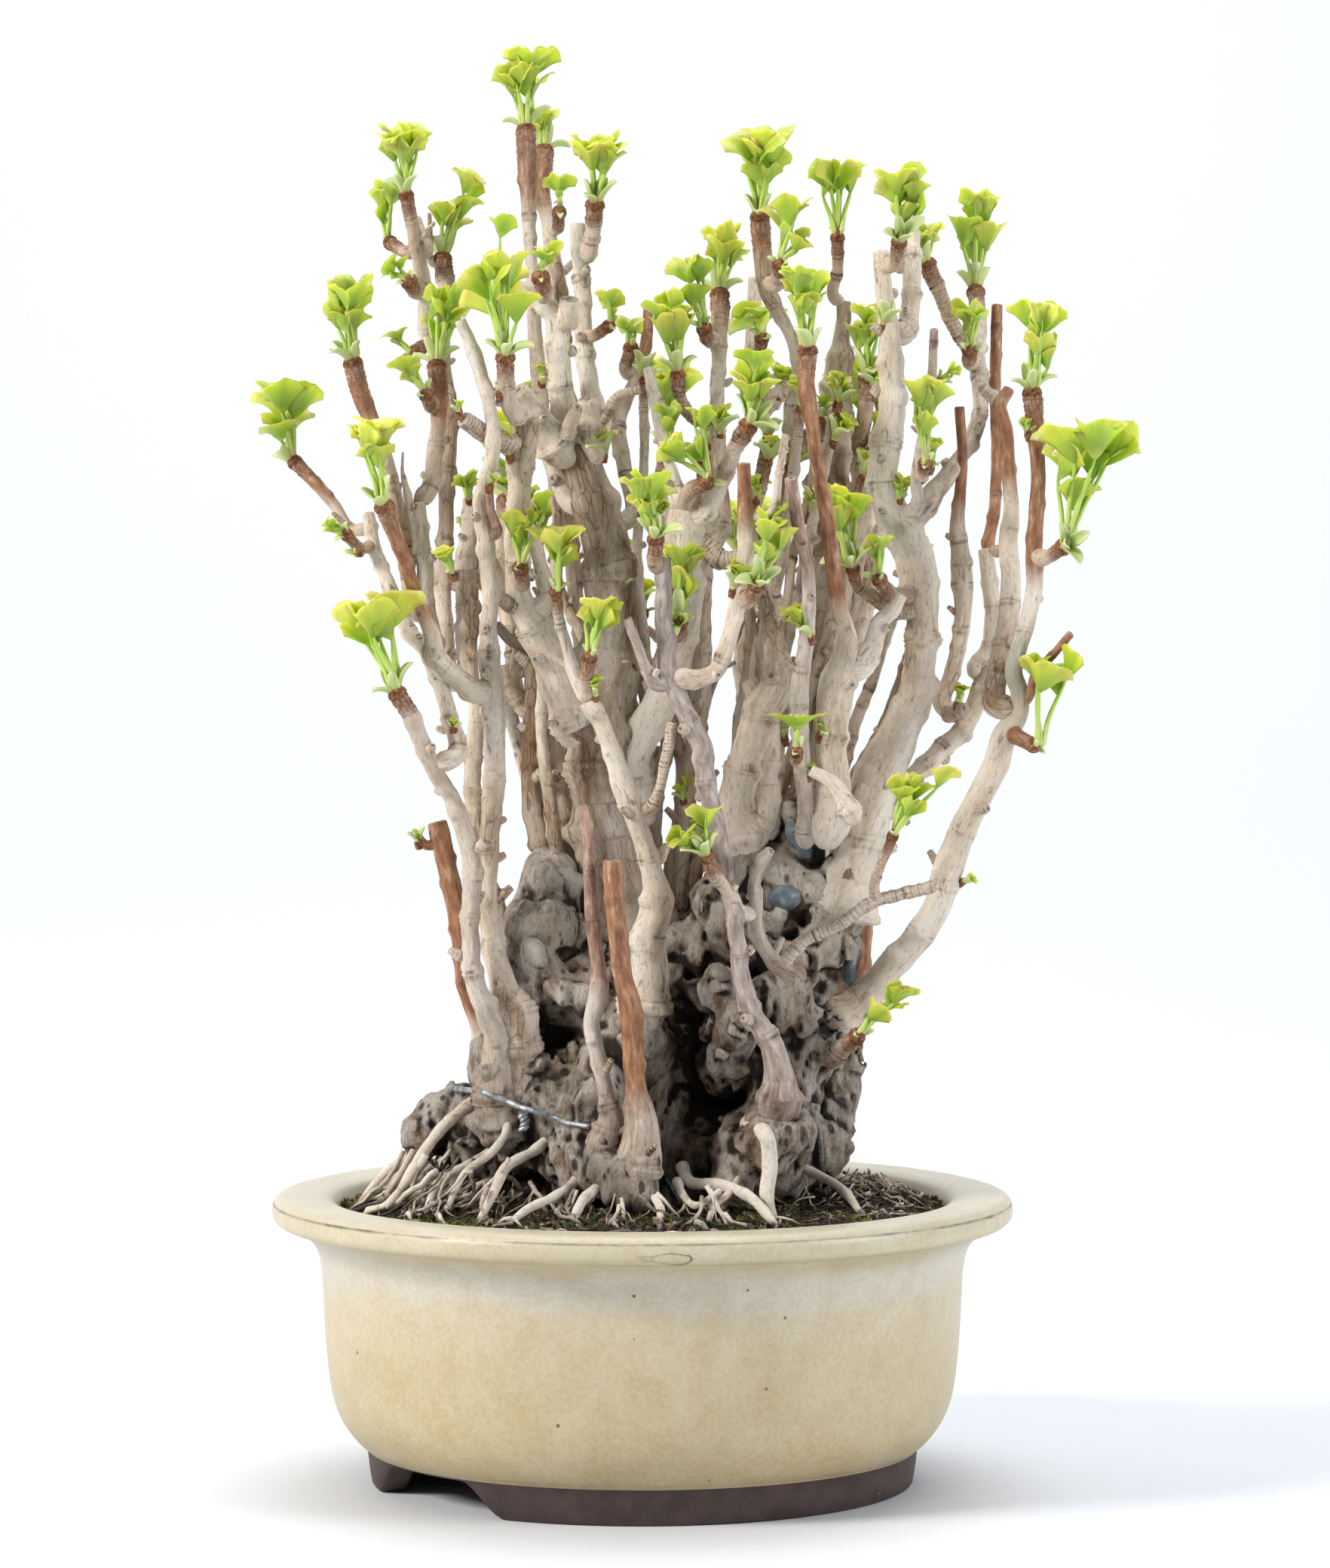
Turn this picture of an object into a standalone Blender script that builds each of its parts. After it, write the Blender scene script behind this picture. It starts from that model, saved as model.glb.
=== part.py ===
"""Ginkgo bonsai in a round cream pot, built in metres with +Z up.

The pot, the soil, the whole tree and the tie wire are one body each, and every spray of young
leaves is a body of its own. Stems are listed in millimetres as they are seen from the front.
"""
import math

import bmesh
import bpy
import numpy as np
from mathutils import Vector
from mathutils.bvhtree import BVHTree

MM = 0.001

# The point the front view is measured from, in mm from the middle of the pot's foot.
EYE_X = 7.6
EYE_BACK = 1800.0
EYE_Z = 304.0

# From the middle of the pot to the middle of the whole object's bounds, in mm.
MIDDLE_X = 16.05
MIDDLE_Y = 0.0

# Pot: outer line from the foot up to the rim, then the lip and the inside, as radius and height in mm.
POT_COLUMNS = 32
POT_FIRST_COLUMN = 29.0
FOOT_OUTER = 91.5
FOOT_INNER = 82.0
FOOT_CUT_HEIGHT = 11.2
FOOT_CUT_FROM = 29.0
FOOT_CUT_TO = 74.0
FOOT_CUT_SLOPE = 11.25
POT_OUTSIDE = [(93.0, 12.6), (99.0, 18.0), (105.0, 30.0), (107.3, 52.0), (108.5, 73.0), (113.0, 84.0),
               (122.5, 88.4), (124.9, 91.8), (123.6, 96.2), (120.0, 97.6)]
POT_INSIDE = [(103.5, 95.2), (99.0, 87.0), (98.0, 26.0), (90.0, 20.0)]
POT_UNDERSIDE = 12.0

# Soil, and the plain foot of the tree that stands in it.
SOIL_GAP = 0.45
SOIL_BOTTOM = 21.0
SOIL_EDGE = 86.5
SOIL_CROWN = 95.0
TREE_FOOT_BOTTOM = 80.0
TREE_FOOT_TOP = 98.0
TREE_FOOT_TAPER = 0.97
TREE_FOOT_MIDDLE = (-4.0, -4.0)
TREE_FOOT_REACH = [66, 64, 58, 54, 56, 58, 60, 66, 76, 70, 62, 58, 60, 60, 58, 62]

# Leaves.
BLADE_THICKNESS = 0.7
PETIOLE_RADIUS = 0.75
SEAT_GAP = 0.6
STEM_CLEARANCE = 1.0
LEAF_CLEARANCE = 2.1
OWN_CLEARANCE = 1.9

TREE_TRIANGLES = 6900

WIRE_RADIUS = 1.0
WIRE_OFF_WOOD = 0.45

# The burl: three bodies, each a middle line (across, up, depth at its foot and its top) with the lumps
# that swell out around it (across, up, depth behind the pot's middle, radius).
BURL = [
    ((-4, 96, -4), (4, 192, 2), [
        (-45, 140, -8, 14), (-38, 122, -8, 18), (-52, 120, -4, 11), (-61, 127, 0, 9), (-68, 124, -2, 9),
        (-75, 117, -4, 8), (-57, 111, -4, 10), (-20, 130, -20, 20), (-14, 110, -28, 20), (-5, 150, -10, 18),
        (-12, 105, -44, 10), (-4, 104, -50, 9), (14, 135, 20, 18), (14, 114, 16, 18), (38, 114, -14, 14),
        (45, 122, -34, 11), (56, 149, -12, 12), (30, 142, -6, 13), (56, 114, -6, 14), (62, 126, -2, 11),
        (60, 141, 4, 14), (67, 158, -2, 9), (23, 160, -14, 11), (-8, 165, 4, 20), (16, 178, 6, 15),
        (20, 150, 30, 24), (-20, 148, 24, 24), (48, 138, 26, 20), (-12, 118, 32, 23), (40, 112, 30, 20),
        (30, 176, 26, 17), (-14, 182, 22, 14), (46, 160, -14, 12)]),
    ((-34, 146, -8), (-32, 212, -4), [
        (-34, 185, -8, 15), (-36, 170, -6, 16), (-30, 200, -2, 11), (-42, 160, -8, 12),
        (-25, 165, -14, 13)]),
    ((48, 146, -4), (54, 228, -4), [
        (46, 162, -18, 12), (52, 176, -6, 13), (40, 184, -2, 16), (62, 180, -4, 11), (60, 197, -6, 10),
        (46, 202, -2, 12), (28, 192, 2, 14), (34, 214, -2, 8), (69, 206, -8, 8), (70, 222, -12, 6),
        (62, 222, -10, 6), (52, 188, 14, 11), (60, 160, 0, 14)]),
]

# Stems: name, the stem it grows from, depth at each end, and points as across, up and radius.
STEMS = [
    ("trunk", None, 5, 5, [(-4, 140, 17), (-4, 150, 16), (-8, 200, 14), (-12, 230, 11.5), (-13, 260, 11),
                           (-11, 285, 10), (-11, 305, 9), (-14, 322, 7.5), (-18, 337, 7), (-22, 348, 6)]),
    ("knob", "trunk", 4, -8, [(-25, 347, 5.5), (-30, 352, 5), (-37, 360, 5), (-42, 367, 4.3)]),
    ("mid", "trunk", 6, -6, [(-24, 350, 4.5), (-27, 362, 4), (-28, 380, 4.2), (-30, 393, 3.6),
                             (-37, 400, 3), (-42, 403, 2.2)]),
    ("mid_stub", "mid", -2, -8, [(-26, 391, 3.2), (-24.5, 398, 3)]),
    ("mid_spur", "mid", -4, -14, [(-33, 400, 2.4), (-34, 405, 2.8)]),
    ("crown_stub", "trunk", 4, 0, [(-18, 345, 5), (-17.5, 355, 4.2), (-18, 364, 4.2)]),
    ("ringed_c", "crown_stub", 3, -6, [(-14, 358, 2), (-8, 366, 1.7), (-1, 368, 1.4)]),
    ("leader", "trunk", 12, 34, [(-22, 330, 3.6), (-30, 343, 3), (-35, 375, 2.6), (-37, 405, 2.2),
                                 (-38, 425, 2.3), (-38.5, 442, 3.3), (-39, 454, 3.5)]),
    ("leader_b", "trunk", 14, 56, [(-22, 352, 3.4), (-27, 372, 3), (-27, 395, 2.8), (-30, 412, 2.6),
                                   (-32, 425, 2.3), (-34, 436, 3), (-33, 447, 3.4)]),
    ("leader_b_spur", "leader_b", 40, 30, [(-29, 422, 1.8), (-28, 427, 2.2)]),
    ("inner", "trunk", 10, 26, [(-17, 350, 4), (-18, 370, 3.2), (-20, 385, 3), (-20.5, 400, 2.8),
                                (-21.5, 423, 2.6)]),
    ("inner_spur", "inner", 24, 14, [(-19, 413, 2.6), (-17, 419, 2.4), (-16, 429, 3)]),
    ("inner_twig", "inner", 18, 6, [(-17, 386, 1.8), (-12, 389, 2)]),
    ("back_twig", "trunk", 16, 50, [(-4, 325, 3), (-6, 342, 2.6), (-8, 358, 2.8), (-3, 370, 2.2),
                                    (1, 382, 2), (2, 396, 1.6)]),
    ("back_twig_spur", "back_twig", 44, 34, [(-5, 374, 2), (-4, 381, 2.4)]),
    ("pale", "trunk", -8, -15, [(-3, 225, 5), (-2, 245, 5), (3, 257, 5.5), (8, 268, 5.5), (13, 285, 5),
                                (16, 300, 5), (15, 320, 6.5), (14, 328, 5)]),
    ("pale_right", "pale", -15, -30, [(20, 326, 3), (26, 336, 2.8), (31, 348, 2.6), (35, 355, 3)]),
    ("pale_low", "pale", -15, -18, [(20, 316, 3.5), (27, 311, 3), (33, 312, 2.6)]),
    ("pale_spur", "pale", -15, -30, [(16, 334, 2.6), (21, 337, 2.6)]),
    ("pale_up", "pale", -15, -2, [(13, 330, 3), (10, 340, 2.1), (7, 350, 2), (5, 362, 2.2),
                                  (2, 375, 1.7)]),
    ("pale_up_spur", "pale_up", -8, -18, [(8, 346, 1.8), (9, 349, 2)]),
    ("purple", None, -40, -42, [(44, 118, 6), (46, 128, 6), (46, 138, 4.8), (43, 148, 4), (38, 157, 3.6),
                                (34, 168, 3.2), (32, 182, 3), (30, 198, 3), (27, 213, 3), (24, 226, 3),
                                (21, 240, 3.2), (20, 248, 3.6), (16, 256, 3), (12, 265, 3), (9, 272, 3.2),
                                (8, 281, 3), (7, 295, 2.7), (7, 311, 2.7)]),
    ("purple_spur", "purple", -41, -50, [(5, 309, 2.2), (4.5, 317, 2.6)]),
    ("purple_left", "purple", -41, -50, [(5, 269, 2.2), (1, 275, 1.9), (-2, 283, 1.7), (-5, 291, 1.6)]),
    ("bend", "purple", -40, -54, [(12, 271, 3), (18, 271, 2.8), (24, 273, 2.8), (28, 281, 2.8),
                                  (31, 291, 2.8), (33, 302, 2.8), (35, 316, 3), (35, 323, 3.4),
                                  (34.5, 332, 2.5), (34, 343, 2.3)]),
    ("bend_spur", "bend", -46, -58, [(36, 298, 2.4), (38, 302, 2.6)]),
    ("pale_mid_spur", "pale", -15, -27, [(12, 286, 2.6), (12, 290, 2.8)]),
    ("front", None, -22, -38, [(-1, 150, 8), (0, 160, 7), (2, 173, 6), (2, 185, 5), (5, 196, 5),
                               (4, 204, 3.8), (1, 214, 3.4), (-3, 226, 3.4), (-7, 236, 3.8),
                               (-10, 246, 3), (-14, 256, 3), (-18, 263, 3.4)]),
    ("front_tip", "front", -38, -40, [(-22, 270, 2.2), (-25, 280, 1.9), (-28, 291, 1.8), (-29, 299, 2)]),
    ("front_spur", "front", -38, -46, [(-19, 270, 2), (-18, 277, 2.4)]),
    ("front_ringed", "front", -36, -42, [(3, 228, 1.9), (6, 235, 1.8), (8, 245, 1.8), (10, 256, 1.8)]),
    ("orange_a", None, -46, -50, [(-13, 106, 5), (-13, 114, 5), (-11, 122, 4), (-12, 130, 2.8),
                                  (-15, 143, 2.7), (-17, 155, 2.7), (-15, 164, 3.2), (-15, 172, 2.6),
                                  (-17, 190, 2.3), (-18, 208, 2), (-18.5, 220, 2), (-20, 228, 1.6)]),
    ("orange_b", None, -52, -54, [(-3, 98, 7), (-1, 112, 6), (-1, 125, 5), (-2, 131, 3.8),
                                  (-3.5, 147, 3.5), (-4, 159, 3.8), (-6, 168, 3.3), (-8, 182, 3.2),
                                  (-9.5, 197, 3.3), (-10, 209, 3.2)]),
    ("left", None, -18, -34, [(-43, 122, 9), (-43, 128, 8), (-43, 142, 7), (-44, 157, 8.5), (-47, 168, 5),
                              (-50, 182, 4), (-52.5, 196, 3.6), (-52, 212, 3.4), (-50.5, 228, 3.4),
                              (-50, 245, 3.4), (-50, 262, 3.8), (-50.5, 271, 4), (-52, 285, 3),
                              (-51, 298, 2.8), (-52, 312, 2.8), (-54, 330, 2.6), (-50, 350, 2.4),
                              (-52, 365, 2.2), (-55, 376, 2.2), (-61, 391, 2)]),
    ("left_bud", "left", -28, -36, [(-49.5, 320, 1.8), (-51, 328, 1.5), (-51.5, 336, 1.4)]),
    ("left_out", "left", -24, -66, [(-56, 267, 3.6), (-63, 272, 3.6), (-70, 279, 3.8), (-70.5, 284, 3),
                                    (-73, 291, 2.5), (-77, 301, 2.4), (-80, 311, 2.4), (-84, 321, 2.7),
                                    (-86.5, 328, 3.2)]),
    ("far_left", None, -22, -48, [(-48, 122, 8), (-50, 130, 6), (-49, 145, 4), (-52, 158, 3.6),
                                  (-57, 170, 3.4), (-58, 182, 3.2), (-57.5, 196, 3.2), (-57.5, 210, 3.4),
                                  (-60, 219, 3.2), (-64, 230, 3), (-69, 238, 3), (-73, 247, 2.8),
                                  (-77, 256, 2.8), (-82, 265, 3)]),
    ("far_left_up", "far_left", -34, -10, [(-63, 245, 3), (-65, 258, 2.8), (-69, 272, 2.8),
                                           (-74, 282, 2.7), (-78, 286, 2.6), (-81, 293, 2.6),
                                           (-84, 299, 2.8), (-87, 307, 2.5), (-90, 314, 2.5),
                                           (-92, 326, 2.2)]),
    ("far_left_out", "far_left_up", -10, -2, [(-97, 321, 1.9), (-104, 330, 1.9), (-110, 337, 2.1),
                                              (-116, 343, 2.4)]),
    ("far_left_spur", "far_left_up", -14, -28, [(-95, 315, 1.8), (-99, 319, 2)]),
    ("left_back", None, 0, 22, [(-45, 180, 3.4), (-54, 210, 3), (-57, 228, 2.8), (-57, 245, 2.8),
                                (-56, 262, 2.7), (-59, 278, 3.4), (-59, 292, 3.8), (-59, 305, 3.9),
                                (-58, 320, 3.2), (-57.5, 331, 2.9)]),
    ("left_b", "left_back", 8, 2, [(-66, 270, 2.8), (-70, 285, 2.6), (-73, 300, 2.6), (-73, 310, 2.8),
                                   (-74.5, 320, 2.6), (-76, 330, 3)]),
    ("left_c", "left_b", 2, 18, [(-72, 334, 2.6), (-70, 345, 2.8), (-68.5, 358, 2.6), (-68.5, 368, 3.2),
                                 (-69, 375, 3.2)]),
    ("left_c_spur", "left_c", 14, 4, [(-71, 363, 2), (-72.5, 366, 2.2)]),
    ("left_grey", "left_back", 16, 52, [(-63, 270, 2.8), (-66, 285, 2.8), (-67, 305, 2.8),
                                        (-66, 325, 2.7), (-65, 345, 2.6), (-64, 360, 2.3),
                                        (-67, 380, 2.3), (-66, 402, 3), (-67, 411, 3.2)]),
    ("left_top", "left_grey", 44, 30, [(-69, 383, 2.8), (-73, 400, 2.8), (-75, 412, 2.6), (-77, 423, 2.4),
                                       (-79, 432, 2.4)]),
    ("left_top_spur", "left_top", 36, 26, [(-76, 401, 2.4), (-78, 404, 2.6)]),
    ("left_top_side", "left_top", 34, 46, [(-79, 414, 2), (-84, 417, 2.2)]),
    ("left_top_stub", "left_top", 36, 42, [(-74, 414, 2.3), (-76, 425, 2.1)]),
    ("left_top_low", "left_top", 44, 32, [(-73, 383, 2), (-76, 381, 2.2)]),
    ("left_k", "left_b", 6, -14, [(-76, 293, 2.4), (-78, 300, 2.4), (-80, 315, 2.4), (-83, 332, 2.4),
                                  (-88, 350, 2.6), (-92, 360, 2.8), (-95, 368, 3.2), (-97, 376, 3.3)]),
    ("arm", "trunk", -4, -24, [(-20, 255, 7), (-26, 265, 6), (-31, 277, 5.5), (-36, 288, 5.5),
                               (-41, 296, 4.5), (-42, 310, 4), (-42, 320, 4), (-41, 340, 4),
                               (-40, 350, 5), (-38, 358, 4)]),
    ("arm_left", "arm", -20, -34, [(-48, 351, 3.2), (-54, 354, 3), (-60, 358, 2.8)]),
    ("arm_ringed", "arm", -14, -30, [(-44, 296, 2.4), (-48, 298, 2.3), (-52, 302, 2.3), (-57, 305, 2.2),
                                     (-62, 306, 1.9)]),
    ("arm_spur", "arm", -14, -28, [(-41, 303, 2.4), (-41, 308, 2.4)]),
    ("arm_inner", "arm", -12, -8, [(-33, 296, 3), (-35, 312, 2.2), (-38, 322, 2)]),
    ("arm_top", "arm", -24, -38, [(-44, 362, 2.8), (-46, 370, 2.8), (-46, 378, 3)]),
    ("shade", "trunk", 10, 26, [(-20, 190, 4.4), (-28, 204, 4), (-34, 215, 3.6), (-36, 222, 3.6),
                                (-37.5, 240, 3.2), (-37, 258, 3.2), (-36.5, 270, 3), (-37, 281, 2.8),
                                (-44, 284, 2), (-49, 289, 1.8)]),
    ("shade_side", "shade", 22, 18, [(-39, 260, 2), (-44, 266, 2), (-47, 275, 1.8)]),
    ("brown_cut", None, -10, -2, [(-50, 132, 4), (-52, 140, 3), (-56, 155, 2.6), (-60, 168, 2.7),
                                  (-61, 180, 3), (-63, 195, 3.5), (-66, 209, 3.3), (-69, 222, 3.3)]),
    ("brown_bud", "brown_cut", -2, -4, [(-73, 215, 1.6), (-76, 218, 1.5)]),
    ("dead", None, -16, -48, [(48, 164, 6), (50, 170, 4), (44, 176, 2.8), (39, 184, 2.4), (38, 196, 2.3),
                              (39, 207, 2.2), (43, 213, 1.7)]),
    ("dead_left", "dead", -46, -52, [(34, 192, 2.2), (29, 199, 2.2), (24, 205, 2.3), (22, 210, 2.2)]),
    ("ringed_r", "dead", -44, -30, [(55, 183, 2.2), (66, 188, 2.1), (76, 195, 2.1), (86, 198, 2),
                                    (98, 201, 2.2)]),
    ("ringed_r_up", "ringed_r", -38, -40, [(78, 200, 1.6), (80, 207, 1.5), (84, 217, 1.8)]),
    ("right_low", None, -14, -34, [(62, 142, 4), (67, 146, 2.8), (72, 150, 2.6)]),
    ("right", None, -4, -30, [(60, 150, 8), (66, 158, 7), (74, 163, 5.5), (84, 174, 5), (93, 184, 4.8),
                              (100, 196, 4.8), (103, 207, 5), (108, 220, 4.5), (114, 232, 4.5),
                              (119, 242, 4.2), (122, 252, 4), (126, 258, 3.4), (127, 266, 3),
                              (125, 273, 2.8), (127, 282, 2.8), (130, 292, 2.8), (132, 302, 2.8),
                              (131.5, 313, 2.7), (132.5, 327, 2.6), (133, 342, 2.5), (132, 356, 2.9),
                              (131, 366, 3.4)]),
    ("right_in", "right", -8, 16, [(120, 262, 3.6), (120, 276, 3.4), (123, 290, 3.5), (124, 305, 3.3),
                                   (123, 316, 3.2), (124, 328, 2.6), (123, 342, 2.5), (122, 355, 2.4),
                                   (120, 363, 2.4), (123, 368, 2)]),
    ("right_link", "right_in", 14, 18, [(116, 367, 2), (113, 371, 2)]),
    ("stout", None, -8, -4, [(64, 184, 9), (68, 195, 9), (72, 210, 9), (76, 228, 9), (82, 243, 7.5),
                             (88, 256, 6.6), (92, 267, 5.8), (93.5, 280, 5.2), (94, 296, 5.8),
                             (91, 312, 6.5), (85, 324, 6), (81, 336, 5.2), (82, 350, 5.2),
                             (83.5, 362, 4.4), (83, 384, 4), (82, 393, 3.2), (81, 403, 2.9),
                             (80, 414, 2.8)]),
    ("right_dark", "stout", 4, 18, [(84, 228, 4), (92, 238, 3.5), (100, 246, 3.4), (108, 254, 3.3),
                                    (113, 266, 3.3), (117, 276, 3.3)]),
    ("right_cut", "right_dark", 14, 26, [(113, 273, 2.8), (117, 282, 2.8), (118, 292, 2.8),
                                         (117, 303, 2.6), (115.5, 314, 2.5)]),
    ("right_red", "right_cut", 26, 52, [(118, 325, 2), (119, 340, 1.9), (118.5, 370, 1.9),
                                        (119, 396, 1.9)]),
    ("right_twig", "right", -12, -30, [(128, 264, 1.6), (133, 274, 1.5), (138, 279, 1.4),
                                       (144, 286, 1.4)]),
    ("right_side", "right", -8, -26, [(127, 251, 2.4), (131, 249, 2.4)]),
    ("right_spur", "right", -20, -40, [(136, 312, 2.2), (141, 315, 2.6)]),
    ("inner_r", "right_dark", 12, 10, [(101, 262, 2.8), (104, 272, 2.6), (107, 285, 2.6), (108, 296, 3),
                                       (107.5, 304, 3.6), (107, 313, 3.2), (106, 322, 2.6), (107, 335, 2),
                                       (107.5, 345, 1.9), (106.5, 362, 1.7)]),
    ("inner_r_ringed", "inner_r", 12, -4, [(103, 259, 2.3), (108, 261, 2.2)]),
    ("stout_side", "stout", -4, 16, [(88, 387, 3.4), (90, 395, 3.2), (90.5, 408, 3.2), (90, 421, 3)]),
    ("stout_spur", "stout", -4, -18, [(84, 410, 2.2), (86, 417, 2.4)]),
    ("stick", "stout", -12, -44, [(92, 328, 2.2), (92, 338, 1.9), (94, 352, 1.7), (97, 370, 1.6),
                                  (98, 388, 1.4)]),
    ("stick_spur", "stick", -24, -38, [(94, 339, 1.8), (95, 343, 2.2)]),
    ("lichen", "stout", -4, 34, [(92, 326, 4), (96, 331, 3.8), (101, 337, 3.2), (106, 344, 2.6),
                                 (111, 352, 2.8), (113.5, 362, 2.5), (113, 372, 2.8), (112, 379, 3)]),
    ("lichen_up", "lichen", 34, 54, [(113, 388, 2.6), (112, 400, 2.8)]),
    ("lichen_spur", "lichen", 32, 16, [(110, 377, 2.2), (110, 381, 2.4)]),
    ("lichen_left", "lichen", 34, 22, [(105, 389, 2.3), (100, 400, 2.5), (96, 409, 3)]),
    ("stout_ringed", "stout", -12, -30, [(85, 299, 2.6), (82, 301, 2.4), (80, 304, 2.4)]),
    ("stout_ringed_far", "stout", -10, -26, [(84, 294, 2.4), (77, 299, 2.2), (72, 303, 2),
                                             (71, 307, 2.2)]),
    ("new_r", None, -16, -56, [(62, 214, 6), (64, 230, 5.5), (64, 250, 5.2), (65, 266, 6), (68, 277, 5),
                               (69, 284, 3.6), (67, 292, 2.8), (64, 310, 2.6), (62, 325, 2.5),
                               (59, 342, 2.4), (57, 356, 2.4), (55, 370, 3), (55.5, 380, 3.2)]),
    ("new_r_side", "new_r", -34, -30, [(72, 275, 4), (77, 281, 3.4), (80, 290, 3), (84, 294, 2.6),
                                       (87, 299, 2)]),
    ("old", None, 14, 48, [(54, 196, 7), (56, 230, 6), (58, 260, 6), (60, 290, 6.2), (61, 320, 6.4),
                           (63, 345, 6.5), (65, 362, 5.5), (66, 376, 4.6), (67, 386, 2.8),
                           (67.5, 397, 2.4)]),
    ("old_tip", "old", 46, 36, [(64.5, 399, 1.8), (65.5, 408, 1.9), (65.5, 418, 2.2)]),
    ("old_side", "old", 34, 20, [(72, 335, 2.4), (73, 350, 2.4), (75, 362, 2.8), (75.5, 371, 2.8)]),
    ("inner_n", "pale_low", -6, 24, [(26, 320, 2.6), (26, 340, 2.5), (25, 360, 2.4), (25.5, 375, 2.4),
                                     (26, 388, 3), (26, 399, 3.2)]),
    ("inner_n_spur", "inner_n", 20, 8, [(22, 385, 2.2), (21, 388, 2.4)]),
    ("inner_n_low", "inner_n", 12, 0, [(18, 358, 2), (13, 364, 2.2), (12, 372, 2.4)]),
    ("tall_m", "old", 36, 8, [(52, 350, 3), (50, 362, 2.4), (52, 375, 2), (49, 388, 2), (45, 395, 2.4),
                              (42, 402, 3), (40.5, 413, 3.2), (39.5, 425, 3.3)]),
    ("tall_m_spur", "tall_m", 16, -8, [(45, 404, 2.2), (46, 410, 2.4)]),
    ("arch", "old", 44, 62, [(54, 362, 3), (50, 368, 3.4), (45, 366, 3.2), (40, 360, 3)]),
    ("arch_up", "arch", 58, 72, [(37, 366, 2.6), (37, 385, 2.4), (38, 405, 2.4)]),
    ("arch_spur", "arch_up", 64, 54, [(39, 381, 2), (40, 385, 2.2)]),
    ("mid_r", None, -2, -6, [(34, 205, 7), (34, 215, 7), (32, 230, 6), (35, 245, 6), (40, 258, 6),
                             (46, 270, 5.5), (45, 280, 4), (42, 295, 3), (40, 302, 2.6)]),
    ("mid_r_side", "mid_r", -4, 2, [(40, 222, 5), (41, 238, 4.6), (42, 255, 4.4), (36, 270, 3)]),
    ("front_r", None, -16, -60, [(55, 214, 3.2), (55, 226, 2.8), (54, 240, 3), (53, 255, 3), (53, 270, 3),
                                 (55, 282, 2.6), (56, 303, 2.4), (55, 312, 2.3), (52, 325, 2.2),
                                 (50, 338, 2.2)]),
    ("front_r_spur", "front_r", -28, -40, [(52, 243, 1.8), (52, 246, 2)]),
    ("tan_back", None, 22, 40, [(60, 108, 6), (62, 118, 5), (64, 132, 4.2), (68, 150, 3.8),
                                (73, 172, 3.2), (75, 192, 3), (77, 212, 2.6)]),
    ("rear_a", "trunk", 12, 86, [(-4, 246, 4.4), (4, 266, 4), (10, 290, 3.6), (6, 318, 3.2),
                                 (8, 346, 3)]),
    ("rear_b", "shade", 26, 84, [(-38, 262, 2.8), (-44, 284, 2.8), (-48, 308, 2.8), (-46, 330, 3)]),
    ("rear_c", "old", 20, 84, [(64, 268, 4), (74, 290, 3.6), (76, 318, 3.2), (72, 346, 3)]),
    ("rear_d", None, 24, 92, [(20, 176, 7), (24, 198, 5), (34, 226, 4.4), (38, 250, 3.8), (34, 276, 3.4),
                              (36, 300, 3.2)]),
]

# Surface roots, which run over the soil: points as x, y, height above the soil and radius.
ROOTS = [
    [(-62, -8, 26, 5), (-72, -12, 20, 4.2), (-80, -16, 10, 3.6), (-86, -20, 4.4, 3.2)],
    [(-50, -20, 14, 4.4), (-62, -26, 11, 3.4), (-72, -34, 5.5, 2.8), (-78, -40, 3.2, 2.4)],
    [(-40, -30, 12, 4), (-52, -42, 8, 3.2), (-57, -54, 3.4, 2.6)],
    [(18, -34, 13, 4), (31, -52, 6, 3), (42, -66, 3.4, 2.6)],
    [(60, 18, 12, 5), (74, 28, 6, 4), (84, 36, 4, 3)],
    [(-20, 40, 12, 5), (-30, 58, 7, 4), (-36, 72, 4, 3)],
    [(24, 40, 12, 5), (34, 60, 6, 4), (46, 74, 4, 3)],
]

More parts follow.
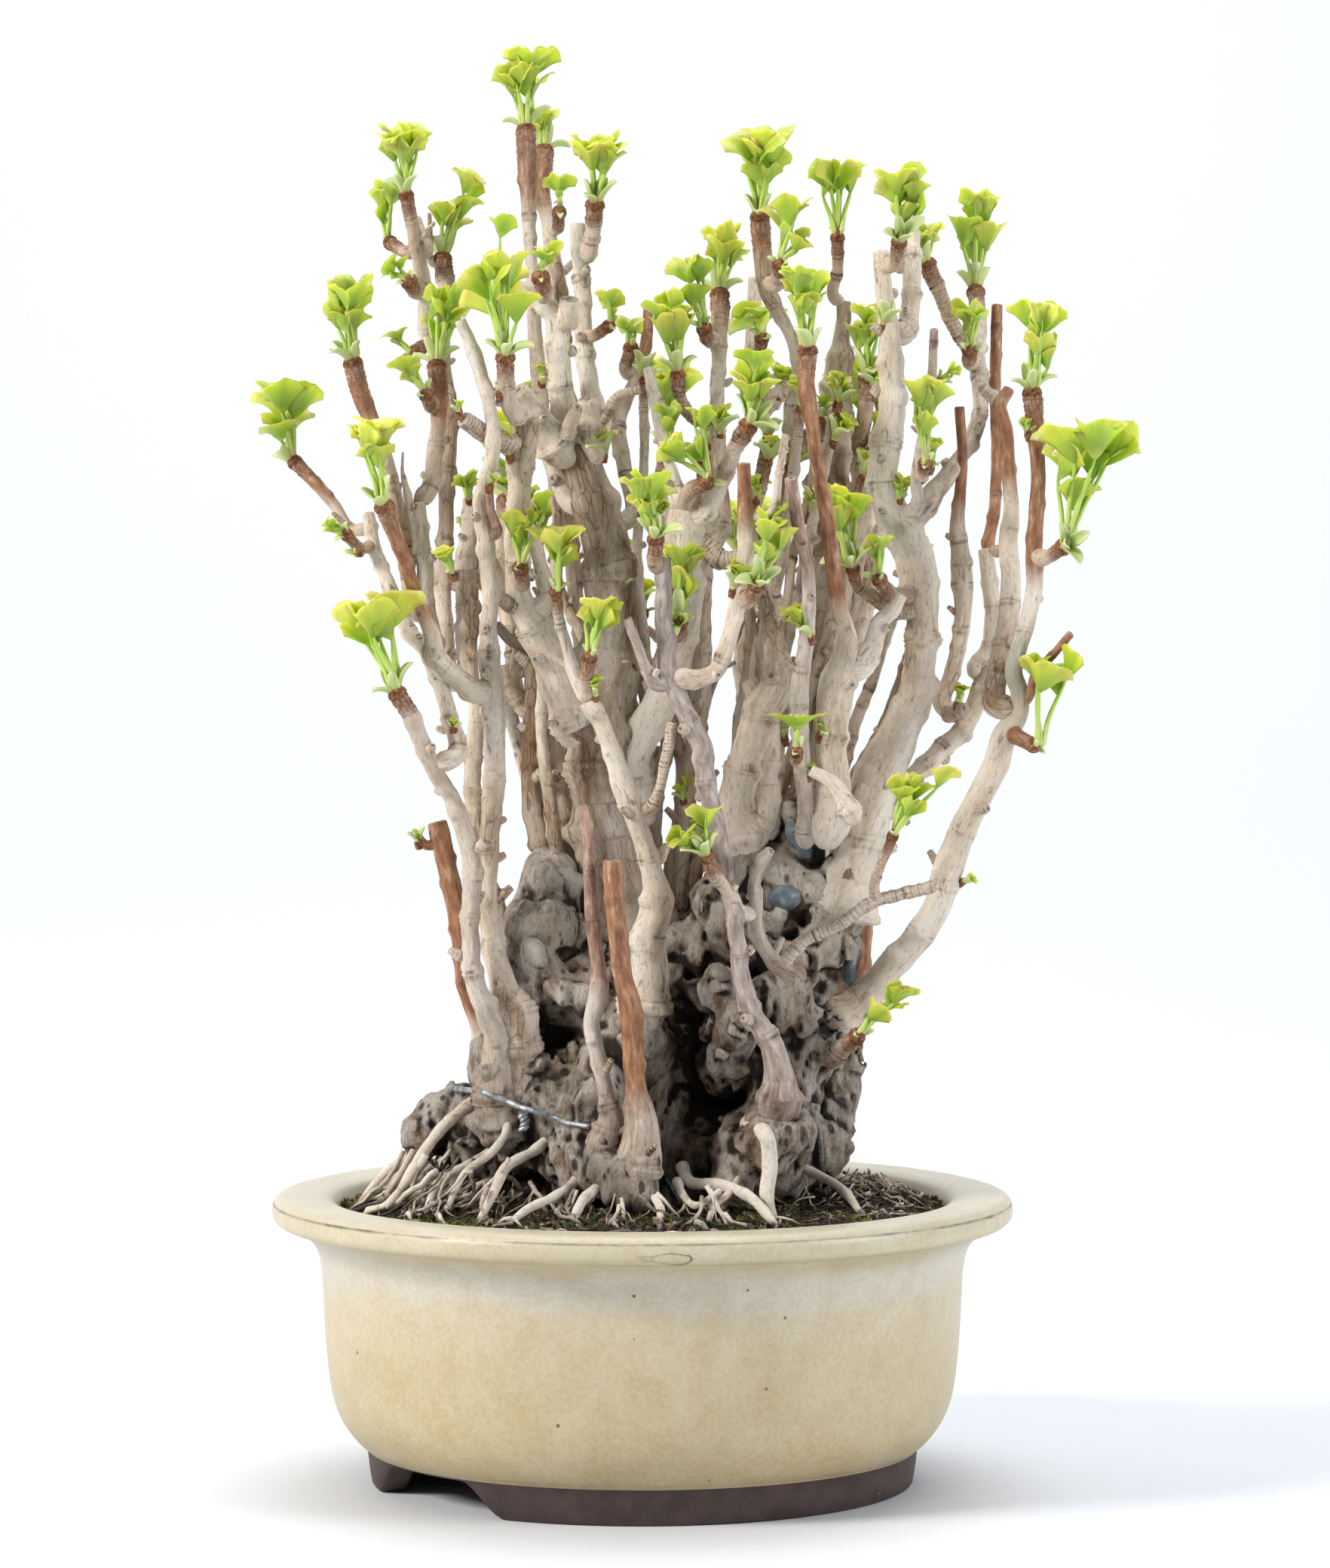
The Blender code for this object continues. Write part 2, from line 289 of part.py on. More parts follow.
# Leaf sprays: node, the stem whose tip carries it, pale bud scales, and then groups of leaves as
# count, left, right, bottom and top of the leaves as they are seen from the front.
SPRAYS = [
    ("leader", 2, [(4, -50, -30, 463, 484)]),
    ("leader_b", 2, [(2, -41, -27, 453, 463)]),
    ("leader_b_spur", 0, [(1, -32, -24, 430, 440)]),
    ("left_top", 2, [(3, -90, -72, 446, 459)]),
    ("left_top_side", 0, [(3, -93, -78, 425, 439)]),
    ("left_grey", 2, [(2, -69, -57, 419, 431), (2, -64, -50, 428, 443)]),
    ("left_top_spur", 0, [(2, -91, -79, 398, 411)]),
    ("left_top_low", 0, [(1, -89, -80, 378, 389)]),
    ("left_c", 2, [(3, -73, -59, 387, 404)]),
    ("left_c_spur", 0, [(2, -88, -75, 365, 379)]),
    ("arm_top", 2, [(4, -61, -38, 392, 415), (1, -51, -44, 417, 427)]),
    ("mid_spur", 0, [(2, -37, -25, 408, 417)]),
    ("inner_spur", 2, [(4, -24, -3, 442, 454)]),
    ("left_k", 2, [(3, -108, -91, 395, 408)]),
    ("inner_twig", 0, [(2, -17, -6, 393, 402)]),
    ("back_twig_spur", 0, [(2, -10, 1, 385, 393)]),
    ("tall_m", 2, [(4, 28, 52, 438, 459)]),
    ("inner_n", 2, [(3, 21, 36, 410, 425)]),
    ("inner_n_spur", 0, [(3, 7, 22, 399, 413)]),
    ("inner_n_low", 2, [(2, 4, 14, 386, 402)]),
    ("tall_m_spur", 0, [(2, 42, 60, 420, 434), (2, 47, 60, 407, 419)]),
    ("new_r", 2, [(4, 44, 64, 396, 411)]),
    ("old_tip", 0, [(4, 53, 74, 430, 446)]),
    ("old_side", 2, [(2, 71, 79, 384, 398)]),
    ("pale_right", 2, [(3, 30, 46, 367, 383)]),
    ("arch_spur", 0, [(3, 28, 51, 384, 396)]),
    ("stout_spur", 2, [(3, 78, 96, 430, 444), (1, 90, 99, 423, 434)]),
    ("lichen_left", 2, [(1, 91, 100, 416, 425)]),
    ("lichen_up", 2, [(4, 105, 123, 419, 436)]),
    ("lichen_spur", 0, [(2, 104, 118, 387, 399)]),
    ("right", 2, [(3, 125, 142, 387, 399), (1, 134, 144, 373, 382)]),
    ("far_left_out", 2, [(3, -133, -110, 357, 372)]),
    ("left_out", 2, [(3, -102, -82, 345, 361)]),
    ("far_left_spur", 0, [(2, -111, -103, 314, 325)]),
    ("far_left", 2, [(4, -107, -79, 284, 302)]),
    ("arm_spur", 0, [(3, -49, -34, 315, 328), (1, -35, -26, 324, 335)]),
    ("front_tip", 0, [(1, -36, -21, 310, 324)]),
    ("purple_spur", 2, [(4, -11, 9, 320, 342)]),
    ("pale_up_spur", 0, [(2, 5, 14, 353, 365)]),
    ("pale_spur", 0, [(2, 13, 23, 352, 363), (2, 1, 14, 341, 351)]),
    ("pale_mid_spur", 2, [(3, 7, 22, 301, 317)]),
    ("front_spur", 0, [(3, -21, -6, 285, 300)]),
    ("bend_spur", 2, [(4, 39, 54, 311, 331)]),
    ("stout_ringed_far", 2, [(4, 55, 73, 315, 338)]),
    ("stout_ringed", 0, [(2, 75, 84, 308, 320)]),
    ("stick_spur", 0, [(4, 86, 105, 354, 373)]),
    ("right_spur", 2, [(5, 136, 170, 332, 359)]),
    ("right_side", 0, [(1, 139, 153, 260, 282), (1, 128, 137, 265, 280)]),
    ("front_r_spur", 0, [(1, 45, 60, 248, 261)]),
    ("ringed_r_up", 0, [(3, 84, 98, 222, 240), (1, 100, 109, 233, 242)]),
    ("dead_left", 2, [(3, 4, 18, 204, 220), (1, 17, 26, 217, 229)]),
    ("right_low", 0, [(3, 83, 96, 155, 170)]),
    ("rear_a", 2, [(4, -4, 20, 362, 380)]),
    ("rear_b", 2, [(4, -60, -34, 344, 362)]),
    ("rear_c", 2, [(4, 60, 86, 360, 380)]),
    ("rear_d", 2, [(4, 22, 50, 314, 334)]),
]

# Tie wire over the front of the burl: across and up.
WIRE = [(-64, 133), (-58, 132), (-52, 131), (-45, 128), (-40, 126), (-36, 125), (-30, 123), (-24, 121),
        (-18, 120)]

COLOURS = {
    "pot": ((0.65, 0.55, 0.36, 1.0), 0.3),
    "soil": ((0.045, 0.025, 0.015, 1.0), 0.95),
    "tree": ((0.36, 0.3, 0.25, 1.0), 0.85),
    "tie_wire": ((0.05, 0.05, 0.055, 1.0), 0.5),
    "spray": ((0.45, 0.62, 0.06, 1.0), 0.5),
}


def unit(vector):
    """The vector at length one."""
    vector = np.asarray(vector, float)
    return vector / max(float(np.linalg.norm(vector)), 1e-9)


def seen(across, up, depth):
    """Where a point seen at across and up lies when it is depth behind the middle of the pot, in mm."""
    grow = (EYE_BACK + depth) / EYE_BACK
    return np.array((EYE_X + (across - EYE_X) * grow, depth, EYE_Z + (up - EYE_Z) * grow))


def lay_stems():
    """The axis of every stem as rows of x, y, z and radius, each starting inside the stem it grows from."""
    views = {}
    axes = {}
    for name, parent, near, far, points in STEMS:
        rows = [list(point) for point in points]
        if parent:
            best = None
            trunk = views[parent]
            for start, end in zip(trunk[:-1], trunk[1:]):
                step = end[:2] - start[:2]
                ahead = np.array(rows[0][:2]) - start[:2]
                share = float(np.dot(ahead, step) / max(float(step @ step), 1e-9))
                spot = start + (end - start) * min(max(share, 0.0), 1.0)
                gap = float(np.hypot(*(spot[:2] - np.array(rows[0][:2]))))
                if best is None or gap < best[0]:
                    best = (gap, spot)
            near = best[1][2]
            rows.insert(0, [best[1][0], best[1][1], rows[0][2]])
        flat = np.array(rows, float)
        walked = np.concatenate([[0.0], np.cumsum(np.hypot(*np.diff(flat[:, :2], axis=0).T))])
        depths = near + (far - near) * walked / walked[-1]
        views[name] = np.column_stack([flat[:, 0], flat[:, 1], depths])
        axes[name] = np.array([[*seen(a, u, d), r * (EYE_BACK + d) / EYE_BACK]
                               for (a, u, r), d in zip(rows, depths)])
    return axes


def thin_out(axis, tolerance):
    """The axis with the points left out that lie within tolerance of the line between their neighbours."""
    keep = {0, len(axis) - 1}
    spans = [(0, len(axis) - 1)]
    while spans:
        first, last = spans.pop()
        if last - first < 2:
            continue
        line = axis[last] - axis[first]
        offsets = axis[first + 1:last] - axis[first]
        shares = np.clip(offsets @ line / max(float(line @ line), 1e-9), 0, 1)
        gaps = np.linalg.norm(offsets - shares[:, None] * line, axis=1)
        worst = int(np.argmax(gaps))
        if gaps[worst] > tolerance:
            middle = first + 1 + worst
            keep.add(middle)
            spans += [(first, middle), (middle, last)]
    return axis[sorted(keep)]


def plain_axis(name, axis):
    """The axis thinned out for the body here, with the last step kept where a spray stands on its tip."""
    if any(name == stem for stem, _, _ in SPRAYS):
        return np.vstack([thin_out(axis[:-1], 2.0), axis[-1:]])
    return thin_out(axis, 2.0)


def tube(axis, sides):
    """Vertices and faces of a closed tube along an axis of x, y, z and radius."""
    points = axis[:, :3]
    steps = np.diff(points, axis=0)
    along = [unit(steps[0])]
    for before, after in zip(steps[:-1], steps[1:]):
        along.append(unit(unit(before) + unit(after)))
    along.append(unit(steps[-1]))
    side = unit(np.cross(along[0], (0.31, 0.95, 0.1)))
    verts = []
    for centre, radius, way in zip(points, axis[:, 3], along):
        side = unit(side - way * float(side @ way))
        other = np.cross(way, side)
        for step in range(sides):
            turn = 2 * math.pi * step / sides
            verts.append(centre + radius * (math.cos(turn) * side + math.sin(turn) * other))
    faces = []
    for ring in range(len(points) - 1):
        for step in range(sides):
            after = (step + 1) % sides
            faces.append((ring * sides + step, ring * sides + after, (ring + 1) * sides + after,
                          (ring + 1) * sides + step))
    faces.append(tuple(reversed(range(sides))))
    faces.append(tuple(range((len(points) - 1) * sides, len(points) * sides)))
    return verts, faces


def new_object(name, verts, faces):
    """A mesh object from mm coordinates about the middle of the pot, triangulated, facing outwards."""
    mesh = bpy.data.meshes.new(name)
    placed = [((v[0] - MIDDLE_X) * MM, (v[1] - MIDDLE_Y) * MM, v[2] * MM) for v in verts]
    mesh.from_pydata(placed, [], faces)
    work = bmesh.new()
    work.from_mesh(mesh)
    bmesh.ops.recalc_face_normals(work, faces=work.faces)
    bmesh.ops.triangulate(work, faces=work.faces)
    work.to_mesh(mesh)
    work.free()
    thing = bpy.data.objects.new(name, mesh)
    bpy.context.scene.collection.objects.link(thing)
    return thing


def fuse(name, pieces):
    """One body from the first piece and all the others, joined by a Boolean union on a collection."""
    body = pieces[0]
    if len(pieces) > 1:
        others = bpy.data.collections.new(name + "_pieces")
        bpy.context.scene.collection.children.link(others)
        for piece in pieces[1:]:
            bpy.context.scene.collection.objects.unlink(piece)
            others.objects.link(piece)
        join = body.modifiers.new("join", "BOOLEAN")
        join.operation = "UNION"
        join.operand_type = "COLLECTION"
        join.collection = others
        join.solver = "MANIFOLD"
        bpy.context.view_layer.update()
        result = bpy.data.meshes.new_from_object(body.evaluated_get(bpy.context.evaluated_depsgraph_get()))
        body.modifiers.clear()
        body.data = result
        for piece in pieces[1:]:
            bpy.data.objects.remove(piece)
        bpy.data.collections.remove(others)
    keep_outer_shell(body)
    body.name = name
    body.data.name = name
    return body


def keep_outer_shell(body):
    """Triangulates a body, fills hollows sealed inside it and drops loose scraps."""
    work = bmesh.new()
    work.from_mesh(body.data)
    bmesh.ops.triangulate(work, faces=work.faces)
    bmesh.ops.dissolve_limit(work, angle_limit=0.01, verts=work.verts, edges=work.edges)
    bmesh.ops.triangulate(work, faces=work.faces)
    groups = []
    left = set(work.faces)
    while left:
        start = left.pop()
        group = {start}
        edge_of_group = [start]
        while edge_of_group:
            face = edge_of_group.pop()
            for edge in face.edges:
                for near in edge.link_faces:
                    if near in left:
                        left.discard(near)
                        group.add(near)
                        edge_of_group.append(near)
        groups.append(group)

    def volume(group):
        total = 0.0
        for face in group:
            a, b, c = (vert.co for vert in face.verts)
            total += a.dot(b.cross(c)) / 6.0
        return total

    biggest = max(groups, key=volume)
    for group in groups:
        if group is not biggest:
            bmesh.ops.delete(work, geom=list(group), context="FACES")
    work.to_mesh(body.data)
    work.free()


def foot_reach(turn, grow=0.0):
    """Plan point on the outline of the tree's foot in the direction turn, grown outwards by grow."""
    count = len(TREE_FOOT_REACH)
    place = (turn / (2 * math.pi)) % 1.0 * count
    low = int(place) % count
    high = (low + 1) % count
    share = place - int(place)
    share = share * share * (3 - 2 * share)
    reach = TREE_FOOT_REACH[low] * (1 - share) + TREE_FOOT_REACH[high] * share + grow
    return TREE_FOOT_MIDDLE[0] + reach * math.cos(turn), TREE_FOOT_MIDDLE[1] + reach * math.sin(turn)


def soil_height(x, y):
    """Height of the soil, highest by the tree's foot and lowest at the pot's wall."""
    away = math.hypot(x, y) / 98.0
    return SOIL_EDGE + (SOIL_CROWN - SOIL_EDGE) * max(0.0, 1.0 - away ** 3)


def column_turns():
    """Directions of the pot's columns, so that one stands at each end of each cut in the foot."""
    turns = []
    for step in range(POT_COLUMNS):
        from_front = math.radians(POT_FIRST_COLUMN + 360.0 * step / POT_COLUMNS)
        turns.append(math.atan2(-math.cos(from_front), -math.sin(from_front)))
    return turns


def foot_height(turn):
    """Height of the foot's underside: 0, or raised inside the two cuts that face each other."""
    from_front = math.degrees(math.atan2(-math.cos(turn), -math.sin(turn))) % 180.0
    inside = min(from_front - FOOT_CUT_FROM, FOOT_CUT_TO - from_front)
    return FOOT_CUT_HEIGHT * min(max(inside / FOOT_CUT_SLOPE, 0.0), 1.0)


def build_pot():
    """The pot with its foot ring, two cuts in the foot, flared rim and hollow inside."""
    rings = []
    turns = column_turns()
    rings.append([(FOOT_INNER, POT_UNDERSIDE)] * POT_COLUMNS)
    rings.append([(FOOT_INNER, foot_height(t)) for t in turns])
    rings.append([(FOOT_OUTER, foot_height(t)) for t in turns])
    for line in POT_OUTSIDE + POT_INSIDE:
        rings.append([line] * POT_COLUMNS)
    verts = [(r * math.cos(t), r * math.sin(t), z) for ring in rings for (r, z), t in zip(ring, turns)]
    faces = []
    for ring in range(len(rings) - 1):
        for step in range(POT_COLUMNS):
            after = (step + 1) % POT_COLUMNS
            faces.append((ring * POT_COLUMNS + step, ring * POT_COLUMNS + after,
                          (ring + 1) * POT_COLUMNS + after, (ring + 1) * POT_COLUMNS + step))
    last = (len(rings) - 1) * POT_COLUMNS
    verts.append((0.0, 0.0, POT_UNDERSIDE))
    verts.append((0.0, 0.0, POT_INSIDE[-1][1]))
    for step in range(POT_COLUMNS):
        after = (step + 1) % POT_COLUMNS
        faces.append((len(verts) - 2, after, step))
        faces.append((len(verts) - 1, last + step, last + after))
    return new_object("pot", verts, faces)


def build_soil():
    """The soil, with one plain hole in its top for the tree's foot."""
    turns = column_turns()
    rings = [[(89.0, SOIL_BOTTOM)] * POT_COLUMNS, [(97.4, 28.0)] * POT_COLUMNS,
             [(97.6, SOIL_EDGE - 1.0)] * POT_COLUMNS]
    verts = [(r * math.cos(t), r * math.sin(t), z) for ring in rings for (r, z), t in zip(ring, turns)]
    for share in (0.9, 0.45, 0.0):
        for turn in turns:
            hole = np.array(foot_reach(turn, SOIL_GAP))
            edge = np.array((math.cos(turn), math.sin(turn))) * 97.4
            spot = hole + (edge - hole) * share
            verts.append((spot[0], spot[1], soil_height(*spot)))
    for turn in turns:
        x, y = foot_reach(turn, SOIL_GAP)
        verts.append((x, y, TREE_FOOT_BOTTOM - SOIL_GAP))
    faces = []
    for ring in range(6):
        for step in range(POT_COLUMNS):
            after = (step + 1) % POT_COLUMNS
            faces.append((ring * POT_COLUMNS + step, ring * POT_COLUMNS + after,
                          (ring + 1) * POT_COLUMNS + after, (ring + 1) * POT_COLUMNS + step))
    verts.append((0.0, 0.0, SOIL_BOTTOM))
    verts.append((TREE_FOOT_MIDDLE[0], TREE_FOOT_MIDDLE[1], TREE_FOOT_BOTTOM - SOIL_GAP))
    for step in range(POT_COLUMNS):
        after = (step + 1) % POT_COLUMNS
        faces.append((len(verts) - 2, after, step))
        faces.append((len(verts) - 1, 6 * POT_COLUMNS + step, 6 * POT_COLUMNS + after))
    return new_object("soil", verts, faces)


def burl_piece(index, columns, levels):
    """One body of the burl: level rings about its middle line, each point pushed out to the farthest lump.

    The first body stands on the tree's plain tapered foot.
    """
    low, high, lumps = BURL[index]
    low = seen(*low)
    high = seen(*high)
    balls = np.array([[*seen(a, u, d), r] for a, u, d, r in lumps])
    dice = np.random.default_rng(700 + index)
    waves = dice.normal(size=(4, 3)) * 0.16
    shift = dice.uniform(0, 6.28, 4)
    turns = [2 * math.pi * step / columns for step in range(columns)]
    verts = []
    rings = 0
    if index == 0:
        turns = column_turns()
        middle = np.array(TREE_FOOT_MIDDLE)
        for share, height in ((TREE_FOOT_TAPER, TREE_FOOT_BOTTOM), (1.0, TREE_FOOT_TOP)):
            for turn in turns:
                spot = middle + (np.array(foot_reach(turn)) - middle) * share
                verts.append((spot[0], spot[1], height))
            rings += 1
    first = 1 if index == 0 else 0
    for level in range(first, levels):
        centre = low + (high - low) * level / levels
        for turn in turns:
            way = np.array((math.cos(turn), math.sin(turn), 0.0))
            offset = balls[:, :3] - centre
            along = offset @ way
            aside = (offset * offset).sum(1) - along * along
            inside = balls[:, 3] ** 2 - aside
            far = np.where(inside > 0, along + np.sqrt(np.maximum(inside, 0.0)), 0.0)
            reach = max(float(far.max()), 4.0)
            spot = centre + way * reach
            reach *= 1.0 + 0.02 * float(np.sin(waves @ spot + shift).sum())
            verts.append(centre + way * reach)
        rings += 1
    faces = []
    for ring in range(rings - 1):
        for step in range(columns):
            after = (step + 1) % columns
            faces.append((ring * columns + step, ring * columns + after,
                          (ring + 1) * columns + after, (ring + 1) * columns + step))
    bottom = np.mean(np.array(verts[:columns]), axis=0)
    verts.append(bottom)
    verts.append(high)
    last = (rings - 1) * columns
    for step in range(columns):
        after = (step + 1) % columns
        faces.append((len(verts) - 2, after, step))
        faces.append((len(verts) - 1, last + step, last + after))
    return new_object("burl", verts, faces)


def root_axis(root):
    """The axis of a surface root in mm."""
    return np.array([[x, y, soil_height(x, y) + above, radius] for x, y, above, radius in root], float)


def build_tree(axes):
    """Burl, trunk, branches, spurs and surface roots grown as one body."""
    pieces = [burl_piece(0, POT_COLUMNS, 13), burl_piece(1, 10, 7), burl_piece(2, 14, 9)]
    for name, axis in axes.items():
        widest = axis[:, 3].max()
        sides = 8 if widest > 8 else 6 if widest > 4.2 else 5 if widest > 2.4 else 4
        shape = plain_axis(name, axis)
        pieces.append(new_object(name, *tube(shape, sides)))
    for root in ROOTS:
        pieces.append(new_object("root", *tube(root_axis(root), 5)))
    tree = fuse("tree", pieces)
    seats = np.array([axes[stem][-1, :3] for stem, _, _ in SPRAYS])
    group = tree.vertex_groups.new(name="thinned")
    for vert in tree.data.vertices:
        spot = np.array((vert.co.x / MM + MIDDLE_X, vert.co.y / MM + MIDDLE_Y, vert.co.z / MM))
        far = float(np.linalg.norm(seats - spot, axis=1).min()) > 6.0 and spot[2] > TREE_FOOT_TOP + 1.0
        group.add([vert.index], 1.0 if far else 0.0, "REPLACE")
    slim = tree.modifiers.new("slim", "DECIMATE")
    slim.vertex_group = "thinned"
    slim.ratio = TREE_TRIANGLES / len(tree.data.polygons)
    bpy.context.view_layer.update()
    slimmed = bpy.data.meshes.new_from_object(tree.evaluated_get(bpy.context.evaluated_depsgraph_get()))
    tree.modifiers.clear()
    tree.data = slimmed
    keep_outer_shell(tree)
    tree.data.name = "tree"
    return tree


def leaf_shape(base, tip, out, width, roll, seed):
    """The bones of a fan leaf: base, knee, tip, the three directions at the knee and the rim's turn."""
    reach = tip - base
    blade = min(0.64 * float(np.linalg.norm(reach)), 1.2 * width + 1.5)
    knee = tip - unit(reach) * blade
    knee = knee + out * 0.05 * float(np.linalg.norm(reach)) - np.array((0, 0, 0.3))
    way = unit(tip - knee)
    side = unit(np.cross(way, out))
    face = unit(np.cross(side, way))
    radius = width / 2 / math.sin(min(roll, math.pi / 2))
    dice = np.random.default_rng(seed)
    return {"base": base, "knee": knee, "tip": tip, "way": way, "side": side, "face": face,
            "radius": radius, "roll": roll, "wave": dice.uniform(0, 6.28, 3), "curl": dice.choice((-1, 1))}


def leaf_rim(leaf, place):
    """A point on the blade's rim and the blade's direction there, for place from -1 to 1 along it."""
    turn = place * leaf["roll"]
    facing = math.cos(turn) * leaf["face"] + math.sin(turn) * leaf["side"]
    rim = leaf["tip"] + leaf["radius"] * (facing - leaf["face"])
    if leaf["curl"] < 0:
        shift = float((rim - leaf["tip"]) @ leaf["face"])
        rim = rim - 2 * shift * leaf["face"]
        facing = math.cos(turn) * leaf["face"] - math.sin(turn) * leaf["side"]
    length = float(np.linalg.norm(rim - leaf["knee"]))
    notch = 0.16 * math.exp(-(place * 5.0) ** 2)
    wave = 0.05 * math.sin(6.0 * place + leaf["wave"][0]) + 0.03 * math.sin(13.0 * place + leaf["wave"][1])
    rim = leaf["knee"] + (rim - leaf["knee"]) * (1.0 - 0.2 * place * place - notch + wave)
    rim = rim + facing * 0.07 * length * math.sin(8.0 * place + leaf["wave"][2])
    return rim, facing


def leaf_samples(leaf):
    """Points spread over a leaf, for measuring how far it stays from other things."""
    spots = [leaf["base"] + (leaf["knee"] - leaf["base"]) * share for share in (0.15, 0.3, 0.5, 0.7, 0.9)]
    for place in (-1.0, -0.5, 0.0, 0.5, 1.0):
        rim = leaf_rim(leaf, place)[0]
        for share in (0.4, 0.7, 1.0):
            spots.append(leaf["knee"] + (rim - leaf["knee"]) * share)
    return np.array(spots)


def leaf_mesh(leaf, columns):
    """Vertices and faces of a closed leaf: a three-sided petiole and a waved blade, alike on both sides."""
    verts = []
    way = unit(leaf["knee"] - leaf["base"])
    side = unit(leaf["side"] - way * float(leaf["side"] @ way))
    face = np.cross(way, side)
    if float(face @ leaf["face"]) < 0:
        face = -face
    curl = leaf["curl"]
    for centre, radius in ((leaf["base"], PETIOLE_RADIUS * 1.1), (leaf["knee"], PETIOLE_RADIUS * 0.9)):
        verts.append(centre + radius * (-side + 0.5 * curl * face))
        verts.append(centre + radius * (side + 0.5 * curl * face))
        verts.append(centre - radius * curl * face)
    faces = [(0, 1, 2), (0, 1, 4, 3), (1, 2, 5, 4), (2, 0, 3, 5)]
    outer = []
    inner = []
    for step in range(columns + 1):
        rim, facing = leaf_rim(leaf, -1.0 + 2.0 * step / columns)
        outer.append(len(verts))
        verts.append(rim + facing * curl * BLADE_THICKNESS / 2)
        inner.append(len(verts))
        verts.append(rim - facing * curl * BLADE_THICKNESS / 2)
    half = columns // 2
    for step in range(columns):
        root = 3 if step < half else 4
        faces.append((root, outer[step], outer[step + 1]))
        faces.append((5, inner[step + 1], inner[step]))
        faces.append((outer[step], inner[step], inner[step + 1], outer[step + 1]))
    faces.append((3, outer[half], 4))
    faces.append((3, 5, inner[0], outer[0]))
    faces.append((4, outer[-1], inner[-1], 5))
    return verts, faces


def blocked_by(samples, seat, way, capsules, balls, taken):
    """How far, in mm, the samples of a leaf come too close to stems, lumps or other leaves."""
    worst = 0.0
    starts, ends, widths = capsules
    line = ends - starts
    offset = samples[:, None, :] - starts[None]
    share = np.clip((offset * line[None]).sum(2) / np.maximum((line * line).sum(1), 1e-9)[None], 0, 1)
    gap = np.linalg.norm(offset - share[:, :, None] * line[None], axis=2) - widths[None]
    own = np.linalg.norm(samples - seat, axis=1) < 6.5
    gap[own] = 99.0
    if own.any():
        worst = max(worst, 1.2 - float(((samples[own] - seat) @ way).min()))
    worst = max(worst, STEM_CLEARANCE + 0.35 - float(gap.min()))
    gap = np.linalg.norm(samples[:, None, :] - balls[None, :, :3], axis=2) - balls[None, :, 3] * 1.15
    worst = max(worst, STEM_CLEARANCE - float(gap.min()))
    if len(taken):
        near = np.linalg.norm(samples[:, None, :] - taken[None], axis=2)
        worst = max(worst, LEAF_CLEARANCE - float(near.min()))
    return worst


def lay_sprays(axes):
    """Chooses every leaf's place: as near as it can be to where it is seen, clear of all else."""
    lines = list(axes.values()) + [plain_axis(name, axis) for name, axis in axes.items()]
    starts = np.concatenate([axis[:-1, :3] for axis in lines])
    ends = np.concatenate([axis[1:, :3] for axis in lines])
    widths = np.concatenate([np.maximum(axis[:-1, 3], axis[1:, 3]) for axis in lines])
    capsules = (starts, ends, widths)
    balls = np.array([[*seen(a, u, d), r] for burl in BURL for a, u, d, r in burl[2]])
    taken = np.zeros((0, 3))
    sprays = []
    for index, (stem, scales, groups) in enumerate(SPRAYS):
        axis = axes[stem]
        way = unit(axis[-1, :3] - axis[-2, :3])
        seat = axis[-1, :3] + way * SEAT_GAP
        width = float(axis[-1, 3])
        depth = float(seat[1])
        dice = np.random.default_rng(100 + index)
        leaves = []
        mine = []
        turn = float(dice.uniform(0, 6.28))
        for count, left, right, bottom, top in groups:
            blade = min(max((right - left) * (0.95, 0.66, 0.58, 0.54, 0.5)[count - 1], 7.0), 16.0)
            for number in range(count):
                roll = float(dice.uniform(0.75, 1.5))
                lift = float(dice.uniform(0, 0.3)) if number else 0.0
                best = None
                for attempt in range(70):
                    aside = (attempt // 2 + 1) // 2 * 0.33 * (-1) ** attempt
                    swing = turn + 2 * math.pi * number / count + aside
                    pull = 1.0 - 0.02 * (attempt // 5)
                    across = (left + right) / 2 + (right - left - blade) / 2 * math.cos(swing) * pull
                    back = max((right - left) / 2 * 0.8, 4.5) * math.sin(swing) * pull + 0.3 * (attempt % 5)
                    tip = seen(across, top - (top - bottom) * lift * pull, depth + back)
                    out = unit((tip - seat) * np.array((1, 1, 0.0)) + np.array((0.01, -0.3, 0.0)))
                    spread = unit(tip - seat) - way * float(unit(tip - seat) @ way)
                    root = seat + way * 2.2 + unit(spread) * max(width, 1.9) * 0.5
                    leaf = leaf_shape(root, tip, out, blade, roll, 9000 + index * 20 + len(leaves))
                    samples = leaf_samples(leaf)
                    over = blocked_by(samples, seat, way, capsules, balls, taken)
                    if mine:
                        apart = np.linalg.norm(samples[5:, None, :] - np.concatenate(mine)[None], axis=2)
                        over = max(over, OWN_CLEARANCE - float(apart.min()))
                    if best is None or over < best[0] - 1e-6:
                        best = (over, leaf, samples)
                    if over <= 0:
                        break
                leaves.append(best[1])
                mine.append(best[2][5:])
        taken = np.concatenate([taken] + mine)
        sprays.append({"stem": stem, "seat": seat, "way": way, "width": width, "scales": scales,
                       "leaves": leaves, "turn": turn})
    return sprays


def build_spray(index, spray):
    """One spray: its bud and its leaves fused into one body."""
    seat = spray["seat"]
    way = spray["way"]
    width = max(spray["width"], 1.9)
    bud = np.array([[*seat, width * 0.95], [*(seat + way * 3.0), width * 1.05]])
    pieces = [new_object("bud", *tube(bud, 5))]
    for leaf in spray["leaves"]:
        columns = 6 if leaf["radius"] > 7.0 else 4
        pieces.append(new_object("leaf", *leaf_mesh(leaf, columns)))
    return fuse("leaf_spray_%02d" % (index + 1), pieces)


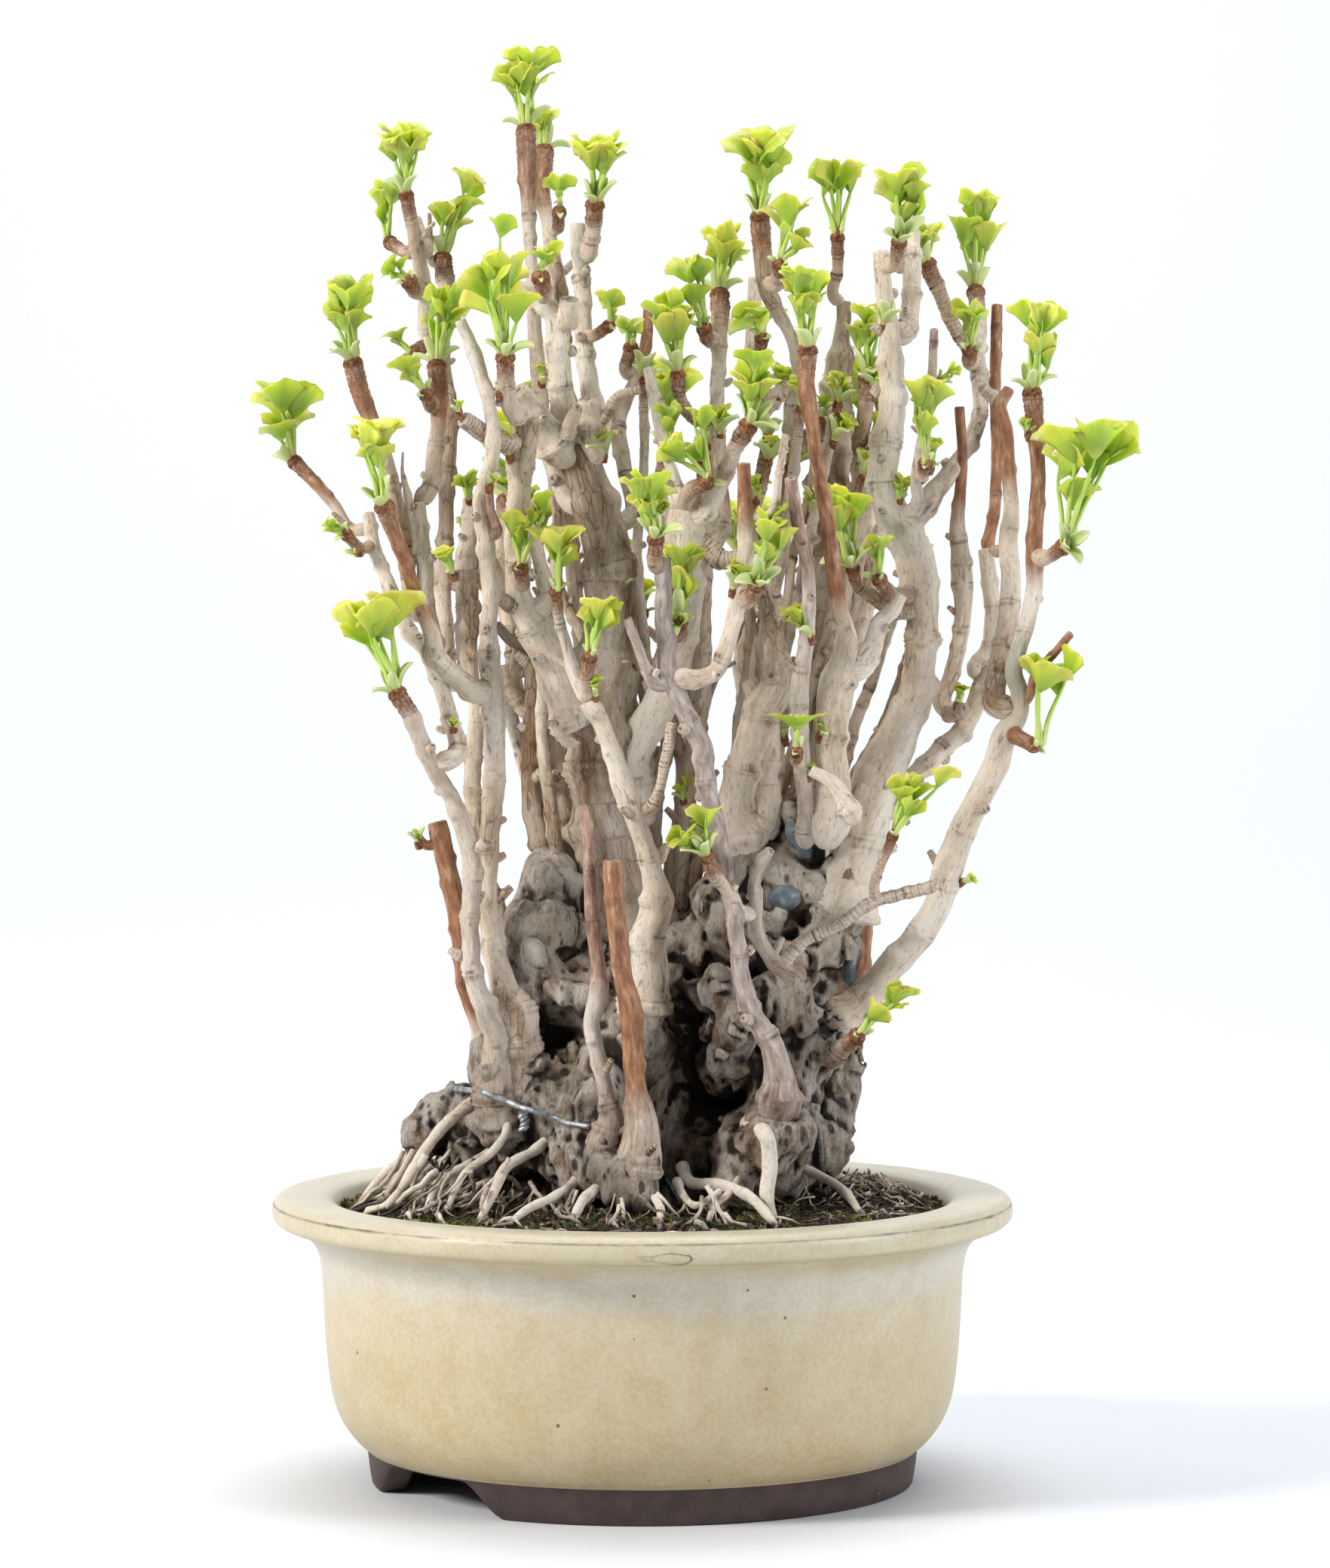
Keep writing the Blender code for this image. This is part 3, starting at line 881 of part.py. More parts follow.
def build_wire(tree):
    """The tie wire, laid over the front of the burl and held a little off the wood."""
    work = bmesh.new()
    work.from_mesh(tree.data)
    shape = BVHTree.FromBMesh(work)
    work.free()
    points = []
    for across, up in WIRE:
        far = seen(across, up, -150)
        into = unit(seen(across, up, 0) - far)
        start = Vector(((far[0] - MIDDLE_X) * MM, (far[1] - MIDDLE_Y) * MM, far[2] * MM))
        hit = shape.ray_cast(start, Vector(into))[0]
        if hit is None:
            continue
        spot = np.array(((hit[0] / MM + MIDDLE_X), (hit[1] / MM + MIDDLE_Y), hit[2] / MM)) - into * 3.0
        points.append(spot)
    points = np.array(points)
    for _ in range(60):
        smooth = points.copy()
        smooth[1:-1] = points[1:-1] * 0.6 + (points[:-2] + points[2:]) * 0.2
        points = smooth
        for index in range(len(points)):
            for share in (0.0, 0.25, 0.5, 0.75):
                after = min(index + 1, len(points) - 1)
                spot = points[index] * (1 - share) + points[after] * share
                place = Vector(((spot[0] - MIDDLE_X) * MM, (spot[1] - MIDDLE_Y) * MM, spot[2] * MM))
                near, normal, _, gap = shape.find_nearest(place)
                away = np.array(place - near) / max(gap, 1e-9)
                inside = (place - near).dot(normal) < 0
                short = WIRE_RADIUS + WIRE_OFF_WOOD + 0.1 - (-gap if inside else gap) / MM
                if short > 0:
                    push = (-away if inside else away) * short
                    points[index] += push
                    if share:
                        points[after] += push
    axis = np.column_stack([points, np.full(len(points), WIRE_RADIUS)])
    return new_object("tie_wire", *tube(axis, 6))


def paint(thing, kind):
    """Gives an object a Principled material of its own."""
    colour, rough = COLOURS[kind]
    material = bpy.data.materials.new(thing.name)
    material.use_nodes = True
    shader = material.node_tree.nodes["Principled BSDF"]
    shader.inputs["Base Color"].default_value = colour
    shader.inputs["Roughness"].default_value = rough
    thing.data.materials.clear()
    thing.data.materials.append(material)


for leftover in list(bpy.data.objects):
    bpy.data.objects.remove(leftover)

stem_axes = lay_stems()
paint(build_pot(), "pot")
paint(build_soil(), "soil")
tree = build_tree(stem_axes)
paint(tree, "tree")
paint(build_wire(tree), "tie_wire")
for number, spray in enumerate(lay_sprays(stem_axes)):
    paint(build_spray(number, spray), "spray")
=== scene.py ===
"""Ginkgo bonsai in a round cream pot: the looks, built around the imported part.

Sizes are millimetres from the middle of the pot's foot unless a line says otherwise, and every piece is put in
the part's own frame, in metres, when its mesh is made.
"""

import itertools
from math import atan2, ceil, cos, degrees, exp, hypot, pi, radians, sin

import bmesh
import bpy
import numpy as np
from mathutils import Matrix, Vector
from numpy.linalg import norm
from numpy.random import default_rng


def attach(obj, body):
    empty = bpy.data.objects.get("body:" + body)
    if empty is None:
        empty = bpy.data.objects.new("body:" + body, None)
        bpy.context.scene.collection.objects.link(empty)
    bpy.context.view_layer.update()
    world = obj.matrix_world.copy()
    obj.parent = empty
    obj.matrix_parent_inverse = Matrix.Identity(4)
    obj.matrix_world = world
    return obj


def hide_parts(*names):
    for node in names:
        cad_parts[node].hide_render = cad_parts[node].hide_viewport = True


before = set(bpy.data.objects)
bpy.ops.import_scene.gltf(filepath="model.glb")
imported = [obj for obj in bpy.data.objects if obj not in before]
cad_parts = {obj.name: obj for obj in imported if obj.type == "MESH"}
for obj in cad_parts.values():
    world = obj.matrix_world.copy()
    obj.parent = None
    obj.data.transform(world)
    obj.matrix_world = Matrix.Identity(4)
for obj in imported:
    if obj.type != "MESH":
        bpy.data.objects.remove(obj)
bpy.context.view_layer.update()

# Pot: a round stoneware bowl on a foot ring with two cuts, thrown on a wheel. A thick cream ash glaze covers it
# inside and out, pooled pale under the rim and worn to a brown-grey line on the lip, and stops at the clay foot.
POT_MIDDLE = np.array((16.05, 0.0, 0.0))
POT_COLUMNS = 288
MM = 0.001
FOOT_LINE = [(60.0, 12.0), (79.0, 12.0), (81.3, 11.7), (81.9, 10.9), (82.1, 5.5), (82.5, 1.1), (83.2, 0.25),
    (84.3, 0.0), (89.9, 0.0), (90.9, 0.2), (91.4, 0.9), (92.0, 4.0), (92.5, 8.0), (93.0, 12.1)]
FOOT_INSIDE = 81.0
FOOT_TOP = 12.1
FOOT_CUT = (29.0, 74.0, 11.25, 11.2)
GLAZE_STEP = 1.9
GLAZE_LINE = [(93.0, 12.1), (93.7, 12.7), (95.2, 13.9), (98.4, 17.3), (101.6, 22.0), (104.2, 28.4), (105.7, 36.0),
    (106.6, 44.0), (107.3, 54.0), (107.8, 64.0), (108.4, 73.0), (109.8, 79.4), (112.4, 83.4), (115.8, 85.9),
    (119.6, 87.4), (122.6, 88.4), (124.3, 89.9), (124.9, 92.0), (124.75, 94.1), (123.9, 96.0), (122.2, 97.2),
    (119.8, 97.6), (113.0, 97.5), (106.5, 96.9), (104.4, 96.0), (103.2, 94.2), (101.8, 90.4), (99.2, 84.0),
    (98.3, 70.0), (98.0, 27.0), (90.0, 20.0), (50.0, 20.0)]


def colour(code):
    """An sRGB hex value as the linear colour that a shader takes."""
    parts = [int(code[place:place + 2], 16) / 255 for place in (1, 3, 5)]
    return tuple(part / 12.92 if part <= 0.04045 else ((part + 0.055) / 1.055) ** 2.4 for part in parts) + (1.0,)


def feed(node, *values, **named):
    """Sets a node's inputs, in their order or by name, to values or to the outputs that feed them."""
    inputs = [socket for socket in node.inputs if socket.enabled]
    named = {name.replace("_", " "): value for name, value in named.items()}
    for socket, value in [*zip(inputs, values), *((node.inputs[name], value) for name, value in named.items())]:
        if isinstance(value, bpy.types.NodeSocket):
            node.id_data.links.new(value, socket)
        else:
            socket.default_value = colour(value) if isinstance(value, str) and value.startswith("#") else value


def add(tree, kind, *values, stops=(), out=0, **settings):
    """Adds a node and gives back one of its outputs, or the node itself where out is None. The values feed its
    inputs in order; a setting with a capital letter is an input by name, and any other is the node's own. Every
    Mix node here mixes colours."""
    homes = ("ShaderNode", "GeometryNode", "FunctionNode", "")
    made = tree.nodes.new(next(home + kind for home in homes if hasattr(bpy.types, home + kind)))
    if kind == "Mix":
        made.data_type = "RGBA"
    for name in [name for name in settings if name[0].islower()]:
        setattr(made, name, settings.pop(name))
    feed(made, *values, **settings)
    for number, (place, code) in enumerate(stops):
        points = made.color_ramp.elements
        point = points[number] if number < 2 else points.new(place)
        point.position = place
        point.color = colour(code)
    if out is None:
        return made
    return made.outputs[out] if out else next(socket for socket in made.outputs if socket.enabled)


def start_material(name):
    """A new material with its node tree and its Principled shader."""
    material = bpy.data.materials.new(name)
    material.use_nodes = True
    return material, material.node_tree, material.node_tree.nodes["Principled BSDF"]


def flow(rows, gap):
    """Rows about gap apart on a smooth line through the given rows; the first columns are the place."""
    rows = np.asarray(rows, float)
    gaps = np.maximum(norm(np.diff(rows[:, :3], axis=0), axis=1), 1e-6)
    slopes = np.diff(rows, axis=0) / gaps[:, None]
    if len(gaps) > 1:
        bends = (slopes[:-1] * gaps[1:, None] + slopes[1:] * gaps[:-1, None]) / (gaps[:-1] + gaps[1:])[:, None]
    else:
        bends = slopes[:0]
    leans = np.vstack([slopes[:1], bends, slopes[-1:]])
    parts = []
    for number, length in enumerate(gaps):
        share = np.linspace(0, 1, max(int(ceil(length / gap)), 1), endpoint=False)[:, None]
        parts.append(rows[number] * (1 + 2 * share) * (1 - share) ** 2 +
            rows[number + 1] * share ** 2 * (3 - 2 * share) + length * (leans[number] * share * (1 - share) ** 2
            - leans[number + 1] * share ** 2 * (1 - share)))
    parts.append(rows[-1:])
    return np.vstack(parts)


def make_piece(name, points, faces):
    """A smooth object from points in mm and their faces."""
    mesh = bpy.data.meshes.new(name)
    mesh.from_pydata(((np.asarray(points, float) - POT_MIDDLE) * MM).tolist(), [], faces)
    mesh.shade_smooth()
    thing = bpy.data.objects.new(name, mesh)
    bpy.context.scene.collection.objects.link(thing)
    return thing


def mark(thing, name, values):
    """Gives each point of a piece a number or a vector that its material reads."""
    values = np.asarray(values, np.float32)
    layer = thing.data.attributes.new(name, "FLOAT_VECTOR" if values.ndim == 2 else "FLOAT", "POINT")
    layer.data.foreach_set("vector" if values.ndim == 2 else "value", values.ravel())


def tube_faces(rings, columns, first=0):
    """Faces of a round form of rings of points, its two ends closed by a point each, which follow the rings."""
    faces = []
    for ring in range(rings - 1):
        for step in range(columns):
            after = (step + 1) % columns
            low = first + ring * columns
            faces.append((low + step, low + after, low + columns + after, low + columns + step))
    last = first + (rings - 1) * columns
    foot, top = first + rings * columns, first + rings * columns + 1
    for step in range(columns):
        after = (step + 1) % columns
        faces.append((foot, first + after, first + step))
        faces.append((top, last + step, last + after))
    return faces


def foot_lift(turn):
    """Height of the foot's underside: 0, or raised in an S-shaped curve inside the two cuts."""
    start, end, slope, lift = FOOT_CUT
    from_front = degrees(atan2(-cos(turn), -sin(turn))) % 180.0
    share = min(max(min(from_front - start, end - from_front) / slope, 0.0), 1.0)
    return lift * share * share * (3 - 2 * share)


pot_turns = [radians(-90 + 360 * step / POT_COLUMNS) for step in range(POT_COLUMNS)]
foot_lifts = [foot_lift(turn) for turn in pot_turns]
pot_rings = []
for radius, height in FOOT_LINE:
    is_cut = radius > FOOT_INSIDE
    pot_rings.append([(radius, min(lift + height * (FOOT_TOP - lift) / FOOT_TOP, FOOT_TOP) if is_cut else height)
        for lift in foot_lifts])
clay_rings = len(pot_rings)
for radius, height in flow(GLAZE_LINE, GLAZE_STEP)[1:]:
    pot_rings.append([(radius, height)] * POT_COLUMNS)
pot_points = [(r * cos(turn), r * sin(turn), z) for ring in pot_rings for (r, z), turn in zip(ring, pot_turns)]
pot_points += [(0, 0, 12.0), (0, 0, 20.0)]
pot = make_piece("glazed_pot", pot_points, tube_faces(len(pot_rings), POT_COLUMNS))
pot_line = np.array([(r, z) for ring in pot_rings for r, z in ring] + [(0, 12.0), (0, 20.0)])
mark(pot, "lip_wear", np.exp(-(np.hypot(pot_line[:, 0] - 124.6, pot_line[:, 1] - 94.9) / 0.75) ** 2))
# Painted shadow: a darker band just under the rim's overhang, where the rim's shade falls on the body.
mark(pot, "painted_rim_shadow", np.exp(-(np.hypot(pot_line[:, 0] - 121.5, pot_line[:, 1] - 88.0) / 1.6) ** 2))

# Cream ash glaze, poured and reduction fired: warm, thinner and more olive low down, milky where it pools under
# the rim, with iron specks and one dark scuff on the rim. It is glossy under a film of age.
glaze, tree, shader = start_material("cream_ash_glaze")
place = add(tree, "TexCoord", out="Object")
height = add(tree, "SeparateXYZ", place, out="Z")
pools = add(tree, "TexNoise", place, Scale=26.0, Detail=4.0)
uneven = add(tree, "Math", pools, 0.010, height, operation="MULTIPLY_ADD")
level = add(tree, "MapRange", uneven, 0.005, 0.1027)
fired = add(tree, "ValToRGB", level, stops=[(0.07, "#7A6B52"), (1.0, "#D1CAB3"), (0.10, "#9F8E67"), (0.15, "#B19D6F"),
    (0.30, "#BDAA7D"), (0.55, "#C4B38C"), (0.70, "#C6B899"), (0.755, "#C4BEAF"), (0.83, "#C0BAAB"),
    (0.875, "#B9AC89"), (0.92, "#C7BB97")])
clouds = add(tree, "TexNoise", place, Scale=75.0, Detail=5.0, Roughness=0.62)
cloud_tint = add(tree, "ValToRGB", clouds, stops=[(0.34, "#A9905E"), (0.62, "#D7D0BC")])
clouded = add(tree, "Mix", 0.22, fired, cloud_tint)
grain = add(tree, "TexNoise", place, Scale=620.0, Detail=3.0)
grain_tint = add(tree, "ValToRGB", grain, stops=[(0.35, "#9C8A67"), (0.65, "#DFDCCB")])
grained = add(tree, "Mix", 0.13, clouded, grain_tint)
specks = add(tree, "TexVoronoi", place, Scale=165.0, out=None)
speck_rare = add(tree, "SeparateColor", specks.outputs["Color"])
speck_size = add(tree, "MapRange", speck_rare, 0.86, 1.0, 0.0, 0.13)
speck = add(tree, "Math", specks.outputs["Distance"], speck_size, operation="LESS_THAN")
speckled = add(tree, "Mix", speck, grained, "#72624A")
lip = add(tree, "Attribute", attribute_name="lip_wear", out="Fac")
lip_broken = add(tree, "Math", lip, clouds, operation="MULTIPLY")
lip_share = add(tree, "MapRange", lip_broken, 0.24, 0.52, 0, 0.9)
worn = add(tree, "Mix", lip_share, speckled, "#695947")
# Painted shadow under the rim's overhang, mixed into the glaze colour as a darker olive-brown.
shadow = add(tree, "Attribute", attribute_name="painted_rim_shadow", out="Fac")
shadow_share = add(tree, "Math", shadow, 0.45, operation="MULTIPLY")
lined = add(tree, "Mix", shadow_share, worn, "#998561")
scuff = add(tree, "VectorMath", place, (140.0, 8.0, 700.0), (1.1, 0.99, -63.4), operation="MULTIPLY_ADD")
scuff_away = add(tree, "VectorMath", scuff, operation="LENGTH")
scuff_torn = add(tree, "Math", clouds, 3.2, scuff_away, operation="MULTIPLY_ADD")
scuff_off = add(tree, "Math", scuff_torn, 2.55, operation="SUBTRACT")
scuff_size = add(tree, "Math", scuff_off, operation="ABSOLUTE")
scuff_side = add(tree, "SeparateXYZ", scuff)
scuff_fade = add(tree, "MapRange", scuff_side, -1.4, 1.2, 0.16, 0.85)
scuff_share = add(tree, "MapRange", scuff_size, 0.24, 0.05, 0, scuff_fade)
scuffed = add(tree, "Mix", scuff_share, lined, "#47423D")
film = add(tree, "MapRange", clouds, 0, 1, 0.28, 0.5)
peel = add(tree, "TexNoise", place, Scale=240.0, Detail=2.0)
peel_bump = add(tree, "Bump", Height=peel, Strength=0.12, Distance=0.001)
feed(shader, Base_Color=scuffed, Roughness=film, IOR=1.5, Normal=peel_bump)

# Unglazed stoneware: brown-purple clay burnished by the wheel, matt, with chalky scratches and lime flecks.
clay, tree, shader = start_material("unglazed_brown_stoneware")
place = add(tree, "TexCoord", out="Object")
body = add(tree, "TexNoise", place, Scale=120.0, Detail=6.0)
body_tint = add(tree, "ValToRGB", body, stops=[(0.3, "#362826"), (0.7, "#4B3935")])
flecks = add(tree, "TexVoronoi", place, Scale=210.0, out=None)
fleck_rare = add(tree, "SeparateColor", flecks.outputs["Color"], out=1)
fleck_size = add(tree, "MapRange", fleck_rare, 0.9, 1.0, 0, 0.22)
fleck = add(tree, "Math", flecks.outputs["Distance"], fleck_size, operation="LESS_THAN")
flecked = add(tree, "Mix", fleck, body_tint, "#CEC4B5")
clay_bump = add(tree, "Bump", Height=body, Strength=0.25, Distance=0.0008)
feed(shader, Base_Color=flecked, Roughness=0.62, Normal=clay_bump)

pot.data.materials.append(glaze)
pot.data.materials.append(clay)
foot_middle = len(pot_points) - 2
for face in pot.data.polygons:
    is_clay = max(face.vertices[:3]) < clay_rings * POT_COLUMNS or face.vertices[0] == foot_middle
    face.material_index = int(is_clay)
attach(pot, "root")
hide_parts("pot")

# Soil: weathered akadama and pumice under a thin skin of humus, mounded a little towards the trunk and packed to
# the pot's wall. The block underneath is closed; its top is kneaded into crumbs and hollows.
SOIL_EDGE = 92.4
SOIL_CROWN = 96.5
SOIL_REACH = 102.5


def soil_height(x, y):
    """Height of the packed soil, highest by the tree and lowest at the pot's wall."""
    away = hypot(x, y) / SOIL_REACH
    return SOIL_EDGE + (SOIL_CROWN - SOIL_EDGE) * max(0.0, 1.0 - away ** 3)


LATTICE = default_rng(11).uniform(-1.0, 1.0, (32, 32, 32))


def rough(points):
    """Smooth noise from -1 to 1 at each point, with a cell one unit wide."""
    points = np.asarray(points, float)
    low = np.floor(points).astype(int)
    part = points - low
    part = part * part * (3 - 2 * part)
    total = np.zeros(len(points))
    for corner in itertools.product((0, 1), repeat=3):
        weight = np.prod(np.where(corner, part, 1 - part), axis=1)
        spot = (low + corner) & 31
        total += weight * LATTICE[spot[:, 0], spot[:, 1], spot[:, 2]]
    return total


SOIL_COLUMNS = 180
SOIL_RINGS = 52
soil_points = [(0.0, 0.0, soil_height(0, 0))]
for ring in range(1, SOIL_RINGS + 1):
    for step in range(SOIL_COLUMNS):
        turn = 2 * pi * step / SOIL_COLUMNS
        reach = SOIL_REACH * ring / SOIL_RINGS
        soil_points.append((reach * cos(turn), reach * sin(turn), soil_height(reach, 0)))
soil_points = np.array(soil_points)
crumbs = (1.5 * rough(soil_points / 9.0) + 1.1 * np.abs(rough(soil_points / 4.2)) + 0.6 * rough(soil_points / 2.3)
    + 5.0 * np.exp(-((soil_points[:, 0] - 76) / 15) ** 2 - ((soil_points[:, 1] + 4) / 26) ** 2))
rim_gap = SOIL_REACH - np.hypot(soil_points[:, 0], soil_points[:, 1])
soil_points[:, 2] += crumbs * np.clip(rim_gap / 7.0, 0.15, 1.0) - 0.6
soil_top = len(soil_points)
low_rings = [(98.9, 84.0), (97.6, 66.0), (97.0, 26.0), (89.0, 21.0)]
for reach, height in low_rings:
    for step in range(SOIL_COLUMNS):
        turn = 2 * pi * step / SOIL_COLUMNS
        soil_points = np.vstack([soil_points, (reach * cos(turn), reach * sin(turn), height)])
soil_points = np.vstack([soil_points, (0, 0, 21.0)])
soil_faces = []
for step in range(SOIL_COLUMNS):
    after = (step + 1) % SOIL_COLUMNS
    soil_faces.append((0, 1 + step, 1 + after))
    for ring in range(SOIL_RINGS + len(low_rings) - 1):
        first = 1 + ring * SOIL_COLUMNS
        soil_faces.append((first + step, first + SOIL_COLUMNS + step, first + SOIL_COLUMNS + after, first + after))
    last = 1 + (SOIL_RINGS + len(low_rings) - 1) * SOIL_COLUMNS
    soil_faces.append((last + step, len(soil_points) - 1, last + after))
soil = make_piece("packed_soil", soil_points, soil_faces)

# Humus and akadama: near black where damp, with rusty clay and ochre crumbs; matt all over.
earth, tree, shader = start_material("humus_and_akadama")
place = add(tree, "TexCoord", out="Object")
damp = add(tree, "TexNoise", place, Scale=55.0, Detail=7.0, Roughness=0.66)
damp_tint = add(tree, "ValToRGB", damp, stops=[(0.36, "#0E0A07"), (0.74, "#5E422B"), (0.48, "#1E150E"),
    (0.60, "#38281B")])
green = add(tree, "TexNoise", place, Scale=38.0, Detail=5.0)
green_share = add(tree, "MapRange", green, 0.5, 0.66, 0, 0.6)
mossy = add(tree, "Mix", green_share, damp_tint, "#4E5324")
earth_bump = add(tree, "Bump", Height=damp, Strength=0.8, Distance=0.002)
feed(shader, Base_Color=mossy, Roughness=0.95, Normal=earth_bump)
soil.data.materials.append(earth)
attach(soil, "root")
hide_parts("soil")

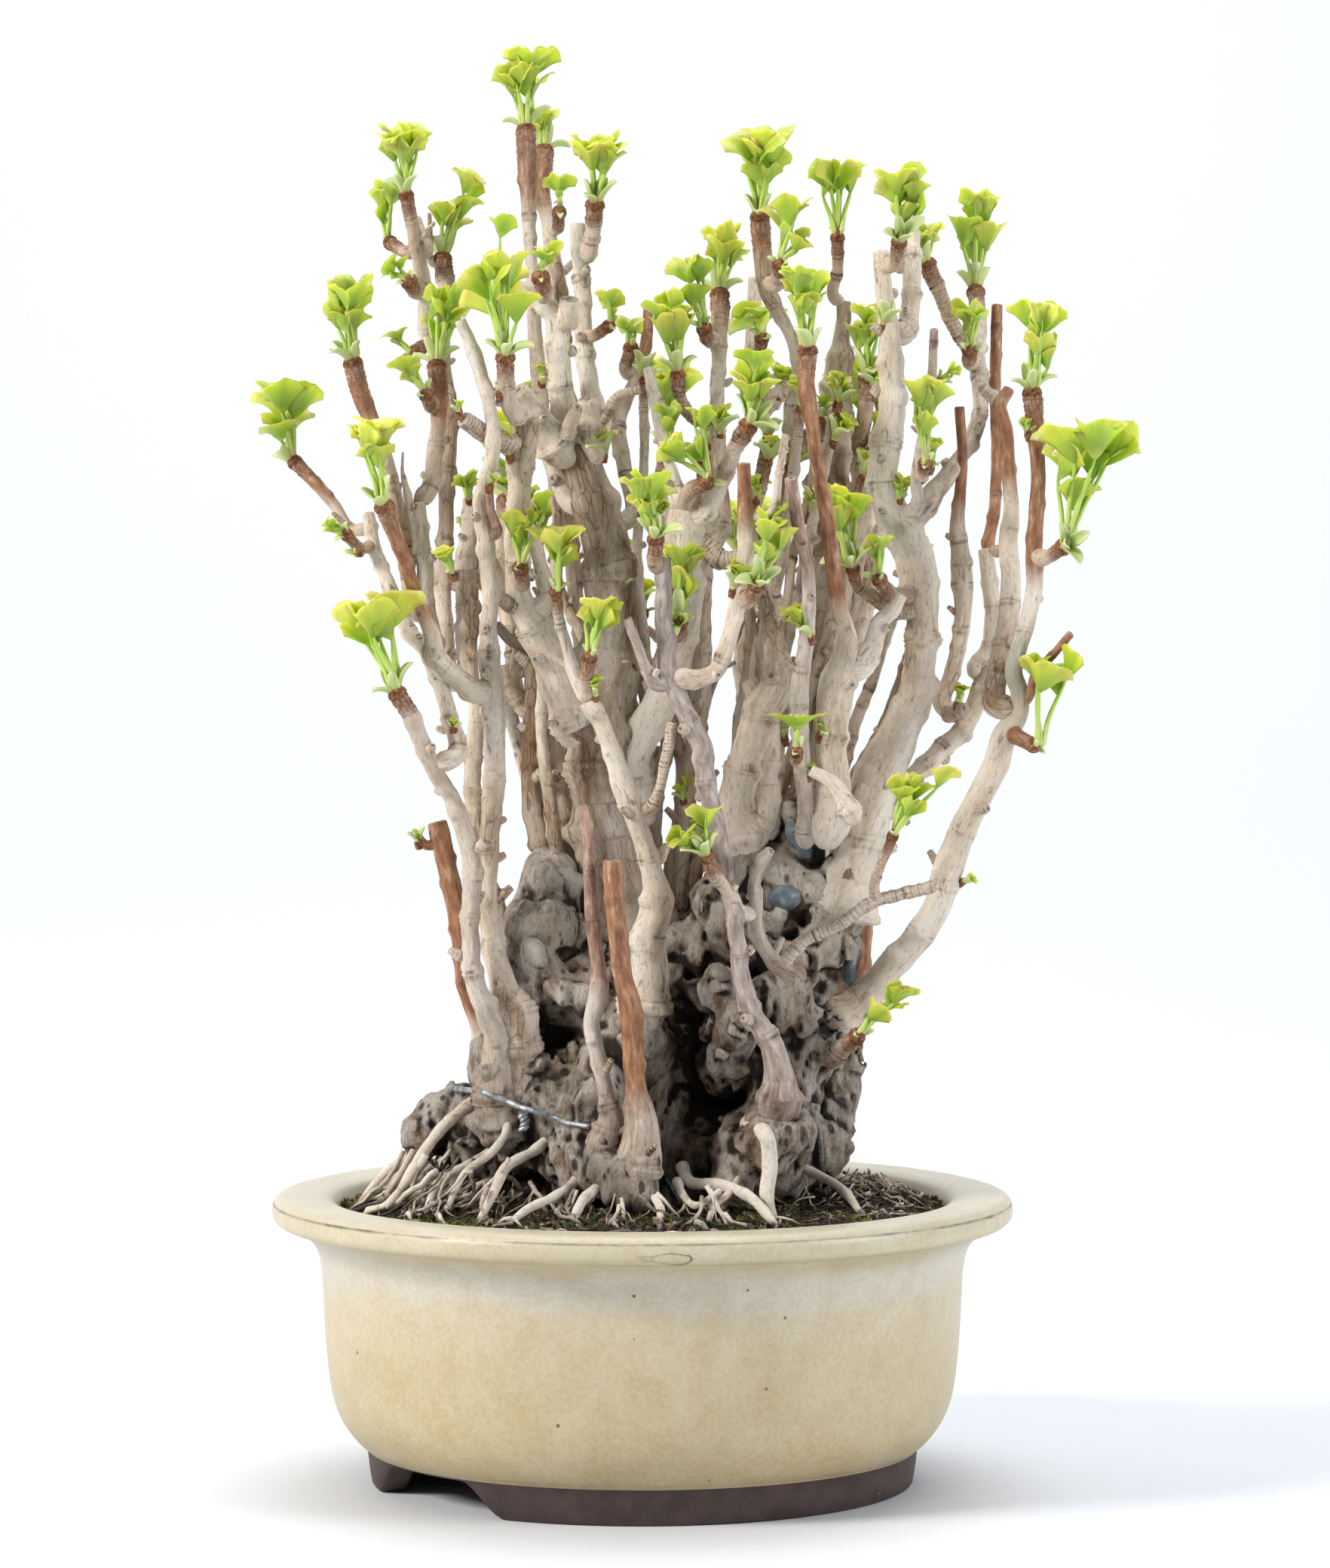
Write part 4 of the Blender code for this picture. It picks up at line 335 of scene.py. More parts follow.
# Branches: a clump of old ginkgo trunks with younger shoots, listed as they are seen from the front: name, the
# stem it grows from, its depth at each end, and points across, up and radius. The burl, roots and leaves are
# all placed from these.
EYE = (7.6, 1800.0, 304.0)
STEMS = [
    ("trunk", None, 5, 5, [(-4, 140, 17), (-4, 150, 16), (-8, 200, 14), (-12, 230, 11.5), (-13, 260, 11),
        (-11, 285, 10), (-11, 305, 9), (-14, 322, 7.5), (-18, 337, 7), (-22, 348, 6)]),
    ("knob", "trunk", 4, -8, [(-25, 347, 5.5), (-30, 352, 5), (-37, 360, 5), (-42, 367, 4.3)]),
    ("mid", "trunk", 6, -6, [(-24, 350, 4.5), (-27, 362, 4), (-28, 380, 4.2), (-30, 393, 3.6), (-37, 400, 3),
        (-42, 403, 2.2)]),
    ("mid_stub", "mid", -2, -8, [(-26, 391, 3.2), (-24.5, 398, 3)]),
    ("mid_spur", "mid", -4, -14, [(-33, 400, 2.4), (-34, 405, 2.8)]),
    ("crown_stub", "trunk", 4, 0, [(-18, 345, 5), (-17.5, 355, 4.2), (-18, 364, 4.2)]),
    ("ringed_c", "crown_stub", 3, -6, [(-14, 358, 2), (-8, 366, 1.7), (-1, 368, 1.4)]),
    ("leader", "trunk", 12, 34, [(-22, 330, 3.6), (-30, 343, 3), (-35, 375, 2.6), (-37, 405, 2.2), (-38, 425, 2.3),
        (-38.5, 442, 3.3), (-39, 454, 3.5)]),
    ("leader_b", "trunk", 14, 56, [(-22, 352, 3.4), (-27, 372, 3), (-27, 395, 2.8), (-30, 412, 2.6), (-32, 425, 2.3),
        (-34, 436, 3), (-33, 447, 3.4)]),
    ("leader_b_spur", "leader_b", 40, 30, [(-29, 422, 1.8), (-28, 427, 2.2)]),
    ("inner", "trunk", 10, 26, [(-17, 350, 4), (-18, 370, 3.2), (-20, 385, 3), (-20.5, 400, 2.8), (-21.5, 423, 2.6)]),
    ("inner_spur", "inner", 24, 14, [(-19, 413, 2.6), (-17, 419, 2.4), (-16, 429, 3)]),
    ("inner_twig", "inner", 18, 6, [(-17, 386, 1.8), (-12, 389, 2)]),
    ("back_twig", "trunk", 16, 50, [(-4, 325, 3), (-6, 342, 2.6), (-8, 358, 2.8), (-3, 370, 2.2), (1, 382, 2),
        (2, 396, 1.6)]),
    ("back_twig_spur", "back_twig", 44, 34, [(-5, 374, 2), (-4, 381, 2.4)]),
    ("pale", "trunk", -8, -15, [(-3, 225, 5), (-2, 245, 5), (3, 257, 5.5), (8, 268, 5.5), (13, 285, 5), (16, 300, 5),
        (15, 320, 6.5), (14, 328, 5)]),
    ("pale_right", "pale", -15, -30, [(20, 326, 3), (26, 336, 2.8), (31, 348, 2.6), (35, 355, 3)]),
    ("pale_low", "pale", -15, -18, [(20, 316, 3.5), (27, 311, 3), (33, 312, 2.6)]),
    ("pale_spur", "pale", -15, -30, [(16, 334, 2.6), (21, 337, 2.6)]),
    ("pale_up", "pale", -15, -2, [(13, 330, 3), (10, 340, 2.1), (7, 350, 2), (5, 362, 2.2), (2, 375, 1.7)]),
    ("pale_up_spur", "pale_up", -8, -18, [(8, 346, 1.8), (9, 349, 2)]),
    ("purple", None, -40, -42, [(44, 118, 6), (46, 128, 6), (46, 138, 4.8), (43, 148, 4), (38, 157, 3.6),
        (34, 168, 3.2), (32, 182, 3), (30, 198, 3), (27, 213, 3), (24, 226, 3), (21, 240, 3.2), (20, 248, 3.6),
        (16, 256, 3), (12, 265, 3), (9, 272, 3.2), (8, 281, 3), (7, 295, 2.7), (7, 311, 2.7)]),
    ("purple_spur", "purple", -41, -50, [(5, 309, 2.2), (4.5, 317, 2.6)]),
    ("purple_left", "purple", -41, -50, [(5, 269, 2.2), (1, 275, 1.9), (-2, 283, 1.7), (-5, 291, 1.6)]),
    ("bend", "purple", -40, -54, [(12, 271, 3), (18, 271, 2.8), (24, 273, 2.8), (28, 281, 2.8), (31, 291, 2.8),
        (33, 302, 2.8), (35, 316, 3), (35, 323, 3.4), (34.5, 332, 2.5), (34, 343, 2.3)]),
    ("bend_spur", "bend", -46, -58, [(36, 298, 2.4), (38, 302, 2.6)]),
    ("pale_mid_spur", "pale", -15, -27, [(12, 286, 2.6), (12, 290, 2.8)]),
    ("front", None, -22, -38, [(-1, 150, 8), (0, 160, 7), (2, 173, 6), (2, 185, 5), (5, 196, 5), (4, 204, 3.8),
        (1, 214, 3.4), (-3, 226, 3.4), (-7, 236, 3.8), (-10, 246, 3), (-14, 256, 3), (-18, 263, 3.4)]),
    ("front_tip", "front", -38, -40, [(-22, 270, 2.2), (-25, 280, 1.9), (-28, 291, 1.8), (-29, 299, 2)]),
    ("front_spur", "front", -38, -46, [(-19, 270, 2), (-18, 277, 2.4)]),
    ("front_ringed", "front", -36, -42, [(3, 228, 1.9), (6, 235, 1.8), (8, 245, 1.8), (10, 256, 1.8)]),
    ("orange_a", None, -46, -50, [(-13, 106, 5), (-13, 114, 5), (-11, 122, 4), (-12, 130, 2.8), (-15, 143, 2.7),
        (-17, 155, 2.7), (-15, 164, 3.2), (-15, 172, 2.6), (-17, 190, 2.3), (-18, 208, 2), (-18.5, 220, 2),
        (-20, 228, 1.6)]),
    ("orange_b", None, -52, -54, [(-3, 98, 7), (-1, 112, 6), (-1, 125, 5), (-2, 131, 3.8), (-3.5, 147, 3.5),
        (-4, 159, 3.8), (-6, 168, 3.3), (-8, 182, 3.2), (-9.5, 197, 3.3), (-10, 209, 3.2)]),
    ("left", None, -18, -34, [(-43, 122, 9), (-43, 128, 8), (-43, 142, 7), (-44, 157, 8.5), (-47, 168, 5),
        (-50, 182, 4), (-52.5, 196, 3.6), (-52, 212, 3.4), (-50.5, 228, 3.4), (-50, 245, 3.4), (-50, 262, 3.8),
        (-50.5, 271, 4), (-52, 285, 3), (-51, 298, 2.8), (-52, 312, 2.8), (-54, 330, 2.6), (-50, 350, 2.4),
        (-52, 365, 2.2), (-55, 376, 2.2), (-61, 391, 2)]),
    ("left_bud", "left", -28, -36, [(-49.5, 320, 1.8), (-51, 328, 1.5), (-51.5, 336, 1.4)]),
    ("left_out", "left", -24, -66, [(-56, 267, 3.6), (-63, 272, 3.6), (-70, 279, 3.8), (-70.5, 284, 3),
        (-73, 291, 2.5), (-77, 301, 2.4), (-80, 311, 2.4), (-84, 321, 2.7), (-86.5, 328, 3.2)]),
    ("far_left", None, -22, -48, [(-48, 122, 8), (-50, 130, 6), (-49, 145, 4), (-52, 158, 3.6), (-57, 170, 3.4),
        (-58, 182, 3.2), (-57.5, 196, 3.2), (-57.5, 210, 3.4), (-60, 219, 3.2), (-64, 230, 3), (-69, 238, 3),
        (-73, 247, 2.8), (-77, 256, 2.8), (-82, 265, 3)]),
    ("far_left_up", "far_left", -34, -10, [(-63, 245, 3), (-65, 258, 2.8), (-69, 272, 2.8), (-74, 282, 2.7),
        (-78, 286, 2.6), (-81, 293, 2.6), (-84, 299, 2.8), (-87, 307, 2.5), (-90, 314, 2.5), (-92, 326, 2.2)]),
    ("far_left_out", "far_left_up", -10, -2, [(-97, 321, 1.9), (-104, 330, 1.9), (-110, 337, 2.1), (-116, 343, 2.4)]),
    ("far_left_spur", "far_left_up", -14, -28, [(-95, 315, 1.8), (-99, 319, 2)]),
    ("left_back", None, 0, 22, [(-45, 180, 3.4), (-54, 210, 3), (-57, 228, 2.8), (-57, 245, 2.8), (-56, 262, 2.7),
        (-59, 278, 3.4), (-59, 292, 3.8), (-59, 305, 3.9), (-58, 320, 3.2), (-57.5, 331, 2.9)]),
    ("left_b", "left_back", 8, 2, [(-66, 270, 2.8), (-70, 285, 2.6), (-73, 300, 2.6), (-73, 310, 2.8),
        (-74.5, 320, 2.6), (-76, 330, 3)]),
    ("left_c", "left_b", 2, 18, [(-72, 334, 2.6), (-70, 345, 2.8), (-68.5, 358, 2.6), (-68.5, 368, 3.2),
        (-69, 375, 3.2)]),
    ("left_c_spur", "left_c", 14, 4, [(-71, 363, 2), (-72.5, 366, 2.2)]),
    ("left_grey", "left_back", 16, 52, [(-63, 270, 2.8), (-66, 285, 2.8), (-67, 305, 2.8), (-66, 325, 2.7),
        (-65, 345, 2.6), (-64, 360, 2.3), (-67, 380, 2.3), (-66, 402, 3), (-67, 411, 3.2)]),
    ("left_top", "left_grey", 44, 30, [(-69, 383, 2.8), (-73, 400, 2.8), (-75, 412, 2.6), (-77, 423, 2.4),
        (-79, 432, 2.4)]),
    ("left_top_spur", "left_top", 36, 26, [(-76, 401, 2.4), (-78, 404, 2.6)]),
    ("left_top_side", "left_top", 34, 46, [(-79, 414, 2), (-84, 417, 2.2)]),
    ("left_top_stub", "left_top", 36, 42, [(-74, 414, 2.3), (-76, 425, 2.1)]),
    ("left_top_low", "left_top", 44, 32, [(-73, 383, 2), (-76, 381, 2.2)]),
    ("left_k", "left_b", 6, -14, [(-76, 293, 2.4), (-78, 300, 2.4), (-80, 315, 2.4), (-83, 332, 2.4), (-88, 350, 2.6),
        (-92, 360, 2.8), (-95, 368, 3.2), (-97, 376, 3.3)]),
    ("arm", "trunk", -4, -24, [(-20, 255, 7), (-26, 265, 6), (-31, 277, 5.5), (-36, 288, 5.5), (-41, 296, 4.5),
        (-42, 310, 4), (-42, 320, 4), (-41, 340, 4), (-40, 350, 5), (-38, 358, 4)]),
    ("arm_left", "arm", -20, -34, [(-48, 351, 3.2), (-54, 354, 3), (-60, 358, 2.8)]),
    ("arm_ringed", "arm", -14, -30, [(-44, 296, 2.4), (-48, 298, 2.3), (-52, 302, 2.3), (-57, 305, 2.2),
        (-62, 306, 1.9)]),
    ("arm_spur", "arm", -14, -28, [(-41, 303, 2.4), (-41, 308, 2.4)]),
    ("arm_inner", "arm", -12, -8, [(-33, 296, 3), (-35, 312, 2.2), (-38, 322, 2)]),
    ("arm_top", "arm", -24, -38, [(-44, 362, 2.8), (-46, 370, 2.8), (-46, 378, 3)]),
    ("shade", "trunk", 10, 26, [(-20, 190, 4.4), (-28, 204, 4), (-34, 215, 3.6), (-36, 222, 3.6), (-37.5, 240, 3.2),
        (-37, 258, 3.2), (-36.5, 270, 3), (-37, 281, 2.8), (-44, 284, 2), (-49, 289, 1.8)]),
    ("shade_side", "shade", 22, 18, [(-39, 260, 2), (-44, 266, 2), (-47, 275, 1.8)]),
    ("brown_cut", None, -10, -2, [(-50, 132, 4), (-52, 140, 3), (-56, 155, 2.6), (-60, 168, 2.7), (-61, 180, 3),
        (-63, 195, 3.5), (-66, 209, 3.3), (-69, 222, 3.3)]),
    ("brown_bud", "brown_cut", -2, -4, [(-73, 215, 1.6), (-76, 218, 1.5)]),
    ("dead", None, -16, -48, [(48, 164, 6), (50, 170, 4), (44, 176, 2.8), (39, 184, 2.4), (38, 196, 2.3),
        (39, 207, 2.2), (43, 213, 1.7)]),
    ("dead_left", "dead", -46, -52, [(34, 192, 2.2), (29, 199, 2.2), (24, 205, 2.3), (22, 210, 2.2)]),
    ("ringed_r", "dead", -44, -30, [(55, 183, 2.2), (66, 188, 2.1), (76, 195, 2.1), (86, 198, 2), (98, 201, 2.2)]),
    ("ringed_r_up", "ringed_r", -38, -40, [(78, 200, 1.6), (80, 207, 1.5), (84, 217, 1.8)]),
    ("right_low", None, -14, -34, [(62, 142, 4), (67, 146, 2.8), (72, 150, 2.6)]),
    ("right", None, -4, -30, [(60, 150, 8), (66, 158, 7), (74, 163, 5.5), (84, 174, 5), (93, 184, 4.8),
        (100, 196, 4.8), (103, 207, 5), (108, 220, 4.5), (114, 232, 4.5), (119, 242, 4.2), (122, 252, 4),
        (126, 258, 3.4), (127, 266, 3), (125, 273, 2.8), (127, 282, 2.8), (130, 292, 2.8), (132, 302, 2.8),
        (131.5, 313, 2.7), (132.5, 327, 2.6), (133, 342, 2.5), (132, 356, 2.9), (131, 366, 3.4)]),
    ("right_in", "right", -8, 16, [(120, 262, 3.6), (120, 276, 3.4), (123, 290, 3.5), (124, 305, 3.3),
        (123, 316, 3.2), (124, 328, 2.6), (123, 342, 2.5), (122, 355, 2.4), (120, 363, 2.4), (123, 368, 2)]),
    ("right_link", "right_in", 14, 18, [(116, 367, 2), (113, 371, 2)]),
    ("stout", None, -8, -4, [(64, 184, 9), (68, 195, 9), (72, 210, 9), (76, 228, 9), (82, 243, 7.5), (88, 256, 6.6),
        (92, 267, 5.8), (93.5, 280, 5.2), (94, 296, 5.8), (91, 312, 6.5), (85, 324, 6), (81, 336, 5.2),
        (82, 350, 5.2), (83.5, 362, 4.4), (83, 384, 4), (82, 393, 3.2), (81, 403, 2.9), (80, 414, 2.8)]),
    ("right_dark", "stout", 4, 18, [(84, 228, 4), (92, 238, 3.5), (100, 246, 3.4), (108, 254, 3.3), (113, 266, 3.3),
        (117, 276, 3.3)]),
    ("right_cut", "right_dark", 14, 26, [(113, 273, 2.8), (117, 282, 2.8), (118, 292, 2.8), (117, 303, 2.6),
        (115.5, 314, 2.5)]),
    ("right_red", "right_cut", 26, 52, [(118, 325, 2), (119, 340, 1.9), (118.5, 370, 1.9), (119, 396, 1.9)]),
    ("right_twig", "right", -12, -30, [(128, 264, 1.6), (133, 274, 1.5), (138, 279, 1.4), (144, 286, 1.4)]),
    ("right_side", "right", -8, -26, [(127, 251, 2.4), (131, 249, 2.4)]),
    ("right_spur", "right", -20, -40, [(136, 312, 2.2), (141, 315, 2.6)]),
    ("inner_r", "right_dark", 12, 10, [(101, 262, 2.8), (104, 272, 2.6), (107, 285, 2.6), (108, 296, 3),
        (107.5, 304, 3.6), (107, 313, 3.2), (106, 322, 2.6), (107, 335, 2), (107.5, 345, 1.9), (106.5, 362, 1.7)]),
    ("inner_r_ringed", "inner_r", 12, -4, [(103, 259, 2.3), (108, 261, 2.2)]),
    ("stout_side", "stout", -4, 16, [(88, 387, 3.4), (90, 395, 3.2), (90.5, 408, 3.2), (90, 421, 3)]),
    ("stout_spur", "stout", -4, -18, [(84, 410, 2.2), (86, 417, 2.4)]),
    ("stick", "stout", -12, -44, [(92, 328, 2.2), (92, 338, 1.9), (94, 352, 1.7), (97, 370, 1.6), (98, 388, 1.4)]),
    ("stick_spur", "stick", -24, -38, [(94, 339, 1.8), (95, 343, 2.2)]),
    ("lichen", "stout", -4, 34, [(92, 326, 4), (96, 331, 3.8), (101, 337, 3.2), (106, 344, 2.6), (111, 352, 2.8),
        (113.5, 362, 2.5), (113, 372, 2.8), (112, 379, 3)]),
    ("lichen_up", "lichen", 34, 54, [(113, 388, 2.6), (112, 400, 2.8)]),
    ("lichen_spur", "lichen", 32, 16, [(110, 377, 2.2), (110, 381, 2.4)]),
    ("lichen_left", "lichen", 34, 22, [(105, 389, 2.3), (100, 400, 2.5), (96, 409, 3)]),
    ("stout_ringed", "stout", -12, -30, [(85, 299, 2.6), (82, 301, 2.4), (80, 304, 2.4)]),
    ("stout_ringed_far", "stout", -10, -26, [(84, 294, 2.4), (77, 299, 2.2), (72, 303, 2), (71, 307, 2.2)]),
    ("new_r", None, -16, -56, [(62, 214, 6), (64, 230, 5.5), (64, 250, 5.2), (65, 266, 6), (68, 277, 5),
        (69, 284, 3.6), (67, 292, 2.8), (64, 310, 2.6), (62, 325, 2.5), (59, 342, 2.4), (57, 356, 2.4), (55, 370, 3),
        (55.5, 380, 3.2)]),
    ("new_r_side", "new_r", -34, -30, [(72, 275, 4), (77, 281, 3.4), (80, 290, 3), (84, 294, 2.6), (87, 299, 2)]),
    ("old", None, 14, 48, [(54, 196, 7), (56, 230, 6), (58, 260, 6), (60, 290, 6.2), (61, 320, 6.4), (63, 345, 6.5),
        (65, 362, 5.5), (66, 376, 4.6), (67, 386, 2.8), (67.5, 397, 2.4)]),
    ("old_tip", "old", 46, 36, [(64.5, 399, 1.8), (65.5, 408, 1.9), (65.5, 418, 2.2)]),
    ("old_side", "old", 34, 20, [(72, 335, 2.4), (73, 350, 2.4), (75, 362, 2.8), (75.5, 371, 2.8)]),
    ("inner_n", "pale_low", -6, 24, [(26, 320, 2.6), (26, 340, 2.5), (25, 360, 2.4), (25.5, 375, 2.4), (26, 388, 3),
        (26, 399, 3.2)]),
    ("inner_n_spur", "inner_n", 20, 8, [(22, 385, 2.2), (21, 388, 2.4)]),
    ("inner_n_low", "inner_n", 12, 0, [(18, 358, 2), (13, 364, 2.2), (12, 372, 2.4)]),
    ("tall_m", "old", 36, 8, [(52, 350, 3), (50, 362, 2.4), (52, 375, 2), (49, 388, 2), (45, 395, 2.4), (42, 402, 3),
        (40.5, 413, 3.2), (39.5, 425, 3.3)]),
    ("tall_m_spur", "tall_m", 16, -8, [(45, 404, 2.2), (46, 410, 2.4)]),
    ("arch", "old", 44, 62, [(54, 362, 3), (50, 368, 3.4), (45, 366, 3.2), (40, 360, 3)]),
    ("arch_up", "arch", 58, 72, [(37, 366, 2.6), (37, 385, 2.4), (38, 405, 2.4)]),
    ("arch_spur", "arch_up", 64, 54, [(39, 381, 2), (40, 385, 2.2)]),
    ("mid_r", None, -2, -6, [(34, 205, 7), (34, 215, 7), (32, 230, 6), (35, 245, 6), (40, 258, 6), (46, 270, 5.5),
        (45, 280, 4), (42, 295, 3), (40, 302, 2.6)]),
    ("mid_r_side", "mid_r", -4, 2, [(40, 222, 5), (41, 238, 4.6), (42, 255, 4.4), (36, 270, 3)]),
    ("front_r", None, -16, -60, [(55, 214, 3.2), (55, 226, 2.8), (54, 240, 3), (53, 255, 3), (53, 270, 3),
        (55, 282, 2.6), (56, 303, 2.4), (55, 312, 2.3), (52, 325, 2.2), (50, 338, 2.2)]),
    ("front_r_spur", "front_r", -28, -40, [(52, 243, 1.8), (52, 246, 2)]),
    ("tan_back", None, 22, 40, [(60, 108, 6), (62, 118, 5), (64, 132, 4.2), (68, 150, 3.8), (73, 172, 3.2),
        (75, 192, 3), (77, 212, 2.6)]),
    ("rear_a", "trunk", 12, 86, [(-4, 246, 4.4), (4, 266, 4), (10, 290, 3.6), (6, 318, 3.2), (8, 346, 3)]),
    ("rear_b", "shade", 26, 84, [(-38, 262, 2.8), (-44, 284, 2.8), (-48, 308, 2.8), (-46, 330, 3)]),
    ("rear_c", "old", 20, 84, [(64, 268, 4), (74, 290, 3.6), (76, 318, 3.2), (72, 346, 3)]),
    ("rear_d", None, 24, 92, [(20, 176, 7), (24, 198, 5), (34, 226, 4.4), (38, 250, 3.8), (34, 276, 3.4),
        (36, 300, 3.2)]),
]


def unit(vector):
    """The vector at length one."""
    vector = np.asarray(vector, float)
    return vector / max(float(norm(vector)), 1e-9)


def seen(across, up, depth):
    """Where a point seen at across and up lies when it is depth behind the middle of the pot."""
    grow = (EYE[1] + depth) / EYE[1]
    return np.array((EYE[0] + (across - EYE[0]) * grow, depth, EYE[2] + (up - EYE[2]) * grow))


def lay_stems():
    """The line of every stem as rows of x, y, z and radius, each starting inside the stem it grows from."""
    views = {}
    lines = {}
    for name, parent, near, far, points in STEMS:
        rows = [list(point) for point in points]
        if parent:
            best = None
            for start, end in zip(views[parent][:-1], views[parent][1:]):
                step = end[:2] - start[:2]
                share = float(np.dot(np.array(rows[0][:2]) - start[:2], step) / max(float(step @ step), 1e-9))
                spot = start + (end - start) * min(max(share, 0.0), 1.0)
                gap = float(np.hypot(*(spot[:2] - np.array(rows[0][:2]))))
                if best is None or gap < best[0]:
                    best = (gap, spot)
            near = best[1][2]
            rows.insert(0, [best[1][0], best[1][1], rows[0][2]])
        flat = np.array(rows, float)
        walked = np.concatenate([[0.0], np.cumsum(np.hypot(*np.diff(flat[:, :2], axis=0).T))])
        depths = near + (far - near) * walked / walked[-1]
        views[name] = np.column_stack([flat[:, 0], flat[:, 1], depths])
        lines[name] = np.array([[*seen(a, u, d), r * (EYE[1] + d) / EYE[1]] for (a, u, r), d in zip(rows, depths)])
    return lines


stem_lines = lay_stems()

# Burl: the swollen, warty base where old trunks have fused. Wood and bark bulge between cracks and two dark
# hollows. It is modelled as one field of distances, in which lumps and stems melt together, and then skinned.
BURL_LUMPS = [(-45, 140, -8, 14), (-38, 122, -8, 18), (-52, 120, -4, 11), (-61, 127, 0, 9), (-68, 124, -2, 9),
    (-75, 117, -4, 8), (-57, 111, -4, 10), (-20, 130, -20, 20), (-14, 110, -28, 20), (-5, 150, -10, 18),
    (-12, 105, -44, 10), (-4, 104, -50, 9), (14, 135, 20, 18), (14, 114, 16, 18), (38, 114, -14, 14),
    (45, 122, -34, 11), (56, 149, -12, 12), (30, 142, -6, 13), (56, 114, -6, 14), (62, 126, -2, 11), (60, 141, 4, 14),
    (67, 158, -2, 9), (23, 160, -14, 11), (-8, 165, 4, 20), (16, 178, 6, 15), (20, 150, 30, 24), (-20, 148, 24, 24),
    (48, 138, 26, 20), (-12, 118, 32, 23), (40, 112, 30, 20), (30, 176, 26, 17), (-14, 182, 22, 14),
    (46, 160, -14, 12), (-34, 185, -8, 15), (-36, 170, -6, 16), (-30, 200, -2, 11), (-42, 160, -8, 12),
    (-25, 165, -14, 13), (46, 162, -18, 12), (52, 176, -6, 13), (40, 184, -2, 16), (62, 180, -4, 11),
    (60, 197, -6, 10), (46, 202, -2, 12), (28, 192, 2, 14), (34, 214, -2, 8), (69, 206, -8, 8), (70, 222, -12, 6),
    (62, 222, -10, 6), (52, 188, 14, 11), (60, 160, 0, 14)]
BURL_CORE = [((-4, 96, 6), (0, 176, 10), 22), ((-34, 140, 2), (-32, 206, 0), 9), ((50, 140, 2), (54, 222, 0), 9),
    ((-58, 98, 4), (54, 98, 4), 13), ((-40, 112, 4), (50, 112, 6), 15), ((-20, 100, 26), (36, 100, 26), 20),
    ((-56, 104, -4), (-44, 150, -4), 9), ((44, 106, -14), (52, 150, -10), 13)]
HOLLOWS = [((15, 104, -52), (18, 128, -18), 8.5), ((13, 126, -44), (15, 160, -14), 7.5),
    ((14, 150, -40), (16, 178, -16), 5.5), ((-31, 122, -44), (-29, 156, -22), 6.5),
    ((-24, 158, -40), (-22, 176, -22), 5.0), ((31, 168, -44), (30, 190, -20), 3.5),
    ((63, 150, -30), (64, 160, 6), 2.2)]
SWELLINGS = [(34, 108, -40, 9), (42, 116, -41, 10), (30, 97, -44, 8), (26, 166, -30, 8.5), (33, 154, -34, 9),
    (29, 143, -32, 8), (50, 118, -38, 9), (-36, 176, -20, 6), (-28, 192, -14, 5)]
FIELD_STEP = 1.21
FIELD_LOW = np.array((-100.0, -80.0, 82.0))
FIELD_HIGH = np.array((100.0, 82.0, 236.0))
field = np.full(tuple(np.ceil((FIELD_HIGH - FIELD_LOW) / FIELD_STEP).astype(int)), 20.0, np.float32)


def near_cells(start, end, radius, reach):
    """The part of the field within reach of a rod, and the rod's distance there."""
    low = np.minimum(start, end) - radius - reach
    high = np.maximum(start, end) + radius + reach
    first = np.clip(((low - FIELD_LOW) / FIELD_STEP).astype(int), 0, field.shape)
    last = np.clip(((high - FIELD_LOW) / FIELD_STEP).astype(int) + 2, 0, field.shape)
    span = tuple(slice(a, b) for a, b in zip(first, last))
    axes = [FIELD_LOW[k] + FIELD_STEP * np.arange(first[k], last[k]) for k in range(3)]
    x, y, z = np.meshgrid(*axes, indexing="ij", sparse=True)
    return span, x, y, z


def melt_in(start, end, radius, far_radius, melt, sign=1):
    """Joins a rod or ball to the field, or with sign -1 cuts it out, with a fillet of about melt."""
    start, end = np.asarray(start, float), np.asarray(end, float)
    span, x, y, z = near_cells(start, end, max(radius, far_radius), melt + 3.0)
    if 0 in field[span].shape:
        return
    line = end - start
    size = max(float(line @ line), 1e-9)
    share = np.clip(((x - start[0]) * line[0] + (y - start[1]) * line[1] + (z - start[2]) * line[2]) / size, 0, 1)
    away = np.sqrt((x - start[0] - share * line[0]) ** 2 + (y - start[1] - share * line[1]) ** 2
        + (z - start[2] - share * line[2]) ** 2) - (radius + (far_radius - radius) * share)
    here = field[span] * sign
    soft = np.maximum(melt - np.abs(here - away), 0) / melt
    field[span] = sign * (np.minimum(here, away) - soft * soft * melt / 4)


for low, high, radius in BURL_CORE:
    melt_in(seen(*low), seen(*high), radius, radius, 6.0)
for across, up, depth, radius in BURL_LUMPS:
    spot = seen(across, up, depth)
    melt_in(spot, spot, radius, radius, 3.0)
for start, end, radius in HOLLOWS:
    melt_in(seen(*start), seen(*end), radius, radius, 4.0, -1)
for across, up, depth, radius in SWELLINGS:
    spot = seen(across, up, depth)
    melt_in(spot, spot, radius, radius, 3.0)
for name, line in stem_lines.items():
    walked = 0.0
    low_end = 127 if name in ("orange_a", "orange_b", "purple") else 152
    for start, end in zip(line[:-1], line[1:]):
        base = 1.0 + 0.35 * exp(-walked / 9.0)
        walked += float(norm(end[:3] - start[:3]))
        tip = 0.9 + 0.45 * exp(-walked / 9.0)
        if end[2] < low_end or (end[2] < 222 and end[3] > 6.5):
            melt_in(start[:3], end[:3], start[3] * base * 0.93, end[3] * tip * 0.93, 4.0)


